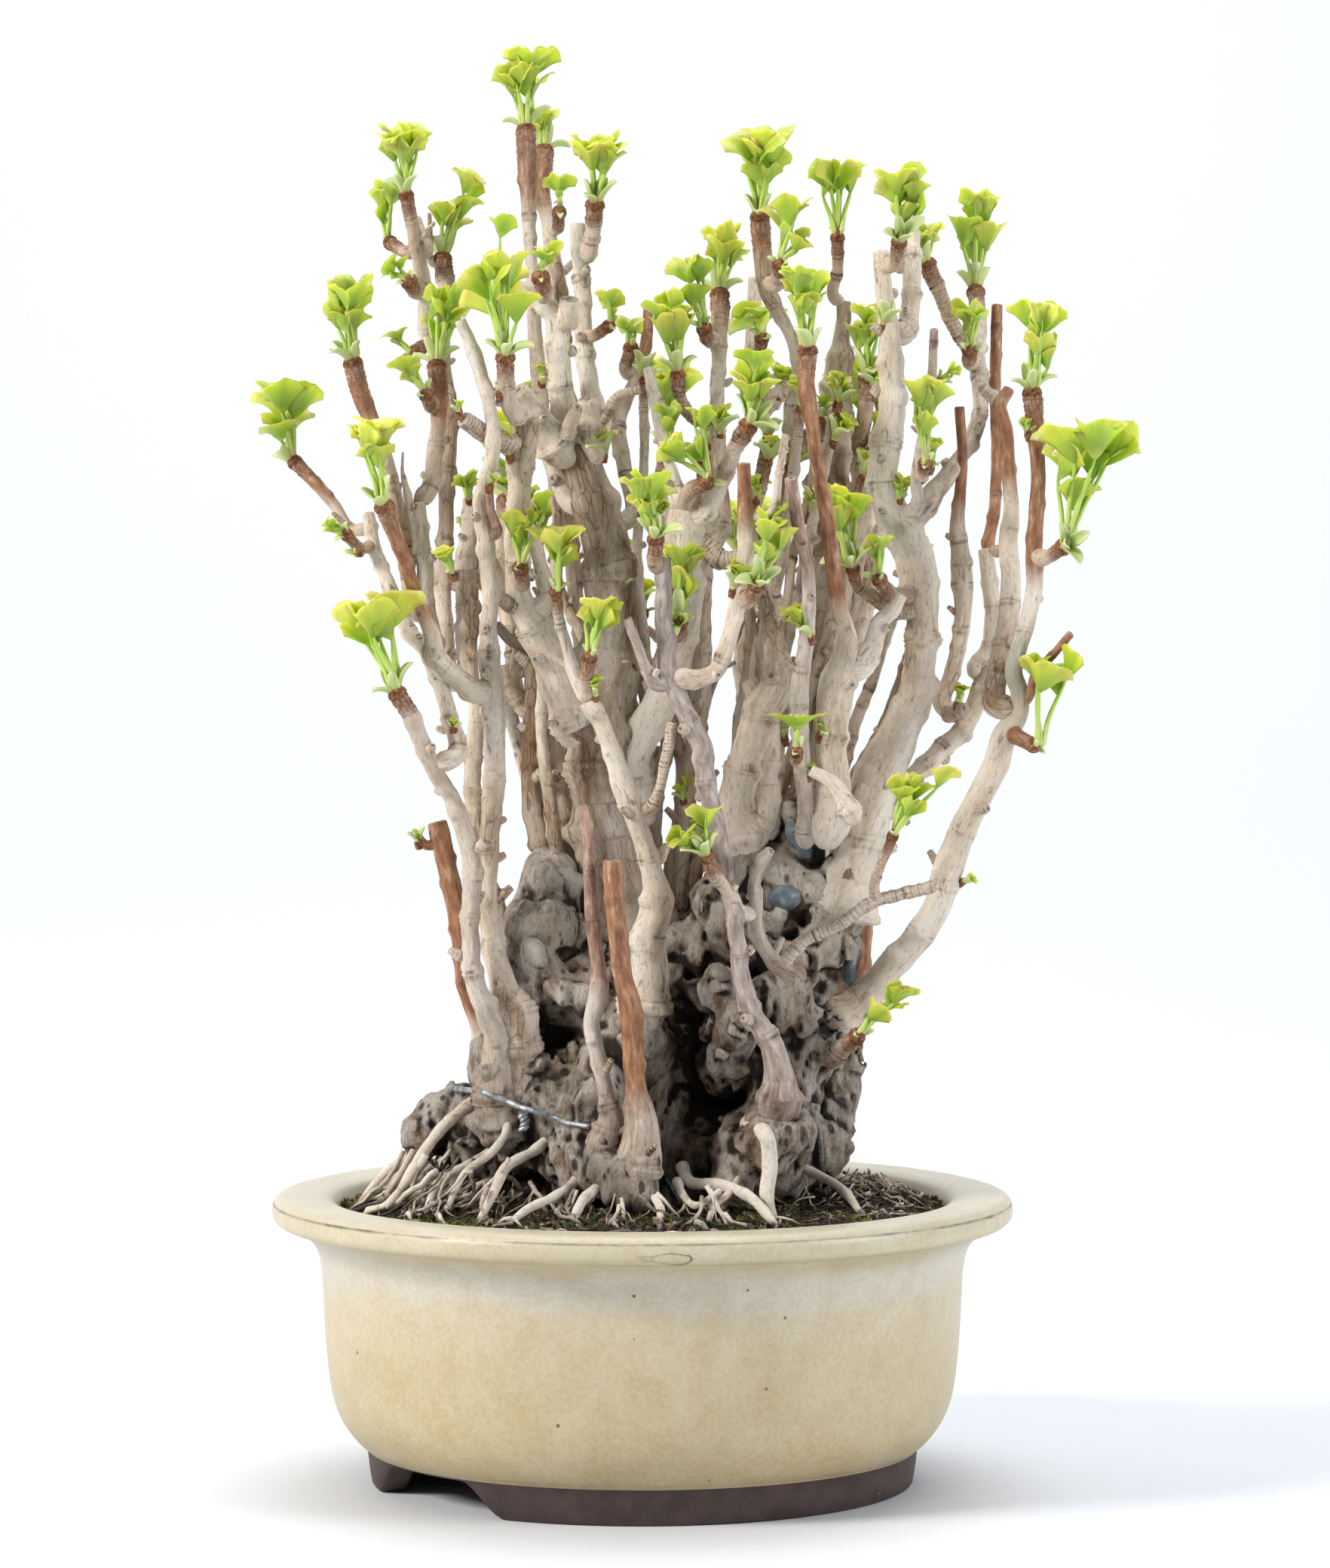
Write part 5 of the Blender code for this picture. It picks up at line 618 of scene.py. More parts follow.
def field_at(points):
    """The field's value at points in mm."""
    spot = np.clip((points - FIELD_LOW) / FIELD_STEP, 0, np.array(field.shape) - 1.001)
    low = spot.astype(int)
    part = spot - low
    total = np.zeros(len(points))
    for corner in itertools.product((0, 1), repeat=3):
        weight = np.prod(np.where(corner, part, 1 - part), axis=1)
        at = low + corner
        total += weight * field[at[:, 0], at[:, 1], at[:, 2]]
    return total


def field_slope(points):
    """The direction out of the wood at points in mm."""
    parts = [field_at(points + step) - field_at(points - step) for step in np.eye(3) * 1.2]
    slope = np.column_stack(parts)
    return slope / np.maximum(norm(slope, axis=1), 1e-6)[:, None]


# Warts stand on the skin of the burl, thickest on its right side and in the hollows.
dice = default_rng(23)
skin_cells = np.argwhere(np.abs(field[2:-2, 2:-2, 2:-2]) < 0.6) + 2
picks = skin_cells[dice.choice(len(skin_cells), 1500, replace=False)]
made = 0
for spot in picks * FIELD_STEP + FIELD_LOW:
    warty = 0.25 + 0.6 * (spot[0] > 22) + 0.5 * (-34 < spot[0] < -8 and spot[1] < 0)
    warty *= 1.0 if spot[2] < 205 else 0.4
    if made < 620 and dice.random() < warty:
        size = float(dice.choice((1.5, 2.1, 2.8, 3.8, 5.2), p=(0.3, 0.3, 0.2, 0.13, 0.07)))
        out = field_slope(spot[None])[0]
        centre = spot - out * size * 0.35
        melt_in(centre, centre, size, size, 1.6)
        made += 1

# Growth folds and cracks: broad swellings, then creases that run up the wood, then a fine crust.
band = np.argwhere(np.abs(field) < 5.0)
place_of = band * FIELD_STEP + FIELD_LOW
drift = np.column_stack([rough(place_of / 21.0), rough(place_of / 21.0 + 7.7), rough(place_of / 21.0 + 15.1)]) * 9.0
swell = 1.5 * rough(place_of / 11.0)
crease = 1.0 - np.abs(rough((place_of + drift) / np.array((6.0, 6.0, 14.0)) + 3.3))
pit = np.maximum(rough((place_of + 0.5 * drift) / 5.2 + 9.1) - 0.42, 0) / 0.3
crust = 0.75 * rough(place_of / 3.3) + 0.5 * rough(place_of / 2.3 + 5.0)
ragged = np.clip(0.75 + 0.5 * rough(place_of / 26.0 + 2.0), 0.3, 1.2)
field[tuple(band.T)] += (-swell + ragged * (2.6 * np.maximum(crease - 0.70, 0) / 0.30 + 2.2 * np.clip(pit, 0, 1)
    + crust)).astype(np.float32)


def skin_of(values, low, step):
    """The closed surface at the field's zero level: one point per crossed cell, one face per crossed edge."""
    inside = values < 0
    near, far = slice(0, -1), slice(1, None)
    count = np.zeros(tuple(size - 1 for size in values.shape), np.int8)
    for corner in itertools.product((near, far), repeat=3):
        count += inside[corner]
    crossed = (count > 0) & (count < 8)
    number = np.full(count.shape, -1, np.int32)
    number[crossed] = np.arange(int(crossed.sum()))
    cells = np.argwhere(crossed)
    total = np.zeros((len(cells), 3))
    hits = np.zeros(len(cells))
    for axis in range(3):
        other, third = (axis + 1) % 3, (axis + 2) % 3
        for a, b in itertools.product((0, 1), repeat=2):
            start = np.zeros(3, int)
            start[other], start[third] = a, b
            end = start.copy()
            end[axis] = 1
            at, to = cells + start, cells + end
            here = values[tuple(at.T)]
            there = values[tuple(to.T)]
            cut = (here < 0) != (there < 0)
            share = np.where(cut, here / np.where(cut, here - there, 1.0), 0.0)
            total[cut] += (at + share[:, None] * (end - start))[cut]
            hits += cut
    points = low + step * total / hits[:, None]
    faces = []
    for axis in range(3):
        other, third = (axis + 1) % 3, (axis + 2) % 3
        here = [slice(1, -1)] * 3
        there = [slice(1, -1)] * 3
        here[axis], there[axis] = slice(0, -1), slice(1, None)
        cut = inside[tuple(here)] != inside[tuple(there)]
        at = np.argwhere(cut) + np.array([0 if k == axis else 1 for k in range(3)])
        first, second = np.zeros(3, int), np.zeros(3, int)
        first[other], second[third] = 1, 1
        quad = np.column_stack([number[tuple((at - first - second).T)], number[tuple((at - second).T)],
            number[tuple(at.T)], number[tuple((at - first).T)]])
        outwards = inside[tuple(at.T)]
        quad[~outwards] = quad[~outwards][:, ::-1]
        faces.append(quad)
    return points, np.vstack(faces)


def biggest_shell(points, faces):
    """The points and faces of the largest connected shell."""
    label = np.arange(len(points))
    while True:
        lowest = label[faces].min(axis=1)
        before = label.copy()
        for corner in range(4):
            np.minimum.at(label, faces[:, corner], lowest)
        label = label[label]
        if (label == before).all():
            break
    best = np.bincount(label).argmax()
    keep = label == best
    renumber = np.cumsum(keep) - 1
    return points[keep], renumber[faces[keep[faces[:, 0]]]]


burl_points, burl_faces = skin_of(field, FIELD_LOW, FIELD_STEP)
burl_points, burl_faces = biggest_shell(burl_points, burl_faces)
burl_out = field_slope(burl_points)
# Painted shade: how closed in each burl point is by the wood around it, used to darken cavities as ambient shade
# would.
occlusion_shade = np.zeros(len(burl_points))
for reach in (2.5, 5.0, 9.0, 14.0):
    occlusion_shade += np.clip(1.0 - field_at(burl_points + burl_out * reach) / (reach * 0.85), 0, 1) / 4
burl_sides = np.vstack([burl_faces[:, [side, (side + 1) % 4]] for side in range(4)])
meetings = np.maximum(np.bincount(burl_sides[:, 0], minlength=len(burl_points)), 1)


def beside(values):
    """The mean of a value over each burl point's neighbours."""
    return np.bincount(burl_sides[:, 0], values[burl_sides[:, 1]], len(burl_points)) / meetings


drawn = np.column_stack([beside(burl_points[:, axis]) for axis in range(3)]) - burl_points
sunk = (drawn * burl_out).sum(axis=1) / FIELD_STEP
sunk = 0.5 * sunk + 0.5 * beside(sunk)
rise = burl_points[:, 2]
burl = make_piece("burl", burl_points, burl_faces.tolist())
mark(burl, "grain", burl_points / np.array((1.0, 1.0, 2.0)))
low_brown = np.clip((162 - rise) / 60, 0, 1) * (0.24 + 0.42 * rough(burl_points / 11.0))
# This mark is painted shade in closed-in places and sunk creases, plus real soil stains that turn the burl browner
# low down near the soil.
mark(burl, "dirt_and_shade", np.clip(occlusion_shade * 1.5 + 3.2 * np.maximum(sunk - 0.02, 0) + low_brown
    + np.clip((104 - rise) / 16, 0, 1) * 0.2, 0, 1))
for name in ("young", "plum", "ringed"):
    mark(burl, name, np.zeros(len(burl_points)))
# Painted shade: the burl's tone drops where its surface is sunk, darkening the bark in hollows; the rest is tone that
# varies at random.
mark(burl, "tone_and_hollow_shade", 0.5 * rough(burl_points / 17.0) + 0.48 - 4.0 * sunk)
mark(burl, "rugged", np.ones(len(burl_points)))

# Ginkgo bark: old bark is grey-beige cork, dry and flaky, dark in its cracks; long shoots are smooth and
# orange-brown under a peeling silver skin, some plum-grey; spur shoots are red-brown with dark scale rings.
bark, tree, shader = start_material("ginkgo_bark")
grain = add(tree, "Attribute", attribute_name="grain", out="Vector")
dirt_and_shade, young, plum, ringed, tone_and_hollow_shade, rugged = (add(tree, "Attribute", attribute_name=name, out="Fac")
    for name in ("dirt_and_shade", "young", "plum", "ringed", "tone_and_hollow_shade", "rugged"))
drift = add(tree, "TexNoise", grain, Scale=0.09, Detail=3.0)
drift_toned = add(tree, "Math", tone_and_hollow_shade, 0.28, drift, operation="MULTIPLY_ADD")
old_tint = add(tree, "ValToRGB", drift_toned, stops=[(0.26, "#A4866A"), (0.72, "#FAF1E4"), (0.38, "#CBB69F"),
    (0.52, "#ECDCC9")])
cork = add(tree, "TexNoise", grain, Scale=0.42, Detail=7.0, Roughness=0.74, Distortion=0.5)
cork_dark = add(tree, "MapRange", cork, 0.42, 0.31, 0, 0.85)
old_streaked = add(tree, "Mix", cork_dark, old_tint, "#745A42")
cork_pale = add(tree, "MapRange", cork, 0.54, 0.70, 0, 0.75)
old_flaked = add(tree, "Mix", cork_pale, old_streaked, "#FAF2E6")
plates = add(tree, "TexVoronoi", grain, Scale=0.40, Randomness=1.0, feature="DISTANCE_TO_EDGE")
plate_edge = add(tree, "MapRange", plates, 0.08, 0.0, 0, 0.65)
plate_where = add(tree, "MapRange", drift_toned, 0.46, 0.36)
plate_share = add(tree, "Math", plate_edge, plate_where, operation="MULTIPLY")
old_cracked = add(tree, "Mix", plate_share, old_flaked, "#4E3B2C")
flakes = add(tree, "TexNoise", grain, Scale=1.3, Detail=5.0, Roughness=0.72)
flake_tint = add(tree, "ValToRGB", flakes, stops=[(0.35, "#80644A"), (0.46, "#FFFEFA")])
old_grained = add(tree, "Mix", 0.45, old_cracked, flake_tint, blend_type="MULTIPLY")
algae = add(tree, "TexNoise", grain, Scale=0.07, Detail=5.0, Roughness=0.6)
algae_share = add(tree, "MapRange", algae, 0.56, 0.72, 0, 0.45)
old_green = add(tree, "Mix", algae_share, old_grained, "#8A8458")
lichen = add(tree, "Math", cork, 0.35, algae, operation="MULTIPLY_ADD")
lichen_share = add(tree, "MapRange", lichen, 0.55, 0.50, 0, 0.7)
old_crusted = add(tree, "Mix", lichen_share, old_green, "#BFC3B4")
blotch = add(tree, "TexNoise", grain, Scale=0.15, Detail=6.0, Roughness=0.7)
blotch_share = add(tree, "MapRange", blotch, 0.50, 0.62, 0, 0.76)
blotch_here = add(tree, "Math", blotch_share, rugged, operation="MULTIPLY")
old_blotched = add(tree, "Mix", blotch_here, old_crusted, "#98703F")
pits = add(tree, "TexVoronoi", grain, Scale=0.27, out=None)
pit_rare = add(tree, "SeparateColor", pits.outputs["Color"])
pit_size = add(tree, "MapRange", pit_rare, 0.45, 1, 0, 0.34)
pit_edge = add(tree, "Math", pit_size, pits.outputs["Distance"], operation="SUBTRACT")
pit_depth = add(tree, "MapRange", pit_edge, -0.04, 0.10, 0, 0.85)
pit_here = add(tree, "Math", pit_depth, rugged, operation="MULTIPLY")
old_pitted = add(tree, "Mix", pit_here, old_blotched, "#3B2B20")
skin = add(tree, "TexNoise", grain, Scale=0.5, Detail=5.0, Roughness=0.62)
young_tint = add(tree, "ValToRGB", skin, stops=[(0.30, "#6A412B"), (0.76, "#D6C6B6"), (0.46, "#93603F"),
    (0.60, "#B08460")])
plum_tint = add(tree, "ValToRGB", skin, stops=[(0.34, "#84726C"), (0.70, "#DDD3CD"), (0.5, "#B5A59E")])
with_young = add(tree, "Mix", young, old_pitted, young_tint)
with_plum = add(tree, "Mix", plum, with_young, plum_tint)
spur_tint = add(tree, "ValToRGB", flakes, stops=[(0.34, "#5A3828"), (0.68, "#CDB29B"), (0.5, "#96694D")])
with_spur = add(tree, "Mix", ringed, with_plum, spur_tint)
# Dark brown to near black mixed in by this mark: painted shade in hollows, creases and ring grooves, and real soil
# staining low down.
dirt_and_shade_broken = add(tree, "Math", cork, -0.9, dirt_and_shade, operation="MULTIPLY_ADD")
dirt_and_shade_share = add(tree, "MapRange", dirt_and_shade_broken, -0.36, 0.30, 0, 0.95)
dirt_and_shade_tint = add(tree, "ValToRGB", dirt_and_shade_share, stops=[(0.0, "#98734F"), (1.0, "#23160D"), (0.45, "#664529")])
dirtied_and_shaded = add(tree, "Mix", dirt_and_shade_share, with_spur, dirt_and_shade_tint)
gloss = add(tree, "MapRange", young, 0, 1, 0.85, 0.48)
relief = add(tree, "Math", cork, 1.6, flakes, operation="MULTIPLY_ADD")
cracked_relief = add(tree, "Math", plate_share, -0.5, relief, operation="MULTIPLY_ADD")
rough_share = add(tree, "MapRange", young, 0, 1, 0.6, 0.3)
pitted_relief = add(tree, "Math", pit_here, -1.2, cracked_relief, operation="MULTIPLY_ADD")
rougher = add(tree, "Math", rugged, 1.0, rough_share, operation="MULTIPLY_ADD")
relief_bump = add(tree, "Bump", Height=pitted_relief, Strength=rougher, Distance=0.0010)
feed(shader, Base_Color=dirtied_and_shaded, Roughness=gloss, Normal=relief_bump)
burl.data.materials.append(bark)
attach(burl, "root")
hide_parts("tree")

# Trunks, branches and shoots: round wood with furrows, swellings at old leaf nodes and collars where one grows
# from another. Spur shoots are closely ringed by years of bud scales. Cut ends show bare wood.
YOUNG_FROM = {"orange_a": 166, "orange_b": 128, "brown_cut": 150, "left_out": 284, "new_r": 290, "right": 300,
    "right_red": 0, "right_in": 330, "inner_r": 322, "left_c": 352, "leader": 425, "leader_b": 428, "left_k": 350,
    "right_side": 0, "right_twig": 0, "tall_m": 408, "left_bud": 0, "brown_bud": 0, "far_left_out": 325, "bend": 318,
    "tan_back": 150, "stick": 372, "front_r": 300, "back_twig": 372}
PLUM = {"purple": 0.85, "purple_left": 0.6, "orange_a": 0.35, "far_left": 0.25, "left_grey": 0.2, "front_r": 0.45,
    "stick": 0.5, "left_bud": 0.4, "leader": 0.2, "dead": 0.25}
RINGED_ALL = {"arm_ringed", "front_ringed", "ringed_r", "ringed_r_up", "inner_r_ringed", "stout_ringed",
    "stout_ringed_far", "ringed_c", "mid_spur", "arm_left", "left_top_low", "left_top_side", "pale_low", "right_low",
    "lichen_left", "inner_n_low", "right_link"}
TONE = {"trunk": -0.28, "pale": 0.55, "pale_right": 0.45, "pale_up": 0.5, "pale_low": 0.3, "stout": 0.15,
    "old": -0.15, "old_side": -0.1, "left_back": -0.2, "shade": -0.5, "rear_a": -0.2, "rear_b": -0.2, "rear_c": -0.25,
    "rear_d": -0.2, "lichen": 0.3, "dead": -0.2, "mid_r": 0.1, "mid_r_side": 0.0, "front": 0.1, "crown_stub": 0.35,
    "arm": 0.15, "knob": 0.2, "mid": 0.3, "inner": 0.2, "left": 0.1, "new_r": 0.1, "right": 0.25}
EXTRA_STEMS = [
    ("shaded", None, 30, 30, [(-28, 210, 2.9), (-27, 235, 2.4), (-26, 255, 2.2)]),
    ("thin_stub", "left_grey", 48, 44, [(-70, 410, 1.0), (-71, 419, 0.8), (-71.5, 427, 0.7)]),
    ("dead_twig", "left_b", 4, -2, [(-76, 300, 1.8), (-77, 318, 1.7), (-79, 333, 1.4), (-80.5, 340, 0.7),
        (-80.5, 347, 0.4)]),
    ("right_stub", None, -45, -46, [(72, 222, 3.2), (64, 236, 2.3), (57, 240, 1.9)]),
    ("bend_twig", "bend", -50, -56, [(42, 326, 1.5), (46, 340, 1.3), (48, 353, 1.2)]),
    ("mid_twig", "mid_r", -6, -20, [(45, 292, 1.6), (45, 300, 1.4), (44, 311, 1.2)]),
    ("knob_spur", "knob", -4, -12, [(-26, 353, 2.6), (-24, 358, 2.4), (-22, 362, 2.0)]),
]
SPRAYS = [
    ("leader", 2, [(4, -50, -30, 463, 484)]),
    ("leader_b", 2, [(2, -41, -27, 453, 463)]),
    ("leader_b_spur", 0, [(1, -32, -24, 430, 440)]),
    ("left_top", 2, [(3, -90, -72, 446, 459)]),
    ("left_top_side", 0, [(3, -93, -78, 425, 439)]),
    ("left_grey", 2, [(2, -69, -57, 419, 431), (2, -64, -50, 428, 443)]),
    ("left_top_spur", 0, [(2, -91, -79, 398, 411)]),
    ("left_top_low", 0, [(1, -89, -80, 378, 389)]),
    ("left_c", 2, [(3, -73, -59, 387, 404)]),
    ("left_c_spur", 0, [(2, -88, -75, 365, 379)]),
    ("arm_top", 2, [(4, -61, -38, 392, 415), (1, -51, -44, 417, 427)]),
    ("mid_spur", 0, [(2, -37, -25, 408, 417)]),
    ("inner_spur", 2, [(4, -24, -3, 442, 454)]),
    ("left_k", 2, [(3, -108, -91, 395, 408)]),
    ("inner_twig", 0, [(2, -17, -6, 393, 402)]),
    ("back_twig_spur", 0, [(2, -10, 1, 385, 393)]),
    ("tall_m", 2, [(4, 28, 52, 438, 459)]),
    ("inner_n", 2, [(3, 21, 36, 410, 425)]),
    ("inner_n_spur", 0, [(3, 7, 22, 399, 413)]),
    ("inner_n_low", 2, [(2, 4, 14, 386, 402)]),
    ("tall_m_spur", 0, [(2, 42, 60, 420, 434), (2, 47, 60, 407, 419)]),
    ("new_r", 2, [(4, 44, 64, 396, 411)]),
    ("old_tip", 0, [(4, 53, 74, 430, 446)]),
    ("old_side", 2, [(2, 71, 79, 384, 398)]),
    ("pale_right", 2, [(3, 30, 46, 367, 383)]),
    ("arch_spur", 0, [(3, 28, 51, 384, 396)]),
    ("stout_spur", 2, [(3, 78, 96, 430, 444), (1, 90, 99, 423, 434)]),
    ("lichen_left", 2, [(1, 91, 100, 416, 425)]),
    ("lichen_up", 2, [(4, 105, 123, 419, 436)]),
    ("lichen_spur", 0, [(2, 104, 118, 387, 399)]),
    ("right", 2, [(3, 125, 142, 387, 399), (1, 134, 144, 373, 382)]),
    ("far_left_out", 2, [(3, -133, -110, 357, 372)]),
    ("left_out", 2, [(3, -102, -82, 345, 361)]),
    ("far_left_spur", 0, [(2, -111, -103, 314, 325)]),
    ("far_left", 2, [(4, -107, -79, 284, 302)]),
    ("arm_spur", 0, [(3, -49, -34, 315, 328), (1, -35, -26, 324, 335)]),
    ("front_tip", 0, [(1, -36, -21, 310, 324)]),
    ("purple_spur", 2, [(4, -11, 9, 320, 342)]),
    ("pale_up_spur", 0, [(2, 5, 14, 353, 365)]),
    ("pale_spur", 0, [(2, 13, 23, 352, 363), (2, 1, 14, 341, 351)]),
    ("pale_mid_spur", 2, [(3, 7, 22, 301, 317)]),
    ("front_spur", 0, [(3, -21, -6, 285, 300)]),
    ("bend_spur", 2, [(4, 39, 54, 311, 331)]),
    ("stout_ringed_far", 2, [(4, 55, 73, 315, 338)]),
    ("stout_ringed", 0, [(2, 75, 84, 308, 320)]),
    ("stick_spur", 0, [(4, 86, 105, 354, 373)]),
    ("right_spur", 2, [(5, 136, 170, 332, 359)]),
    ("right_side", 0, [(1, 139, 153, 260, 282), (1, 128, 137, 265, 280)]),
    ("front_r_spur", 0, [(1, 45, 60, 248, 261)]),
    ("ringed_r_up", 0, [(3, 84, 98, 222, 240), (1, 100, 109, 233, 242)]),
    ("dead_left", 2, [(3, 4, 18, 204, 220), (1, 17, 26, 217, 229)]),
    ("right_low", 0, [(3, 83, 96, 155, 170)]),
    ("rear_a", 2, [(4, -4, 20, 362, 380)]),
    ("rear_b", 2, [(4, -60, -34, 344, 362)]),
    ("rear_c", 2, [(4, 60, 86, 360, 380)]),
    ("rear_d", 2, [(4, 22, 50, 314, 334)]),
]
TIPS_WITH_LEAVES = {spray[0] for spray in SPRAYS}


def turned_frames(points):
    """At each point of a line: its direction and two directions square to it, without twist."""
    steps = np.diff(points, axis=0)
    steps /= np.maximum(norm(steps, axis=1), 1e-9)[:, None]
    along = np.vstack([steps[:1], steps[:-1] + steps[1:], steps[-1:]])
    along /= np.maximum(norm(along, axis=1), 1e-9)[:, None]
    side = unit(np.cross(along[0], (0.31, 0.95, 0.1)))
    sides = []
    for way in along:
        side = side - way * float(side @ way)
        side = side / max(float(norm(side)), 1e-9)
        sides.append(side)
    sides = np.array(sides)
    return along, sides, np.cross(along, sides)


def lay_rings(points, radii, columns):
    """Points of a tube: radii holds one row of radii for each point of the line."""
    along, sides, others = turned_frames(points)
    turns = 2 * pi * np.arange(columns) / columns
    around = sides[:, None] * np.cos(turns)[None, :, None] + others[:, None] * np.sin(turns)[None, :, None]
    return points[:, None] + around * radii[:, :, None], along


COLUMNS_OVER = [(9, 40), (5, 28), (2.7, 20), (1.9, 14), (-1, 10)]
RING_GAP = 1.35
CAP_INSETS = (0.10, 0.15, 0.14)
CAP_SHRINKS = (0.93, 0.80, 0.45)


def shape_stem(name, line, seed):
    """A stem's points, faces, which faces are bare wood, and the numbers that its bark reads."""
    dice = default_rng(seed)
    leafy = name in TIPS_WITH_LEAVES or name.startswith("rear_s")
    spur = name in RINGED_ALL or name.startswith("spur")
    widest = line[:, 3].max()
    columns = next(count for over, count in COLUMNS_OVER if widest > over)
    coarse = flow(line, 1.3 if name.startswith("rear_s") else 0.8 if widest < 9 else 1.0)
    spot = np.concatenate([[0], np.cumsum(norm(np.diff(coarse[:, :3], axis=0), axis=1))])
    length = spot[-1]
    ring_from = length - min(float(dice.uniform(8, 13)), 0.6 * length) if leafy else length + 99
    ring_from = 0.0 if spur else ring_from
    dense = np.arange(0, length, 0.36)
    away = np.sort(np.concatenate([spot[spot < ring_from], dense[dense >= ring_from], [length]]))
    away = away[np.concatenate([[True], np.diff(away) > 0.05])]
    rows = np.column_stack([np.interp(away, spot, coarse[:, k]) for k in range(4)])
    flat_line = np.zeros(len(away))
    for axis in range(3):
        shake = (0.22 * rough(np.column_stack([away / 7.0, flat_line + seed, flat_line + 5.0 * axis]))
            + 0.12 * rough(np.column_stack([away / 2.9, flat_line + seed, flat_line + 5.0 * axis + 2])))
        rows[:, axis] += (shake * min(widest / 3.0, 1.4) * (0.3 if name in YOUNG_FROM else 1.0)
            * np.clip(away / 6, 0, 1) * np.clip((length - away) / 6, 0, 1))
    base = max(rows[0, 3], 1.0)
    collar = 0.42 * np.exp(-np.maximum(away - base, 0) / (1.3 * base)) * (widest < 16)
    rooted = 0.3 + 0.7 * np.clip(away / (1.6 * base), 0, 1) ** 0.7
    ringing = np.clip((away - ring_from) / 2.0, 0, 1)
    turns = 2 * pi * np.arange(columns) / columns
    around = np.column_stack([np.cos(turns), np.sin(turns)])
    grain_at = np.concatenate([around[None] * rows[:, None, 3:4], np.repeat(away[:, None, None], columns, 1)], axis=2)
    flat = grain_at.reshape(-1, 3) + seed * 3.7
    wavy = rough(flat / np.array((2.2, 2.2, 3.4))).reshape(len(rows), columns)
    drift = 0.7 * rough(np.column_stack([away / 3.1, flat_line + seed, flat_line]))
    phase = (away / RING_GAP + drift)[:, None] + 0.34 * wavy
    saw = (phase % 1.0) ** 1.5
    knob = np.sin(5 * turns[None] + 2.5 * np.floor(phase)) * np.sin(pi * (phase % 1.0))
    nodes, node_side, bands, scars = np.zeros((4, len(away)))
    scar_depth = 0.7 / (1 + (widest / 6.5) ** 2)
    at = float(dice.uniform(5, 14))
    while at < length - 3:
        bulge = np.exp(-((away - at) / (1.0 + 0.16 * widest)) ** 2)
        nodes += bulge
        node_side = np.where(bulge > 0.3, float(dice.uniform(0, 6.28)), node_side)
        bands += np.exp(-((away - at) / (1.6 + 0.3 * widest)) ** 4) * (dice.random() < 0.55)
        for offset in (0.7, -1.1 - 0.1 * widest):
            scars += np.exp(-((away - at - offset) / 0.55) ** 2) * float(dice.uniform(0.1, 1.0)) * scar_depth
        at += float(dice.uniform(7, 20)) * (0.6 + 0.08 * widest)
    bands = np.clip(bands + np.exp(-(away / (2.2 * base)) ** 2) * 0.8, 0, 1) * (1 - ringing)
    old = 1.0 if name not in YOUNG_FROM else 0.45
    wrinkle = np.sin(2 * pi * (away / (1.1 + 0.09 * widest))[:, None] + 2.2 * wavy) * bands[:, None]
    squeeze = (0.05 * np.cos(2 * turns[None] + 3 * rough(np.column_stack([away / 24.0, flat_line,
        flat_line + seed]))[:, None]) + 0.04 * np.cos(3 * turns[None] + 4
        * rough(np.column_stack([away / 17.0, flat_line + 3, flat_line + seed]))[:, None]))
    furrow = 0.034 * rough(flat / np.array((2.4, 2.4, 15.0))) + 0.022 * rough(flat / np.array((1.1, 1.1, 6.0)))
    lumps = rough(flat / np.array((5.5, 5.5, 8.0))) * (0.085 if widest > 5 else 0.05)
    relief = (furrow * old + lumps).reshape(len(rows), columns) + squeeze * old + 0.05 * old * wrinkle
    swell = 0.16 * np.clip(nodes, 0, 1)[:, None] * np.clip(np.cos(turns[None] - node_side[:, None]), 0, 1) ** 2
    radii = rows[:, 3:4] * ((1 + collar) * rooted)[:, None] * (1 + (0.05 + 0.08 * (old == 1)) * nodes[:, None]) * (1
        + relief * (1 - 0.4 * ringing[:, None]) + swell * (1 - ringing[:, None])
        + ringing[:, None] * (0.10 * (saw - 0.45) + 0.055 * knob))
    direction = unit(rows[-1, :3] - rows[-2, :3])
    points = np.vstack([rows[:, :3], *(rows[-1, :3] + direction * inset * rows[-1, 3] * 2 for inset in CAP_INSETS)])
    radii = np.vstack([radii, *(radii[-1] * shrink for shrink in CAP_SHRINKS)])
    laid, _ = lay_rings(points, radii, columns)
    verts = np.vstack([laid.reshape(-1, 3), points[:1], points[-1:] + direction * 0.05 * rows[-1, 3]])
    faces = tube_faces(len(points), columns)
    bare = [False] * (len(rows) * columns) + [not leafy] * (2 * columns)
    bare += [number % 2 == 1 and not leafy for number in range(2 * columns)]
    grain_all = np.vstack([flat, flat[-columns:], flat[-columns:], flat[-columns:], flat[:1], flat[-1:]])
    extra = len(verts) - len(rows) * columns
    up = verts[:, 2]

    def spread(values, fill=0.0):
        """One value for each ring or point of the bark, and a fill for the points of the two ends."""
        values = np.repeat(values, columns) if values.ndim == 1 else values.ravel()
        return np.concatenate([values, np.full(extra, fill)])

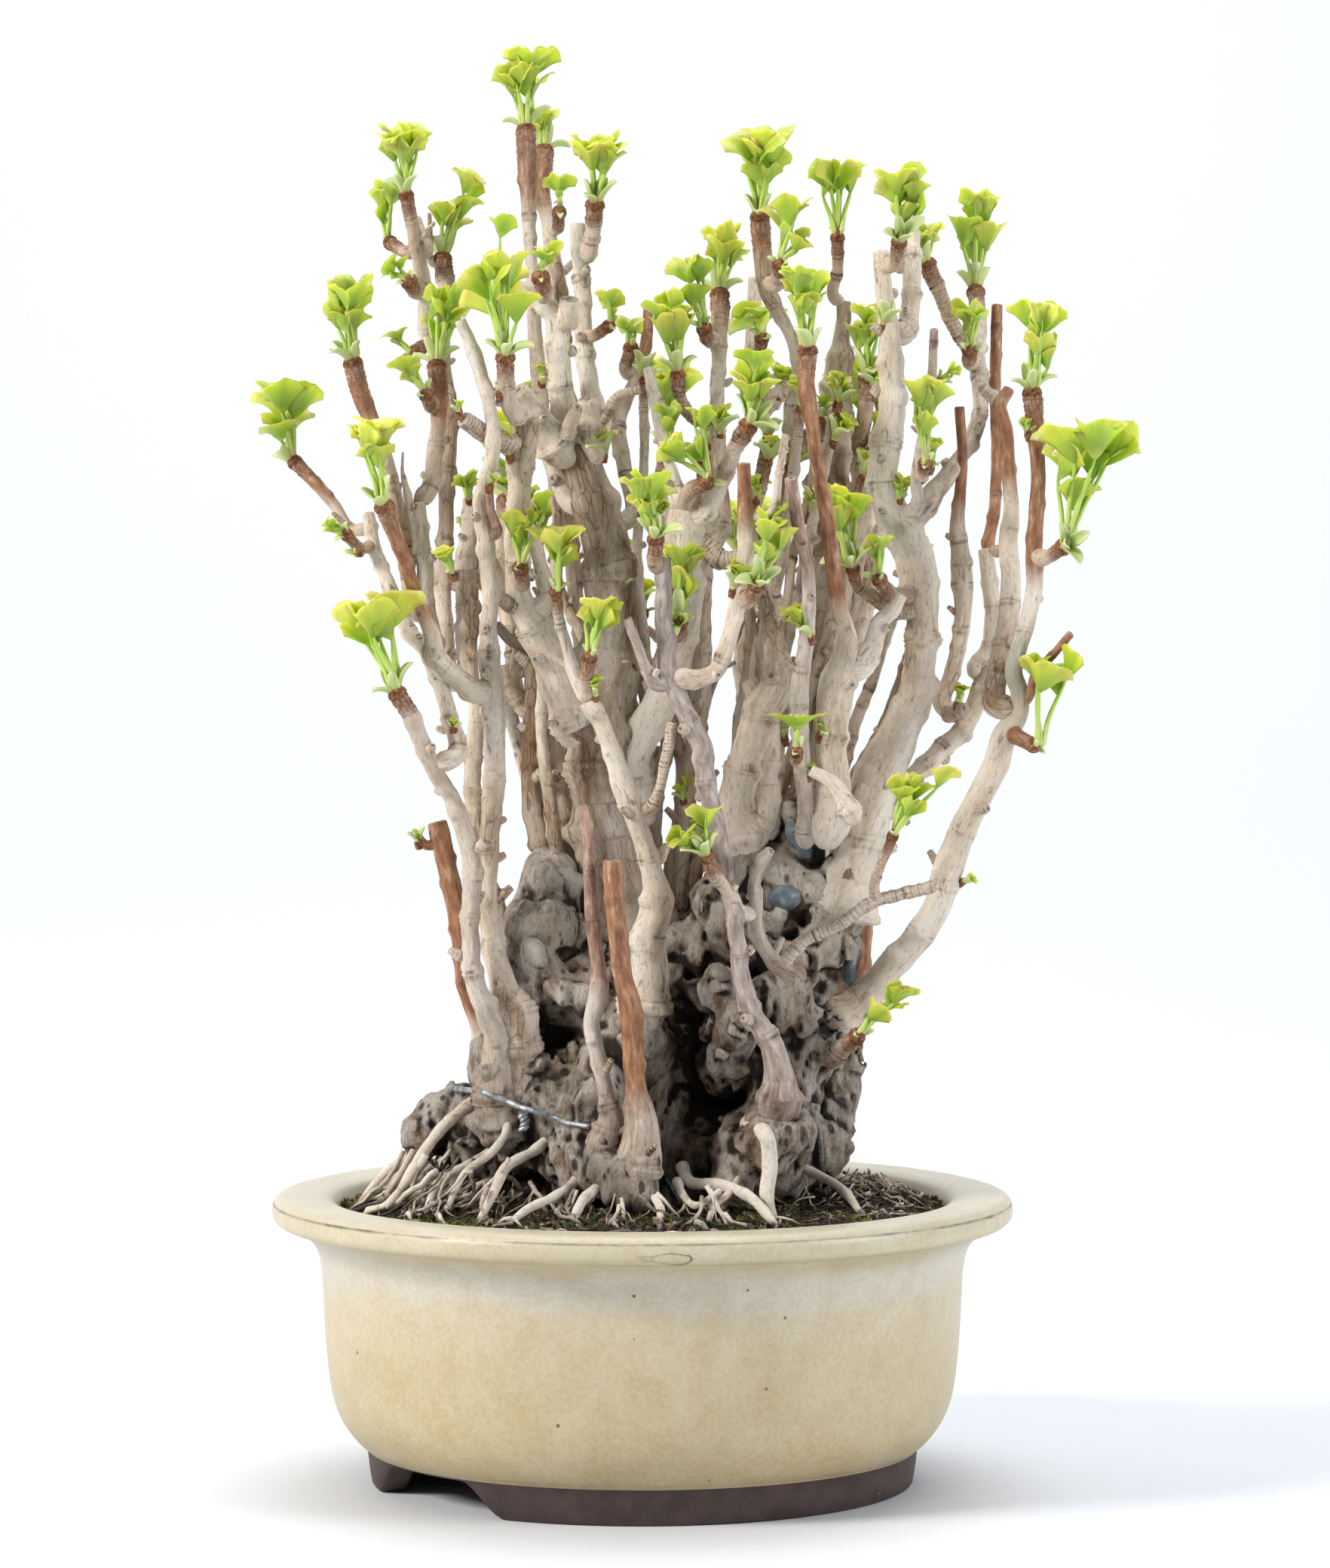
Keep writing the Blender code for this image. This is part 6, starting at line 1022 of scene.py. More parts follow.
    start = YOUNG_FROM.get(name)
    young = np.clip((up - start) / 10.0, 0, 1) if start is not None else np.zeros(len(verts))
    if leafy and widest < 5:
        young = np.maximum(young, spread(np.clip((away - (length - 26)) / 24, 0, 0.34), 0.34))
    fresh = np.clip((away - (length - 8)) / 5, 0.10, 0.95) if leafy else np.full(len(away), 0.14)
    low_dirt = np.clip((152 - up) / 60, 0, 0.35) * (widest < 12)
    cracks = np.clip(rough(flat / np.array((0.9, 0.9, 5.0))) - 0.45, 0, 1) * 0.6 * old
    # Painted shade: darker in the grooves between bud-scale rings, in wrinkle troughs and in wrinkled bands; the real
    # leaf scars and dark crack lines are added to it.
    shade = (ringing[:, None] * np.clip(0.32 - saw, 0, 1) * 1.5 + 0.45 * np.clip(-wrinkle - 0.45, 0, 1)
        + 0.35 * np.clip(bands, 0, 1)[:, None] * np.clip(wavy, 0, 1) + 0.8 * scars[:, None]
        * np.clip(0.55 + wavy, 0, 1)) + cracks.reshape(len(rows), columns)
    pith = np.concatenate([np.full(len(rows) * columns, rows[-1, 3]), np.repeat(CAP_SHRINKS, columns) * rows[-1, 3],
        [0.0, 0.0]])
    values = {"grain": grain_all / np.array((1.0, 1.0, 3.6)), "dirt_and_shade": np.clip(spread(shade) + low_dirt, 0, 1),
        "young": young, "plum": np.full(len(verts), PLUM.get(name, 0.0)), "ringed": spread(ringing * fresh),
        "rugged": np.full(len(verts), 0.6 if name in ("trunk", "shade", "dead", "lichen") else 0.15),
        "tone_and_hollow_shade": np.full(len(verts), TONE.get(name, float(dice.uniform(-0.2, 0.25)))), "pith": pith}
    return verts, faces, bare, values


# Bare wood at a pruned end: pale and dry, with faint year rings and a dark pith, chalky at the edge.
bare_wood, tree, shader = start_material("pruned_end_grain")
grain = add(tree, "Attribute", attribute_name="grain", out="Vector")
pith = add(tree, "Attribute", attribute_name="pith", out="Fac")
weather = add(tree, "TexNoise", grain, Scale=0.9, Detail=4.0)
weather_tint = add(tree, "ValToRGB", weather, stops=[(0.3, "#8F7F6D"), (0.7, "#D6CCBE")])
year = add(tree, "Math", weather, 1.6, pith, operation="MULTIPLY_ADD")
year_turn = add(tree, "Math", year, 9.5, operation="MULTIPLY")
year_wave = add(tree, "Math", year_turn, operation="SINE")
year_share = add(tree, "MapRange", year_wave, 0.2, 1, 0, 0.5)
year_tint = add(tree, "Mix", year_share, weather_tint, "#7E6A55")
pith_share = add(tree, "MapRange", pith, 0.75, 0.35, 0, 0.8)
pith_tint = add(tree, "Mix", pith_share, year_tint, "#4A382A")
year_bump = add(tree, "Bump", Height=year_wave, Strength=0.3, Distance=0.0003)
feed(shader, Base_Color=pith_tint, Roughness=0.9, Normal=year_bump)


BRANCH_PIECES = 5


def make_stems(name, shapes):
    """One piece from the shapes of several stems."""
    points, faces, bare, values = [], [], [], {}
    count = 0
    for verts, some, open_wood, read in shapes:
        points.append(verts)
        faces += [tuple(corner + count for corner in face) for face in some]
        bare += open_wood
        for key, value in read.items():
            values.setdefault(key, []).append(value)
        count += len(verts)
    thing = make_piece(name, np.vstack(points), faces)
    for key, value in values.items():
        mark(thing, key, np.concatenate(value))
    thing.data.materials.append(bark)
    thing.data.materials.append(bare_wood)
    thing.data.polygons.foreach_set("material_index", np.array(bare, dtype=np.int32))
    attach(thing, "root")
    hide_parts("tree")
    return thing


dice = default_rng(61)
for number in range(30):
    # Thin stems behind, each rising from the back of the burl with an elbow or two.
    tip = -58 + 158 * (number + 0.5) / 30 + float(dice.uniform(-4, 4))
    high = float(dice.uniform(300, 398)) - 0.45 * abs(tip - 24)
    far = float(dice.uniform(14, 46))
    knots, rise, wide = [(0.36 * tip, 176.0, float(dice.uniform(2.4, 3.6)))], 176.0, 2.6
    while rise < high - 24:
        rise += float(dice.uniform(20, 34))
        share = min((rise - 176) / (high - 176), 1.0)
        wide = knots[0][2] * (1 - 0.5 * share)
        knots.append((tip * (0.36 + 0.64 * share ** 0.75) + float(dice.normal(0, 2.2)), rise, wide))
    EXTRA_STEMS.append(("rear_s%d" % number, None, float(dice.uniform(4, 16)), far, knots))
STEMS += EXTRA_STEMS
all_lines = lay_stems()
numbered = [(name, line, number) for number, (name, line) in enumerate(all_lines.items())]
bearers = [(name, flow(line, 1.0)) for name, line, _ in numbered if name not in RINGED_ALL]
for name, line in bearers:
    dice = default_rng(900 + len(numbered))
    at = int(dice.integers(8, 22))
    while at < len(line) - 12:
        if 1.5 < line[at, 3] < 9 and (name not in YOUNG_FROM or line[at, 2] < YOUNG_FROM[name]):
            way = unit(line[at + 1, :3] - line[at - 1, :3])
            side = unit(np.cross(way, dice.normal(size=3)))
            wide = float(dice.uniform(0.85, 1.5)) * min(line[at, 3] / 2.6, 1.25)
            long = float(dice.choice((1.2, 2.2, 4.2), p=(0.4, 0.4, 0.2))) * float(dice.uniform(0.8, 1.3))
            foot = line[at, :3] + side * line[at, 3] * 0.6
            tip = line[at, :3] + side * (line[at, 3] + long) + way * long * 0.7 + np.array((0, 0, 0.3 * long))
            stub = np.array([[*foot, wide * 0.9], [*((foot + tip) / 2), wide], [*tip, wide * 0.8]])
            numbered.append(("spur_%d" % len(numbered), stub, len(numbered)))
        at += int(dice.integers(13, 34))
shapes = [shape_stem(*row) for row in sorted(numbered, key=lambda row: float(row[1][:, 0].mean()))]
filled = np.cumsum([len(shape[1]) for shape in shapes])
share_of = (filled - 1) * BRANCH_PIECES // filled[-1]
for number in range(BRANCH_PIECES):
    make_stems("branches_%d" % (number + 1), [shape for shape, part in zip(shapes, share_of) if part == number])

# Surface roots: wiry roots that leave the burl, run over the soil and dive into it, with finer ones matted between
# them; a dry mat of cut root hair is heaped on the right. They are round, pale and dull, brown near the soil.
ROOT_PATHS = [
    [(-57, 128, -14, 2.1), (-66, 121, -20, 1.9), (-74, 111, -26, 1.8), (-80, 101, -32, 1.6), (-86, 93, -38, 1.3)],
    [(-50, 112, -18, 1.8), (-60, 106, -28, 1.7), (-69, 101, -36, 1.4), (-73, 91, -44, 1.2)],
    [(-36, 112, -34, 1.9), (-46, 106, -42, 1.8), (-50, 98, -52, 1.6), (-55, 88, -60, 1.3)],
    [(-62, 100, -8, 2.4), (-72, 98, -20, 2.1), (-82, 94, -30, 1.9), (-93, 91, -34, 1.4)],
    [(-46, 126, -22, 1.6), (-46, 118, -32, 1.4), (-51, 111, -38, 1.4), (-60, 104, -44, 1.2), (-66, 92, -50, 1.0)],
    [(16, 101, -42, 2.1), (26, 100, -50, 2.0), (36, 96, -58, 1.8), (42, 90, -66, 1.6), (46, 84, -70, 1.3)],
    [(14, 96, -52, 1.3), (19, 93, -60, 1.2), (26, 98, -60, 1.0)],
    [(42, 116, -50, 2.4), (43, 106, -52, 2.4), (42, 96, -56, 2.2), (44, 88, -60, 1.8)],
    [(-24, 100, -46, 1.6), (-30, 96, -56, 1.5), (-40, 91, -66, 1.3), (-46, 86, -72, 1.0)],
    [(-14, 100, -50, 2.1), (-20, 95, -60, 1.8), (-24, 87, -68, 1.4)],
    [(2, 98, -54, 1.6), (6, 92, -64, 1.4), (6, 85, -72, 1.1)],
    [(-74, 112, 2, 1.9), (-84, 106, 0, 1.8), (-92, 98, -4, 1.4), (-97, 91, -6, 1.1)],
    [(-66, 108, 18, 2.4), (-76, 102, 26, 2.1), (-86, 94, 34, 1.6)],
    [(-40, 104, 34, 2.9), (-50, 99, 48, 2.4), (-58, 92, 60, 1.8)],
    [(-10, 104, 44, 2.7), (-14, 99, 58, 2.2), (-12, 91, 72, 1.6)],
    [(26, 106, 42, 2.9), (36, 100, 54, 2.4), (48, 92, 66, 1.6)],
    [(56, 106, 20, 2.7), (68, 101, 30, 2.2), (80, 92, 40, 1.6)],
    [(60, 104, -6, 2.2), (72, 100, -10, 1.9), (84, 93, -16, 1.4)],
    [(58, 104, -22, 1.6), (68, 98, -34, 1.5), (74, 90, -44, 1.2)],
    [(32, 104, -44, 1.4), (30, 98, -54, 1.2), (24, 92, -62, 1.1), (22, 86, -70, 1.0)],
]


def ground(x, y):
    """Height of the finished ground, with the heap of root hair on the right."""
    return soil_height(x, y) + 5.0 * exp(-((x - 76) / 15) ** 2 - ((y + 4) / 26) ** 2)


def wander(start, turn, length, radius, climb, dice, twist=0.26):
    """A root's line over the ground: it hugs the soil, twists a little, and dives in at its end."""
    rows = []
    x, y = start
    count = max(int(length / 2.6), 4)
    for number in range(count + 1):
        share = number / count
        lift = climb * (1 - share) ** 2 + radius * 1.1 + 1.1 * sin(share * 9 + turn * 5) * (1 - share)
        z = ground(x, y) + lift - 3.4 * max(0.0, share - 0.82) / 0.18
        rows.append((x, y, z, radius * (1 - 0.5 * share)))
        turn += float(dice.normal(0, twist))
        x += cos(turn) * length / count
        y += sin(turn) * length / count
        away = hypot(x, y)
        if away > 100.0:
            x, y = x * 100.0 / away, y * 100.0 / away
    return np.array(rows)


root_lines = []
for path in ROOT_PATHS:
    across, up, depth, radius = path[0]
    inward = 0.45 if depth > 10 else 0.78
    path = [(across * (0.84 if depth < 10 else 0.6), up + 5, depth * inward, radius * 1.3)] + path
    root_lines.append(flow(np.array([[*seen(a, u, d), r] for a, u, d, r in path]), 1.5))
dice = default_rng(41)
for number in range(240):
    front = dice.random() < 0.62
    turn = float(dice.uniform(pi * 0.86, pi * 1.72)) if front else float(dice.uniform(0, 2 * pi))
    reach = float(dice.uniform(44, 93))
    start = (-4 + reach * cos(turn), -4 + reach * sin(turn))
    size = float(dice.choice((0.3, 0.5, 0.8, 1.15), p=(0.42, 0.33, 0.18, 0.07)))
    if hypot(*start) < 96:
        root_lines.append(wander(start, turn + float(dice.normal(0, 0.8)), float(dice.uniform(8, 30)), size,
            float(dice.uniform(0, 8)) * (reach < 66) + float(dice.uniform(0, 2)), dice))
for number in range(90):
    turn = float(dice.uniform(2.75, 4.15))
    reach = float(dice.uniform(58, 76))
    start = (-6 + reach * cos(turn), -4 + 0.86 * reach * sin(turn))
    root_lines.append(wander(start, turn + float(dice.normal(0, 0.7)), float(dice.uniform(18, 34)),
        float(dice.choice((0.5, 0.8, 1.2), p=(0.5, 0.35, 0.15))), float(dice.uniform(4, 18)), dice, 0.55))
for number in range(520):
    x, y = float(dice.normal(76, 11)), float(dice.normal(-6, 26))
    heap = exp(-((x - 74) / 14) ** 2 - ((y + 6) / 26) ** 2)
    if hypot(x, y) < 97 and x > 40:
        root_lines.append(wander((x, y), float(dice.uniform(0, 6.28)), float(dice.uniform(8, 22)),
            float(dice.uniform(0.22, 0.46)), float(dice.uniform(0, 5)) * heap + 0.8, dice, 0.75))
root_points, root_faces, root_tone, root_dirt = [], [], [], []
for number, line in enumerate(root_lines):
    columns = 12 if line[0, 3] > 1.5 else 7 if line[0, 3] > 0.7 else 5
    knots = rough(np.column_stack([line[:, 0] / 3.1, line[:, 1] / 3.1, np.full(len(line), number * 1.7)]))
    radii = np.repeat((line[:, 3] * (1 + 0.2 * knots))[:, None], columns, 1)
    laid, along = lay_rings(line[:, :3], radii, columns)
    first = sum(len(part) for part in root_points)
    root_points.append(np.vstack([laid.reshape(-1, 3), line[:1, :3], line[-1:, :3] + along[-1:] * line[-1, 3]]))
    root_faces += tube_faces(len(line), columns, first)
    root_tone += [float(dice.uniform(-0.4, 0.8)) + 0.7 * (line[0, 3] > 0.7)] * len(root_points[-1])
    earthy = float(dice.choice((0.0, 0.35, 0.6), p=(0.34, 0.36, 0.3))) * (line[0, 3] < 1.3)
    root_dirt += [earthy] * len(root_points[-1])
root_points = np.vstack(root_points)
above = root_points[:, 2] - np.array([ground(x, y) for x, y, _ in root_points])
roots = make_piece("surface_roots", root_points, root_faces)
mark(roots, "grain", root_points * 1.6)
mark(roots, "dirt_and_shade", np.clip(0.85 - above / 3.4, 0, 0.85) + 0.3 * rough(root_points / 6.0).clip(0, 1)
    + np.array(root_dirt))
mark(roots, "tone_and_hollow_shade", np.array(root_tone))
mark(roots, "young", np.clip(0.3 * rough(root_points / 14.0), 0, 0.3))
roots.data.materials.append(bark)
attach(roots, "root")

# Top dressing: broken akadama and pumice crumbs between the roots, and cushions of moss where it stays damp.
# Both are strewn over the soil at random with a fixed seed.


def strewing(name, crumb, spacing, seed, material, keep="open"):
    """Geometry Nodes that strew a small shape over a surface, turned and sized at random."""
    tree = bpy.data.node_groups.new(name, "GeometryNodeTree")
    tree.interface.new_socket("Geometry", in_out="INPUT", socket_type="NodeSocketGeometry")
    sizes = {}
    for label, value in (("Spacing", spacing * MM), ("Smallest", 0.6), ("Largest", 1.5)):
        sizes[label] = tree.interface.new_socket(label, in_out="INPUT", socket_type="NodeSocketFloat")
        sizes[label].default_value = value
    tree.interface.new_socket("Geometry", in_out="OUTPUT", socket_type="NodeSocketGeometry")
    given = add(tree, "NodeGroupInput", out=None).outputs
    chosen = add(tree, "InputNamedAttribute", keep, data_type="FLOAT")
    picked = add(tree, "Math", chosen, 0.5, operation="GREATER_THAN")
    spots = add(tree, "DistributePointsOnFaces", given["Geometry"], Selection=picked, Distance_Min=given["Spacing"],
        Density_Max=3.0e6 / spacing ** 2, Seed=seed, distribute_method="POISSON", out=None)
    shape = add(tree, "GeometryNodeObjectInfo", crumb, out="Geometry")
    spin = add(tree, "RandomValue", (-0.5, -0.5, 0.0), (0.5, 0.5, 6.28), Seed=seed + 1, data_type="FLOAT_VECTOR")
    size = add(tree, "RandomValue", given["Smallest"], given["Largest"], Seed=seed + 2, data_type="FLOAT")
    put = add(tree, "InstanceOnPoints", spots.outputs["Points"], Instance=shape, Rotation=spin, Scale=size)
    real = add(tree, "RealizeInstances", put)
    finished = add(tree, "SetMaterial", Geometry=real, Material=material)
    add(tree, "NodeGroupOutput", Geometry=finished, out=None)
    return tree, {label: socket.identifier for label, socket in sizes.items()}


def strew(name, ground_piece, crumb, spacing, sizes, seed, material, keep="open"):
    """Strews a shape over a piece and returns what was strewn as a plain mesh of its own."""
    tree, sockets = strewing(name, crumb, spacing, seed, material, keep)
    layer = ground_piece.modifiers.new(name, "NODES")
    layer.node_group = tree
    layer[sockets["Smallest"]], layer[sockets["Largest"]] = sizes
    bpy.context.view_layer.update()
    mesh = bpy.data.meshes.new_from_object(ground_piece.evaluated_get(bpy.context.evaluated_depsgraph_get()))
    ground_piece.modifiers.remove(layer)
    bpy.data.objects.remove(crumb)
    thing = bpy.data.objects.new(name, mesh)
    mesh.name = name
    bpy.context.scene.collection.objects.link(thing)
    return thing


def crumb_shape(name, size, seed, material):
    """A small broken stone, about size mm across."""
    work = bmesh.new()
    bmesh.ops.create_icosphere(work, subdivisions=1, radius=size / 2 * MM)
    some = default_rng(seed)
    for vert in work.verts:
        vert.co *= float(some.uniform(0.7, 1.15))
        vert.co.z *= 0.8
    mesh = bpy.data.meshes.new(name)
    work.to_mesh(mesh)
    work.free()
    mesh.materials.append(material)
    return bpy.data.objects.new(name, mesh)


def tuft_shape(name, size, seed, material):
    """A tuft of moss about size mm across: pointed leaflets standing out from one spot."""
    some = default_rng(seed)
    points, faces = [], []
    for _ in range(9):
        turn, lean = some.uniform(0, 6.28), some.uniform(0.1, 1.2)
        way = np.array((cos(turn) * sin(lean), sin(turn) * sin(lean), cos(lean)))
        side = unit(np.cross(way, (0.3, 0.2, 0.9))) * size * 0.09
        other = unit(np.cross(way, side)) * size * 0.09
        first = len(points)
        points += [side, -0.5 * side + other, -0.5 * side - other, way * size * 0.5 * some.uniform(0.7, 1.2)]
        faces += [(first, first + 1, first + 3), (first + 1, first + 2, first + 3), (first + 2, first, first + 3),
            (first + 2, first + 1, first)]
    mesh = bpy.data.meshes.new(name)
    mesh.from_pydata((np.array(points) * MM).tolist(), [], faces)
    mesh.materials.append(material)
    return bpy.data.objects.new(name, mesh)


wet = rough(soil_points / 12.0 + 4.0) + 0.5 * rough(soil_points / 5.0)
wet = wet + 0.7 * np.exp(-((soil_points[:, 0] - 78) / 14) ** 2 - ((soil_points[:, 1] + 2) / 26) ** 2)
top = np.arange(len(soil_points)) < soil_top
mark(soil, "open", (top & (wet < 0.35)).astype(float))
mark(soil, "moss", (top & (wet > 0.12) & (np.hypot(soil_points[:, 0], soil_points[:, 1]) > 40)).astype(float))

# Akadama crumbs: baked clay, rust to ochre, with some grey pumice and bark bits; dusty and matt.
akadama, tree, shader = start_material("akadama_and_pumice_crumbs")
place = add(tree, "TexCoord", out="Object")
kind = add(tree, "TexVoronoi", place, Scale=380.0, out="Color")
kind_value = add(tree, "SeparateColor", kind)
kind_tint = add(tree, "ValToRGB", kind_value, stops=[(0.0, "#1B120C"), (1.0, "#B9A789"), (0.30, "#2E2016"),
    (0.55, "#573620"), (0.75, "#7E5630"), (0.9, "#5E5346")])
feed(shader, Base_Color=kind_tint, Roughness=0.95)
crumbs_piece = strew("akadama_crumbs", soil, crumb_shape("crumb", 3.0, 5, akadama), 2.3, (0.35, 1.0), 7, akadama)
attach(crumbs_piece, "root")

# Moss: short bright and olive leaflets, dry ochre at some tips; soft and matt.
moss, tree, shader = start_material("moss")
place = add(tree, "TexCoord", out="Object")
moss_patch = add(tree, "TexNoise", place, Scale=90.0, Detail=4.0)
moss_tint = add(tree, "ValToRGB", moss_patch, stops=[(0.32, "#1E280C"), (0.68, "#9C9255"), (0.46, "#44521A"),
    (0.57, "#6F7430")])
feed(shader, Base_Color=moss_tint, Roughness=0.9)
moss_piece = strew("moss_cushions", soil, tuft_shape("tuft", 5.0, 6, moss), 2.4, (0.5, 1.2), 17, moss, "moss")
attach(moss_piece, "root")

# Tie wire: 2 mm galvanised steel wire laid over the front of the burl, with its twisted end hanging down, and two
# thinner ends lower down. Zinc gone dull grey, with bright spots where it has been rubbed.
WIRE_VIEW = [(-64, 133), (-58, 132), (-52, 131), (-45, 128), (-40, 126), (-36, 125), (-30, 123), (-24, 121),
    (-18, 120)]
TWIST = [(-39.5, 126), (-40.5, 123.5), (-39.5, 121), (-40.5, 118.5)]
THIN_WIRES = [[(4, 109), (8, 102), (12, 95), (16, 88), (17, 85)], [(60, 116), (60.5, 108), (60, 100), (59, 95)]]


def on_wood(across, up, off):
    """The point seen at across and up on the front of the wood, held off it by off."""
    for depth in np.arange(-74.0, 20.0, 0.4):
        if field_at(seen(across, up, depth)[None])[0] < off:
            break
    return seen(across, up, depth)


wire_spots = []
node_spots = np.array([[*(vertex.co * 1000.0)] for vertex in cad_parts["tie_wire"].data.vertices]) + POT_MIDDLE
for across, up in WIRE_VIEW:
    rough_spot = seen(across, up, -30.0)
    close = node_spots[np.hypot(node_spots[:, 0] - rough_spot[0], node_spots[:, 2] - rough_spot[2]) < 3.5]
    spot = seen(across, up, float(close[:, 1].mean()) if len(close) else -30.0)
    while field_at(spot[None])[0] < 1.1:
        spot[1] -= 0.25
    wire_spots.append([*spot, 1.0])
strands = [flow(np.array(wire_spots), 0.8)]
twist_line = flow(np.array([[*on_wood(a, u, 2.2), 0.0] for a, u in TWIST]), 0.35)[:, :3]
swing = np.arange(len(twist_line)) * 0.62
for side in (0, pi):
    round_it = np.column_stack([np.cos(swing + side), -0.7 * np.sin(swing + side), 0 * swing])
    strands.append(np.column_stack([twist_line + 0.95 * round_it, np.full(len(twist_line), 0.85)]))
for path in THIN_WIRES:
    strands.append(flow(np.array([[*on_wood(a, u, 1.4), 0.7] for a, u in path]), 0.9))
wire_points, wire_faces = [], []
for strand in strands:
    laid, along = lay_rings(strand[:, :3], np.repeat(strand[:, 3:4], 12, 1), 12)
    wire_faces += tube_faces(len(strand), 12, sum(len(part) for part in wire_points))
    wire_points.append(np.vstack([laid.reshape(-1, 3), strand[:1, :3] - along[:1] * 0.3,
        strand[-1:, :3] + along[-1:] * 0.3]))
wire = make_piece("galvanised_tie_wire", np.vstack(wire_points), wire_faces)
zinc, tree, shader = start_material("dull_galvanised_steel")
place = add(tree, "TexCoord", out="Object")
bloom = add(tree, "TexNoise", place, Scale=420.0, Detail=5.0)
bloom_tint = add(tree, "ValToRGB", bloom, stops=[(0.32, "#5C6163"), (0.66, "#C3C9CC"), (0.5, "#949B9F")])
zinc_gloss = add(tree, "MapRange", bloom, 0, 1, 0.62, 0.4)
feed(shader, Base_Color=bloom_tint, Metallic=0.55, Roughness=zinc_gloss)
wire.data.materials.append(zinc)
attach(wire, "root")
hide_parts("tie_wire")

# Wound paste: grey-blue putty pressed over pruning cuts with a thumb, domed and smooth, with a dusty bloom.
PASTE = [(48, 197, 5.6, 4.4, 0.0), (52.5, 217, 3.4, 7.4, -0.5), (70, 174, 2.2, 6.0, 0.1), (-14, 180, 3.6, 3.0, 0.3),
    (34, 189, 2.6, 2.2, 0.0)]
paste_points, paste_faces = [], []
for number, (across, up, wide, tall, turn) in enumerate(PASTE):
    middle = on_wood(across, up, 0.3)
    out = unit(field_slope(middle[None])[0] + (0, -1.2, 0))
    side = unit(np.cross(out, (sin(turn), 0, cos(turn))))
    top = np.cross(side, out)
    count = sum(len(part) for part in paste_points)
    rings, columns = 9, 22
    dome = []
    for ring in range(1, rings + 1):
        lean = pi * ring / (rings + 1)
        for step in range(columns):
            turned = 2 * pi * step / columns
            dome.append(cos(lean) * out * 2.6 + sin(lean) * (cos(turned) * side * wide + sin(turned) * top * tall))
    dome = np.array(dome + [out * 2.6, -out * 2.6])
    dome = dome * (1 + 0.16 * rough(dome / 2.6 + 3 * number))[:, None] + middle
    paste_points.append(dome)
    paste_faces += [(face[0], *face[:0:-1]) for face in tube_faces(rings, columns, count)]
paste_piece = make_piece("wound_paste", np.vstack(paste_points), paste_faces)
putty, tree, shader = start_material("grey_wound_paste")
place = add(tree, "TexCoord", out="Object")
dust = add(tree, "TexNoise", place, Scale=260.0, Detail=6.0)
dust_tint = add(tree, "ValToRGB", dust, stops=[(0.36, "#4C595F"), (0.72, "#A4ADAE"), (0.55, "#6A787E")])
dust_bump = add(tree, "Bump", Height=dust, Strength=0.35, Distance=0.0006)
feed(shader, Base_Color=dust_tint, Roughness=0.5, Normal=dust_bump)
paste_piece.data.materials.append(putty)
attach(paste_piece, "root")

# Leaf sprays: each bud on a ringed spur opens into spoon-shaped pale scales and a bunch of young fan leaves on
# slim stalks. The blades are thin, ruffled and still half rolled. Their places follow the part's own sprays.
BALLS = np.array([[*seen(a, u, d), r] for a, u, d, r in BURL_LUMPS])


def thin_out(axis, tolerance):
    """The line with the points left out that lie within tolerance of the line between their neighbours."""
    keep = {0, len(axis) - 1}
    spans = [(0, len(axis) - 1)]
    while spans:
        first, last = spans.pop()
        if last - first < 2:
            continue
        line = axis[last] - axis[first]
        offsets = axis[first + 1:last] - axis[first]
        shares = np.clip(offsets @ line / max(float(line @ line), 1e-9), 0, 1)
        gaps = norm(offsets - shares[:, None] * line, axis=1)
        worst = int(np.argmax(gaps))
        if gaps[worst] > tolerance:
            middle = first + 1 + worst
            keep.add(middle)
            spans += [(first, middle), (middle, last)]
    return axis[sorted(keep)]


def plain_axis(name, axis):
    """The stem's line as the part's solid has it."""
    if name in TIPS_WITH_LEAVES:
        return np.vstack([thin_out(axis[:-1], 2.0), axis[-1:]])
    return thin_out(axis, 2.0)


def leaf_shape(base, tip, out, width, roll, seed):
    """The bones of a fan leaf: base, knee, tip, the three directions at the knee and the rim's turn."""
    reach = tip - base
    blade = min(0.64 * float(norm(reach)), 1.2 * width + 1.5)
    knee = tip - unit(reach) * blade
    knee = knee + out * 0.05 * float(norm(reach)) - np.array((0, 0, 0.3))
    way = unit(tip - knee)
    side = unit(np.cross(way, out))
    face = unit(np.cross(side, way))
    radius = width / 2 / sin(min(roll, pi / 2))
    dice = default_rng(seed)
    return {"base": base, "knee": knee, "tip": tip, "way": way, "side": side, "face": face, "width": width,
        "radius": radius, "roll": roll, "wave": dice.uniform(0, 6.28, 3), "curl": dice.choice((-1, 1))}


def leaf_rim(leaf, place):
    """A point on the blade's rim, for place from -1 to 1 along it."""
    turn = place * leaf["roll"]
    facing = cos(turn) * leaf["face"] + sin(turn) * leaf["side"]
    rim = leaf["tip"] + leaf["radius"] * (facing - leaf["face"])
    if leaf["curl"] < 0:
        shift = float((rim - leaf["tip"]) @ leaf["face"])
        rim = rim - 2 * shift * leaf["face"]
        facing = cos(turn) * leaf["face"] - sin(turn) * leaf["side"]
    length = float(norm(rim - leaf["knee"]))
    notch = 0.16 * exp(-(place * 5.0) ** 2)
    wave = 0.05 * sin(6.0 * place + leaf["wave"][0]) + 0.03 * sin(13.0 * place + leaf["wave"][1])
    rim = leaf["knee"] + (rim - leaf["knee"]) * (1.0 - 0.2 * place * place - notch + wave)
    return rim + facing * 0.07 * length * sin(8.0 * place + leaf["wave"][2])


def leaf_samples(leaf):
    """Points spread over a leaf, for measuring how far it stays from other things."""
    spots = [leaf["base"] + (leaf["knee"] - leaf["base"]) * share for share in (0.15, 0.3, 0.5, 0.7, 0.9)]
    for place in (-1.0, -0.5, 0.0, 0.5, 1.0):
        rim = leaf_rim(leaf, place)
        for share in (0.4, 0.7, 1.0):
            spots.append(leaf["knee"] + (rim - leaf["knee"]) * share)
    return np.array(spots)


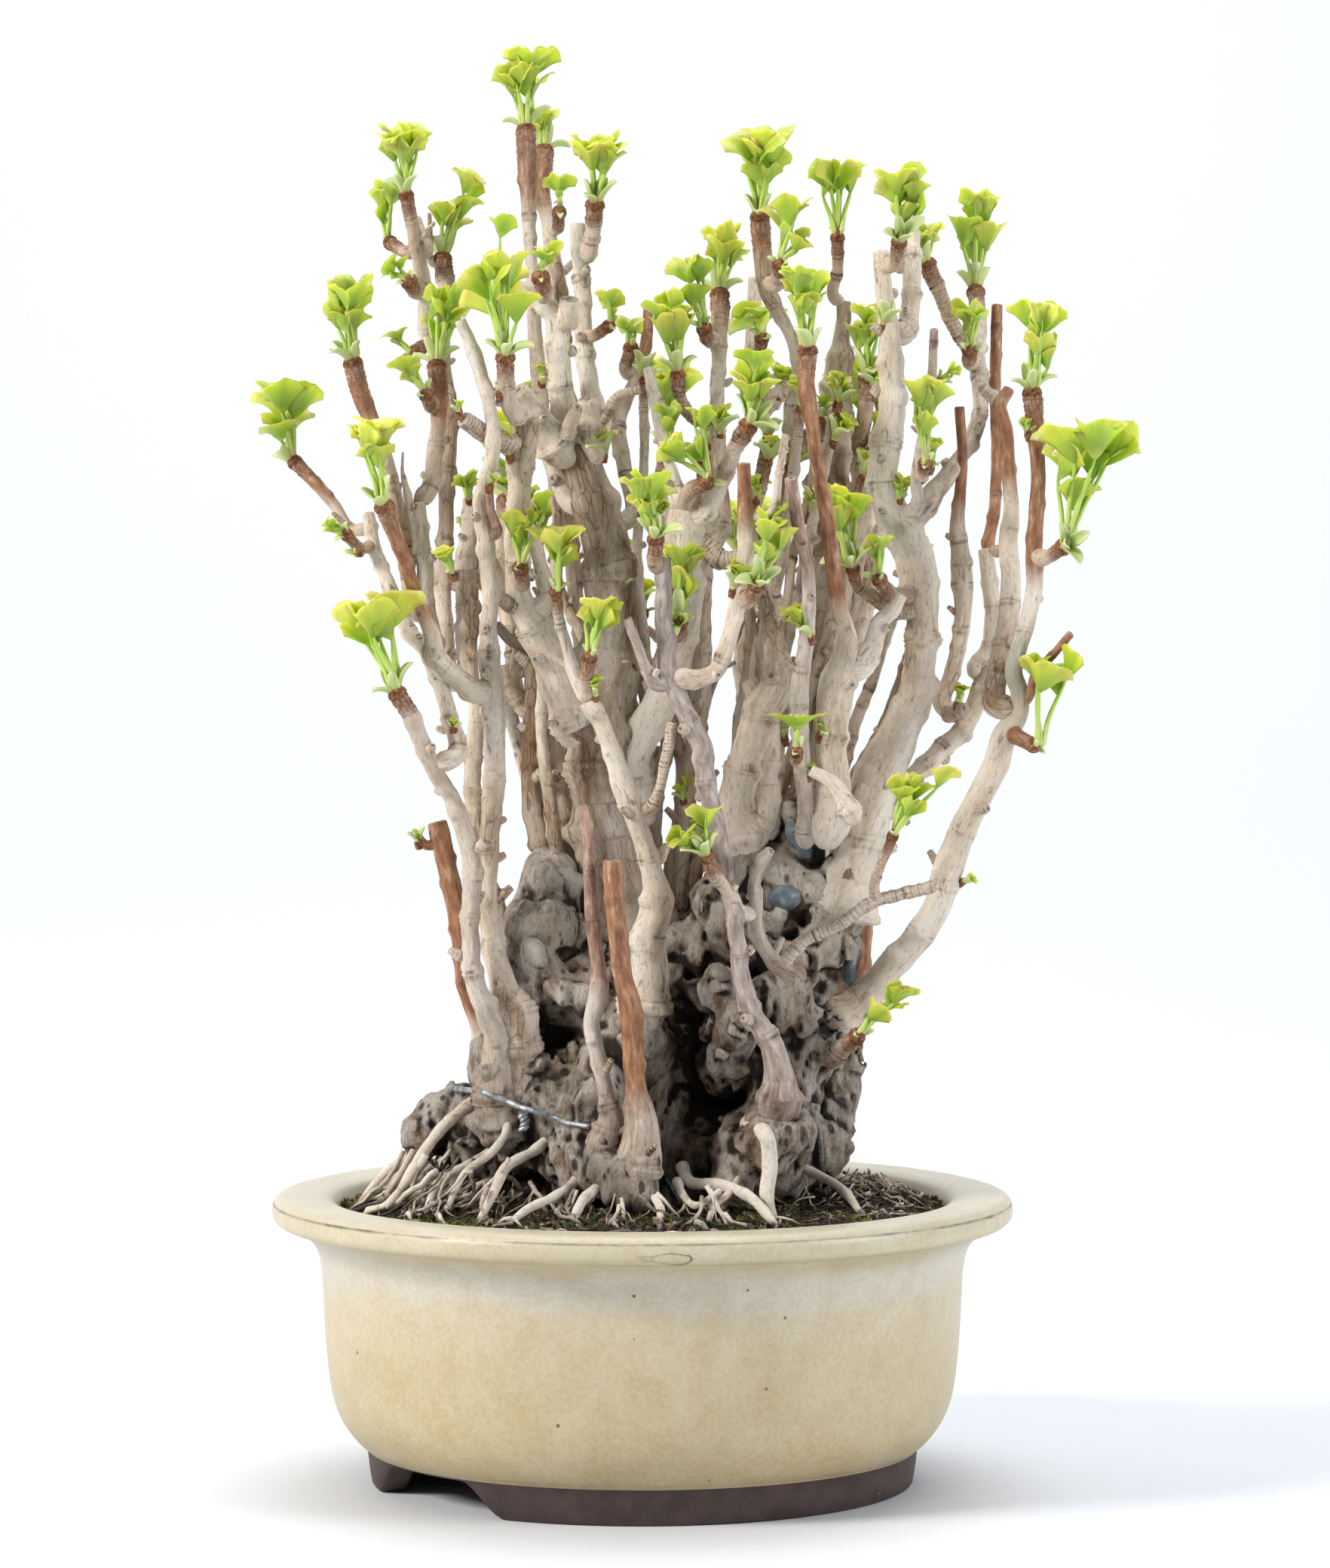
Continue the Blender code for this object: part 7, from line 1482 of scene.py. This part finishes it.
SEAT_REACH = 6.5
CLEAR_OF_SEAT = 1.2
CLEAR_OF_STEMS = 1.35
CLEAR_OF_LUMPS = 1.0
CLEAR_OF_LEAVES = 2.1
CLEAR_OF_BUNCH = 1.9


def blocked_by(samples, seat, way, rods, taken):
    """How far, in mm, the samples of a leaf come too close to stems, lumps or other leaves."""
    worst = 0.0
    starts, ends, widths = rods
    line = ends - starts
    offset = samples[:, None, :] - starts[None]
    share = np.clip((offset * line[None]).sum(2) / np.maximum((line * line).sum(1), 1e-9)[None], 0, 1)
    gap = norm(offset - share[:, :, None] * line[None], axis=2) - widths[None]
    own = norm(samples - seat, axis=1) < SEAT_REACH
    gap[own] = 99.0
    if own.any():
        worst = max(worst, CLEAR_OF_SEAT - float(((samples[own] - seat) @ way).min()))
    worst = max(worst, CLEAR_OF_STEMS - float(gap.min()))
    gap = norm(samples[:, None, :] - BALLS[None, :, :3], axis=2) - BALLS[None, :, 3] * 1.15
    worst = max(worst, CLEAR_OF_LUMPS - float(gap.min()))
    if len(taken):
        near = norm(samples[:, None, :] - taken[None], axis=2)
        worst = max(worst, CLEAR_OF_LEAVES - float(near.min()))
    return worst


def lay_sprays(axes):
    """Chooses every leaf's place: as near as it can be to where it is seen, clear of all else."""
    lines = list(axes.values()) + [plain_axis(name, axis) for name, axis in axes.items()]
    starts = np.concatenate([axis[:-1, :3] for axis in lines])
    ends = np.concatenate([axis[1:, :3] for axis in lines])
    widths = np.concatenate([np.maximum(axis[:-1, 3], axis[1:, 3]) for axis in lines])
    taken = np.zeros((0, 3))
    sprays = []
    for index, (stem, scales, groups) in enumerate(SPRAYS):
        axis = axes[stem]
        way = unit(axis[-1, :3] - axis[-2, :3])
        seat = axis[-1, :3] + way * 0.6
        width = float(axis[-1, 3])
        depth = float(seat[1])
        dice = default_rng(100 + index)
        leaves, mine = [], []
        turn = float(dice.uniform(0, 6.28))
        for count, left, right, bottom, top in groups:
            blade = min(max((right - left) * (0.95, 0.66, 0.58, 0.54, 0.5)[count - 1], 7.0), 16.0)
            for number in range(count):
                roll = float(dice.uniform(0.75, 1.5))
                lift = float(dice.uniform(0, 0.3)) if number else 0.0
                best = None
                for attempt in range(70):
                    swing = turn + 2 * pi * number / count + (attempt // 2 + 1) // 2 * 0.33 * (-1) ** attempt
                    pull = 1.0 - 0.02 * (attempt // 5)
                    across = (left + right) / 2 + (right - left - blade) / 2 * cos(swing) * pull
                    back = max((right - left) / 2 * 0.8, 4.5) * sin(swing) * pull + 0.3 * (attempt % 5)
                    tip = seen(across, top - (top - bottom) * lift * pull, depth + back)
                    out = unit((tip - seat) * np.array((1, 1, 0.0)) + np.array((0.01, -0.3, 0.0)))
                    spread = unit(tip - seat) - way * float(unit(tip - seat) @ way)
                    root = seat + way * 2.2 + unit(spread) * max(width, 1.9) * 0.5
                    leaf = leaf_shape(root, tip, out, blade, roll, 9000 + index * 20 + len(leaves))
                    samples = leaf_samples(leaf)
                    over = blocked_by(samples, seat, way, (starts, ends, widths), taken)
                    if mine:
                        apart = norm(samples[5:, None, :] - np.concatenate(mine)[None], axis=2)
                        over = max(over, CLEAR_OF_BUNCH - float(apart.min()))
                    if best is None or over < best[0] - 1e-6:
                        best = (over, leaf, samples)
                    if over <= 0:
                        break
                leaves.append(best[1])
                mine.append(best[2][5:])
        taken = np.concatenate([taken] + mine)
        sprays.append({"stem": stem, "seat": seat, "way": way, "width": width, "scales": scales, "leaves": leaves,
            "turn": turn, "seed": index})
    return sprays


class Bunch:
    """Gathers the points, faces, materials and marks of many small parts for one piece."""

    def __init__(self):
        self.points, self.faces, self.slots, self.marks = [], [], [], []

    def take(self, points, faces, slot, marks):
        first = len(self.points)
        self.points += list(points)
        self.faces += [tuple(corner + first for corner in face) for face in faces]
        self.slots += [slot] * len(faces)
        self.marks += list(marks)

    def make(self, name):
        """The piece, with its leaf materials."""
        thing = make_piece(name, np.array(self.points), self.faces)
        mark(thing, "leaf_place", np.array(self.marks))
        for material in (blade_green, stalk_green, scale_green, bud_brown):
            thing.data.materials.append(material)
        thing.data.polygons.foreach_set("material_index", np.array(self.slots, dtype=np.int32))
        return thing


def outward(points, faces):
    """The four-cornered faces of a closed shape, all turned so that they point outwards."""
    a, b, c, d = (points[[face[corner] for face in faces]] for corner in range(4))
    volume = float((a * np.cross(b, c)).sum() + (a * np.cross(c, d)).sum())
    return faces if volume > 0 else [face[::-1] for face in faces]


def open_leaf(leaf, broad, dice):
    """The bones of a leaf as it looks: a broad short fan at the tip of the part's leaf, on a longer stalk."""
    reach = leaf["tip"] - leaf["base"]
    long = float(norm(reach))
    wide = leaf["width"] * broad
    blade = min(0.54 * long, 0.66 * wide + 2.6)
    way = unit(unit(reach) * 0.6 + leaf["way"] + leaf["face"] * float(dice.uniform(-0.15, 0.15)))
    side = unit(np.cross(way, leaf["face"]))
    face = unit(np.cross(side, way)) * (1 if dice.random() < 0.8 else -1)
    roll = float(dice.uniform(1.1, 2.3))
    return {"base": leaf["base"], "knee": leaf["tip"] - way * blade, "tip": leaf["tip"], "way": way, "side": side,
        "face": face, "width": wide, "blade": blade, "roll": roll, "radius": wide / 2 / sin(min(roll, pi / 2))}


def add_blade(bunch, leaf, tint, dice, columns=24, rows=8):
    """A fan like half a trumpet: it widens from the stalk, is notched, and rolls outwards at its ruffled rim."""
    lip = leaf["width"] * float(dice.choice((0.02, 0.06, 0.11, 0.18)))
    ruffle = leaf["width"] * float(dice.uniform(0.04, 0.08))
    phases = dice.uniform(0, 6.28, 5)
    cut, second = float(dice.uniform(0.06, 0.3)), float(dice.uniform(-0.6, 0.6))
    sheet, across, facings = [], [], []
    for step in range(columns + 1):
        place = -1.0 + 2.0 * step / columns
        facing = cos(place * leaf["roll"]) * leaf["face"] + sin(place * leaf["roll"]) * leaf["side"]
        rim = 1.0 - 0.45 * place ** 4 - cut * exp(-(place * 6.5) ** 2)
        rim += 0.05 * sin(6.0 * place + phases[0]) + 0.025 * sin(13.0 * place + phases[1])
        rim += 0.01 * sin(29.0 * place + phases[2]) - 0.08 * exp(-((place - second) * 9.0) ** 2)
        for row in range(rows + 1):
            share = row / rows
            turned_out = max(0.0, share - 0.6) / 0.4
            up = leaf["blade"] * share * rim - 0.4 * lip * turned_out ** 2
            wave = ruffle * share ** 2.5 * (sin(8.0 * place + phases[3]) + 0.5 * sin(17.0 * place + phases[4]))
            sheet.append(leaf["knee"] + leaf["way"] * up + leaf["radius"]
                * (facing - leaf["face"] * (1 if leaf["roll"] < 1.6 else 0.45)) * share ** 0.85 * (0.8 + 0.2 * rim)
                + facing * (lip * turned_out ** 2 + wave))
            across.append((place, share, tint))
            facings.append(facing)
    sheet, facings = np.array(sheet), np.array(facings)
    wide = np.array([0.34 * (1.3 - 0.8 * mark_of[1]) for mark_of in across])[:, None]
    points = np.vstack([sheet + facings * wide / 2, sheet - facings * wide / 2])
    count = len(sheet)
    faces = []
    for step in range(columns):
        for row in range(rows):
            a = step * (rows + 1) + row
            b = a + rows + 1
            faces.append((a, a + 1, b + 1, b))
            faces.append((count + b, count + b + 1, count + a + 1, count + a))
        rim_a, rim_b = step * (rows + 1) + rows, (step + 1) * (rows + 1) + rows
        faces.append((rim_b, rim_a, count + rim_a, count + rim_b))
        low_a, low_b = step * (rows + 1), (step + 1) * (rows + 1)
        faces.append((low_a, low_b, count + low_b, count + low_a))
    for row in range(rows):
        faces.append((row + 1, row, count + row, count + row + 1))
        last = columns * (rows + 1) + row
        faces.append((last, last + 1, count + last + 1, count + last))
    bunch.take(points, outward(points - points[0], faces), 0, across + across)


def add_stalk(bunch, line, radii, tint, columns=7, slot=1):
    """A slim round stalk along a line."""
    laid, along = lay_rings(line, np.repeat(np.asarray(radii)[:, None], columns, 1), columns)
    points = np.vstack([laid.reshape(-1, 3), line[:1], line[-1:] + along[-1:] * radii[-1] * 0.6])
    shares = np.concatenate([np.repeat(np.linspace(0, 1, len(line)), columns), (0, 1)])
    bunch.take(points, tube_faces(len(line), columns), slot, [(0.0, share, tint) for share in shares])


def add_scale(bunch, root, way, out, length, width, lean, tint, slot=2):
    """A fleshy spoon-shaped bud scale that leans out from the bud by lean, in radians, and curls at its tip."""
    side = unit(np.cross(way, out))
    rows, columns = 8, 6
    sheet, marks, facings = [], [], []
    middle = np.array(root, float)
    for row in range(rows + 1):
        share = row / rows
        bend = lean * (0.35 + 0.9 * share)
        grow = way * cos(bend) + out * sin(bend)
        middle = middle + grow * length / rows * (row > 0)
        face = unit(way * sin(bend) - out * cos(bend))
        half = width / 2 * (0.4 + 0.6 * sin(pi * min(share * 0.88 + 0.1, 1.0)) ** 0.8) * (1 if row < rows else 0.4)
        for column in range(columns + 1):
            place = -1 + 2 * column / columns
            sheet.append(middle + side * half * place + face * half * 0.6 * place * place)
            marks.append((place, share, tint))
            facings.append(face)
    sheet, facings = np.array(sheet), np.array(facings)
    thick = np.array([0.42 * (1 - 0.6 * abs(mark_of[0])) for mark_of in marks])[:, None]
    points = np.vstack([sheet + facings * thick, sheet - facings * thick])
    count = len(sheet)
    faces = []
    for row in range(rows):
        for column in range(columns):
            a = row * (columns + 1) + column
            b = a + columns + 1
            faces.append((a, a + 1, b + 1, b))
            faces.append((count + b, count + b + 1, count + a + 1, count + a))
        left, right = row * (columns + 1), row * (columns + 1) + columns
        faces.append((left + columns + 1, count + left + columns + 1, count + left, left))
        faces.append((right, count + right, count + right + columns + 1, right + columns + 1))
    for column in range(columns):
        faces.append((column + 1, column, count + column, count + column + 1))
        last = rows * (columns + 1) + column
        faces.append((last, last + 1, count + last + 1, count + last))
    bunch.take(points, outward(points - points[0], faces), slot, marks + marks)


def add_bud(bunch, seat, way, width, tint):
    """The brown base of a bud: a short cone of stacked old scales."""
    heights = np.array((-1.6, -0.8, 0.0, 0.05, 0.9, 0.95, 1.8, 1.85, 2.6, 3.1))
    radii = width * np.array((0.9, 1.0, 1.08, 1.2, 1.08, 1.16, 0.92, 1.0, 0.72, 0.4))
    add_stalk(bunch, seat + way * heights[:, None], radii, tint, 12, 3)


def add_spray(bunch, spray):
    """One spray: bud base, pale scales, stalks and blades, with smaller leaves still inside the bunch."""
    dice = default_rng(500 + spray["seed"])
    seat, way = spray["seat"], spray["way"]
    width = min(max(spray["width"], 1.3), 3.0)
    add_bud(bunch, seat, way, width, float(dice.random()))
    side = unit(np.cross(way, (0.2, 0.9, 0.3)))
    other = np.cross(way, side)
    leaves = [open_leaf(leaf, spray.get("broad", 1.16), dice) for leaf in spray["leaves"]]
    middle = np.mean([leaf["tip"] for leaf in spray["leaves"]], axis=0)
    tall = float(norm(middle - seat))
    more = max(7 - len(leaves), 3) if spray["scales"] else 1 + int(len(leaves) > 1)
    for number in range(more):
        turn = spray["turn"] + 1.3 + 2 * pi * number / more + float(dice.uniform(-0.4, 0.4))
        out = cos(turn) * side + sin(turn) * other
        rise = float(dice.uniform(0.68, 0.95))
        tip = seat + (middle - seat) * rise + out * tall * float(dice.uniform(0.12, 0.24))
        leaf = leaf_shape(seat + way * 2.0 + out * 0.8, tip, unit(out + (0, -0.01, 0)),
            float(dice.uniform(0.26, 0.4)) * tall, 1.3, 700 + spray["seed"] * 9 + number)
        leaves.append(open_leaf(leaf, 1.25, dice))
    for leaf in leaves:
        tint = float(np.clip(dice.normal(0.5, 0.26), 0, 1))
        add_blade(bunch, leaf, tint, dice, *spray.get("mesh", (24, 8)))
        bow = unit(leaf["knee"] - leaf["base"])
        sag = (leaf["knee"] - leaf["base"]) * 0.5 + leaf["base"] + unit(np.cross(bow, leaf["side"])) * 0.35
        line = flow(np.array([seat + way * 1.0, leaf["base"], sag, leaf["knee"] + leaf["way"] * 0.6,
            leaf["knee"] + leaf["way"] * leaf["blade"] * 0.4]), 1.6)
        add_stalk(bunch, line, np.interp(np.linspace(0, 1, len(line)), (0, 0.6, 1), (1.0, 0.75, 0.3)), tint)
    scales = 4 if spray["scales"] else 2
    for number in range(scales):
        turn = spray["turn"] + 0.8 + 2 * pi * number / scales + float(dice.uniform(-0.3, 0.3))
        out = cos(turn) * side + sin(turn) * other
        length = float(dice.uniform(7.0, 10.5)) if spray["scales"] else float(dice.uniform(3.0, 5.0))
        lean = float(dice.uniform(0.3, 0.6)) if number % 2 else float(dice.uniform(0.8, 1.4))
        add_scale(bunch, seat + way * 1.4 + out * width * 0.6, way, out, length, length * 0.46, lean,
            float(dice.random()))


# Young ginkgo blade: thin and juicy, bright yellow-green at the ruffled rim and greener towards the stalk, with
# fine veins that fan out. Light shines through it, and its skin has a soft gloss.
blade_green, tree, shader = start_material("young_ginkgo_blade")
at = add(tree, "SeparateXYZ", add(tree, "Attribute", attribute_name="leaf_place", out="Vector"), out=None)
mottle = add(tree, "TexNoise", add(tree, "TexCoord", out="Object"), Scale=160.0, Detail=3.0)
ripe = add(tree, "Math", at.outputs["Z"], 0.55, at.outputs["Y"], operation="MULTIPLY_ADD")
ripe_mottled = add(tree, "Math", mottle, 0.5, ripe, operation="MULTIPLY_ADD")
ripe_share = add(tree, "MapRange", ripe_mottled, 0.35, 1.75)
blade_tint = add(tree, "ValToRGB", ripe_share, stops=[(0.0, "#B3C44B"), (1.0, "#E2DA6C"), (0.22, "#83A02A"),
    (0.5, "#9DB334"), (0.72, "#B7C340"), (0.88, "#D0CF53")])
veins = add(tree, "Math", at.outputs["X"], 58.0, operation="MULTIPLY")
vein_wave = add(tree, "Math", veins, operation="SINE")
vein_share = add(tree, "MapRange", vein_wave, 0.55, 1.0, 0, 0.12)
veined = add(tree, "Mix", vein_share, blade_tint, "#E1E89A")
vein_bump = add(tree, "Bump", Height=vein_wave, Strength=0.12, Distance=0.0002)
feed(shader, Base_Color=veined, Roughness=0.42, Subsurface_Weight=0.5, Subsurface_Radius=(1.0, 1.6, 0.3),
    Subsurface_Scale=0.0012, Normal=vein_bump)

# Stalk: pale translucent yellow-green, round and smooth.
stalk_green, tree, shader = start_material("leaf_stalk")
stalk_share = add(tree, "SeparateXYZ", add(tree, "Attribute", attribute_name="leaf_place", out="Vector"), out="Y")
stalk_tint = add(tree, "ValToRGB", stalk_share, stops=[(0.0, "#CED887"), (1.0, "#9DC545"), (0.5, "#BBD266")])
feed(shader, Roughness=0.4, Base_Color=stalk_tint, Subsurface_Weight=0.4, Subsurface_Radius=(1.0, 1.4, 0.4),
    Subsurface_Scale=0.001)

# Bud scale: fleshy, pale green going white towards the rim, brown where it joins the bud.
scale_green, tree, shader = start_material("fleshy_bud_scale")
scale_share = add(tree, "SeparateXYZ", add(tree, "Attribute", attribute_name="leaf_place", out="Vector"), out="Y")
scale_tint = add(tree, "ValToRGB", scale_share, stops=[(0.0, "#A36D3D"), (1.0, "#D8DAAE"), (0.12, "#BBB274"),
    (0.35, "#B8C97F"), (0.75, "#C7D293")])
feed(shader, Base_Color=scale_tint, Roughness=0.45, Subsurface_Weight=0.35, Subsurface_Radius=(1.0, 1.4, 0.6),
    Subsurface_Scale=0.001)

# Bud base: papery dry scales, red-brown with dark rims.
bud_brown, tree, shader = start_material("dry_bud_scales")
bud_noise = add(tree, "TexNoise", add(tree, "TexCoord", out="Object"), Scale=900.0, Detail=4.0)
bud_tint = add(tree, "ValToRGB", bud_noise, stops=[(0.35, "#57311F"), (0.7, "#B38559"), (0.52, "#8A5734")])
feed(shader, Base_Color=bud_tint, Roughness=0.7)

sprays = lay_sprays(stem_lines)
for group in range(4):
    bunch = Bunch()
    members = [number for number in range(len(sprays)) if number % 4 == group]
    for number in members:
        add_spray(bunch, sprays[number])
    leaves_piece = bunch.make("leaf_sprays_%d" % (group + 1))
    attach(leaves_piece, "root")
    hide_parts(*["leaf_spray_%02d" % (number + 1) for number in members])

# Small tufts: buds on old spurs along the wood that have opened one to three leaves, or are still closed.
TUFTS = [(81, 389, 82, 396, 5), (-64, 305, -67, 316, 2), (-16, 264, -15, 274, 2), (57, 284, 52, 298, 3),
    (98, 341, 99, 352, 2), (128, 352, 129, 359, 1), (106, 262, 109, 271, 2), (14, 229, 14, 239, 1),
    (100, 370, 106, 377, 1), (-97, 308, -98, 314, 1), (-48, 366, -48, 372, 1), (-34, 369, -34, 378, 1),
    (-62, 360, -62, 366, 1), (-51.5, 335, -50, 341, 1), (-63.5, 253, -64, 259, 1), (-76, 215, -76, 221, 1),
    (111, 201, 113, 205, 1), (-29, 299, -28, 323, 1), (56, 238, 57, 243, 1), (-3, 275, -5, 278, 1),
    (-34, 318, -32, 334, 2), (49, 250, 46, 257, 1), (59, 251, 61, 257, 2), (20, 214, 20, 226, 3),
    (26, 352, 25, 365, 3), (38, 330, 41, 341, 2), (-12, 345, -13, 357, 3), (-45, 345, -47, 357, 3),
    (3, 322, 4, 334, 3), (30, 300, 33, 312, 3), (-6, 300, -9, 311, 2), (86, 330, 90, 341, 2), (64, 350, 67, 361, 3),
    (-58, 330, -61, 342, 2), (78, 366, 79, 378, 3), (46, 366, 48, 378, 3)]


def wood_at(across, up):
    """The frontmost place on a stem near what is seen at across and up: on its middle line, and its radius."""
    best = None
    for _, line, _ in numbered[:len(all_lines)]:
        fine = flow(line, 1.5)
        grow = (EYE[1] + fine[:, 1]) / EYE[1]
        gap = np.hypot(EYE[0] + (fine[:, 0] - EYE[0]) / grow - across, EYE[2] + (fine[:, 2] - EYE[2]) / grow - up)
        number = int(np.argmin(gap - fine[:, 3]))
        short = max(float(gap[number] - fine[number, 3]), 0.0)
        score = 3.0 * short + 0.02 * float(fine[number, 1])
        if best is None or score < best[0]:
            best = (score, fine[number, :3], float(fine[number, 3]))
    return best[1], best[2]


tuft_places = []
for across, up, top_across, top_up, count in TUFTS:
    middle, radius = wood_at(across, up)
    depth = float(middle[1]) - radius * 0.6
    goal = seen(top_across, top_up, depth - 2.0)
    seat = seen(across, up, depth)
    if norm(seat - middle) > radius:
        seat = middle + unit(seat - middle) * radius
    tuft_places.append((seat, unit(goal - seat), float(norm(goal - seat)), 1.3, count))
dice = default_rng(77)
for name, line in all_lines.items():
    if name.startswith("rear_s"):
        way = unit(line[-1, :3] - line[-2, :3])
        tuft_places.append((line[-1, :3] + way * 0.4, way, float(dice.uniform(8, 14)), line[-1, 3],
            int(dice.integers(2, 5))))
for half in range(2):
    tuft_bunch = Bunch()
    for number, (seat, way, tall, width, count) in enumerate(tuft_places):
        if number % 2 != half:
            continue
        dice = default_rng(3000 + number)
        side = unit(np.cross(way, (0.1, 1.0, 0.1)))
        leaves = []
        for leaf_number in range(count):
            turn = 2 * pi * leaf_number / count + float(dice.uniform(0, 6.28))
            out = cos(turn) * side + sin(turn) * np.cross(way, side)
            tip = seat + way * tall * float(dice.uniform(0.8, 1.0)) + out * tall * 0.24 * (count > 1)
            leaves.append(leaf_shape(seat + way * 1.6 + out * 0.5, tip, unit(out + (0, -0.02, 0)),
                min(max(0.5 * tall, 3.0), 8.5), 1.3, 5000 + number * 9 + leaf_number))
        add_spray(tuft_bunch, {"seat": seat, "way": way, "width": width, "scales": count > 2, "leaves": leaves,
            "turn": float(dice.uniform(0, 6.28)), "seed": 900 + number, "mesh": (14, 5)})
    tufts = tuft_bunch.make("bud_tufts_%d" % (half + 1))
    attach(tufts, "root")

# Studio: a plain pale floor that curves up into the backdrop, soft light from large panels, and a camera a
# little above the middle of the crown, far back with a long lens.
floor_line = [(-4.0, 0.0), (-1.0, 0.0), (0.9, 0.0), (1.2, 0.0), (1.8, 0.05), (2.3, 0.2), (2.7, 0.5), (2.95, 1.0),
    (3.0, 1.8), (3.0, 4.5)]
floor_points = [(x, y, z) for y, z in flow([(y, z, 0.0) for y, z in floor_line], 0.12)[:, :2] for x in (-5.0, 5.0)]
floor_mesh = bpy.data.meshes.new("studio_floor")
floor_mesh.from_pydata(floor_points, [], [(n, n + 1, n + 3, n + 2) for n in range(0, len(floor_points) - 2, 2)])
floor_mesh.shade_smooth()
floor = bpy.data.objects.new("studio_floor", floor_mesh)
bpy.context.scene.collection.objects.link(floor)
paper, tree, shader = start_material("matt_white_paper")
paper_grain = add(tree, "TexNoise", Scale=3.0, Detail=2.0)
paper_tint = add(tree, "ValToRGB", paper_grain, stops=[(0.3, "#E2E5EA"), (0.7, "#E8EBEF")])
feed(shader, Base_Color=paper_tint, Roughness=0.9)
floor_mesh.materials.append(paper)

world = bpy.data.worlds.new("pale_room")
world.use_nodes = True
feed(world.node_tree.nodes["Background"], Color="#EEF2FA", Strength=0.22)
bpy.context.scene.world = world


def add_panel(name, place, aim, size, power, tint):
    """A soft rectangular lamp at place, facing aim, in metres and watts."""
    data = bpy.data.lights.new(name, "AREA")
    data.shape = "RECTANGLE"
    data.size, data.size_y = size
    data.energy = power
    data.color = colour(tint)[:3]
    lamp = bpy.data.objects.new(name, data)
    lamp.location = place
    lamp.rotation_euler = (Vector(aim) - Vector(place)).to_track_quat("-Z", "Y").to_euler()
    bpy.context.scene.collection.objects.link(lamp)


add_panel("key_panel", (-2.0, -1.05, 1.4), (0, 0, 0.25), (0.7, 0.7), 61, "#FFFBF6")
add_panel("fill_panel", (2.1, -0.8, 0.9), (0, 0, 0.25), (0.8, 1.0), 31, "#F8FAFF")
add_panel("top_panel", (0.1, 0.2, 1.9), (0, 0, 0.2), (1.2, 1.2), 18, "#FFFFFF")
add_panel("backdrop_panel", (0.0, 1.1, 2.6), (0, 2.9, 0.9), (3.0, 1.0), 48, "#F6F9FF")
bpy.context.scene.view_settings.view_transform = "Standard"

camera_data = bpy.data.cameras.new("camera")
camera_data.lens = 122.75
camera_data.sensor_width = 36.0
camera = bpy.data.objects.new("camera", camera_data)
camera.location = (np.array((EYE[0], -EYE[1], EYE[2])) - POT_MIDDLE) * MM
camera.rotation_euler = (pi / 2 - 0.038, 0.0, 0.0)
bpy.context.scene.collection.objects.link(camera)
bpy.context.scene.camera = camera
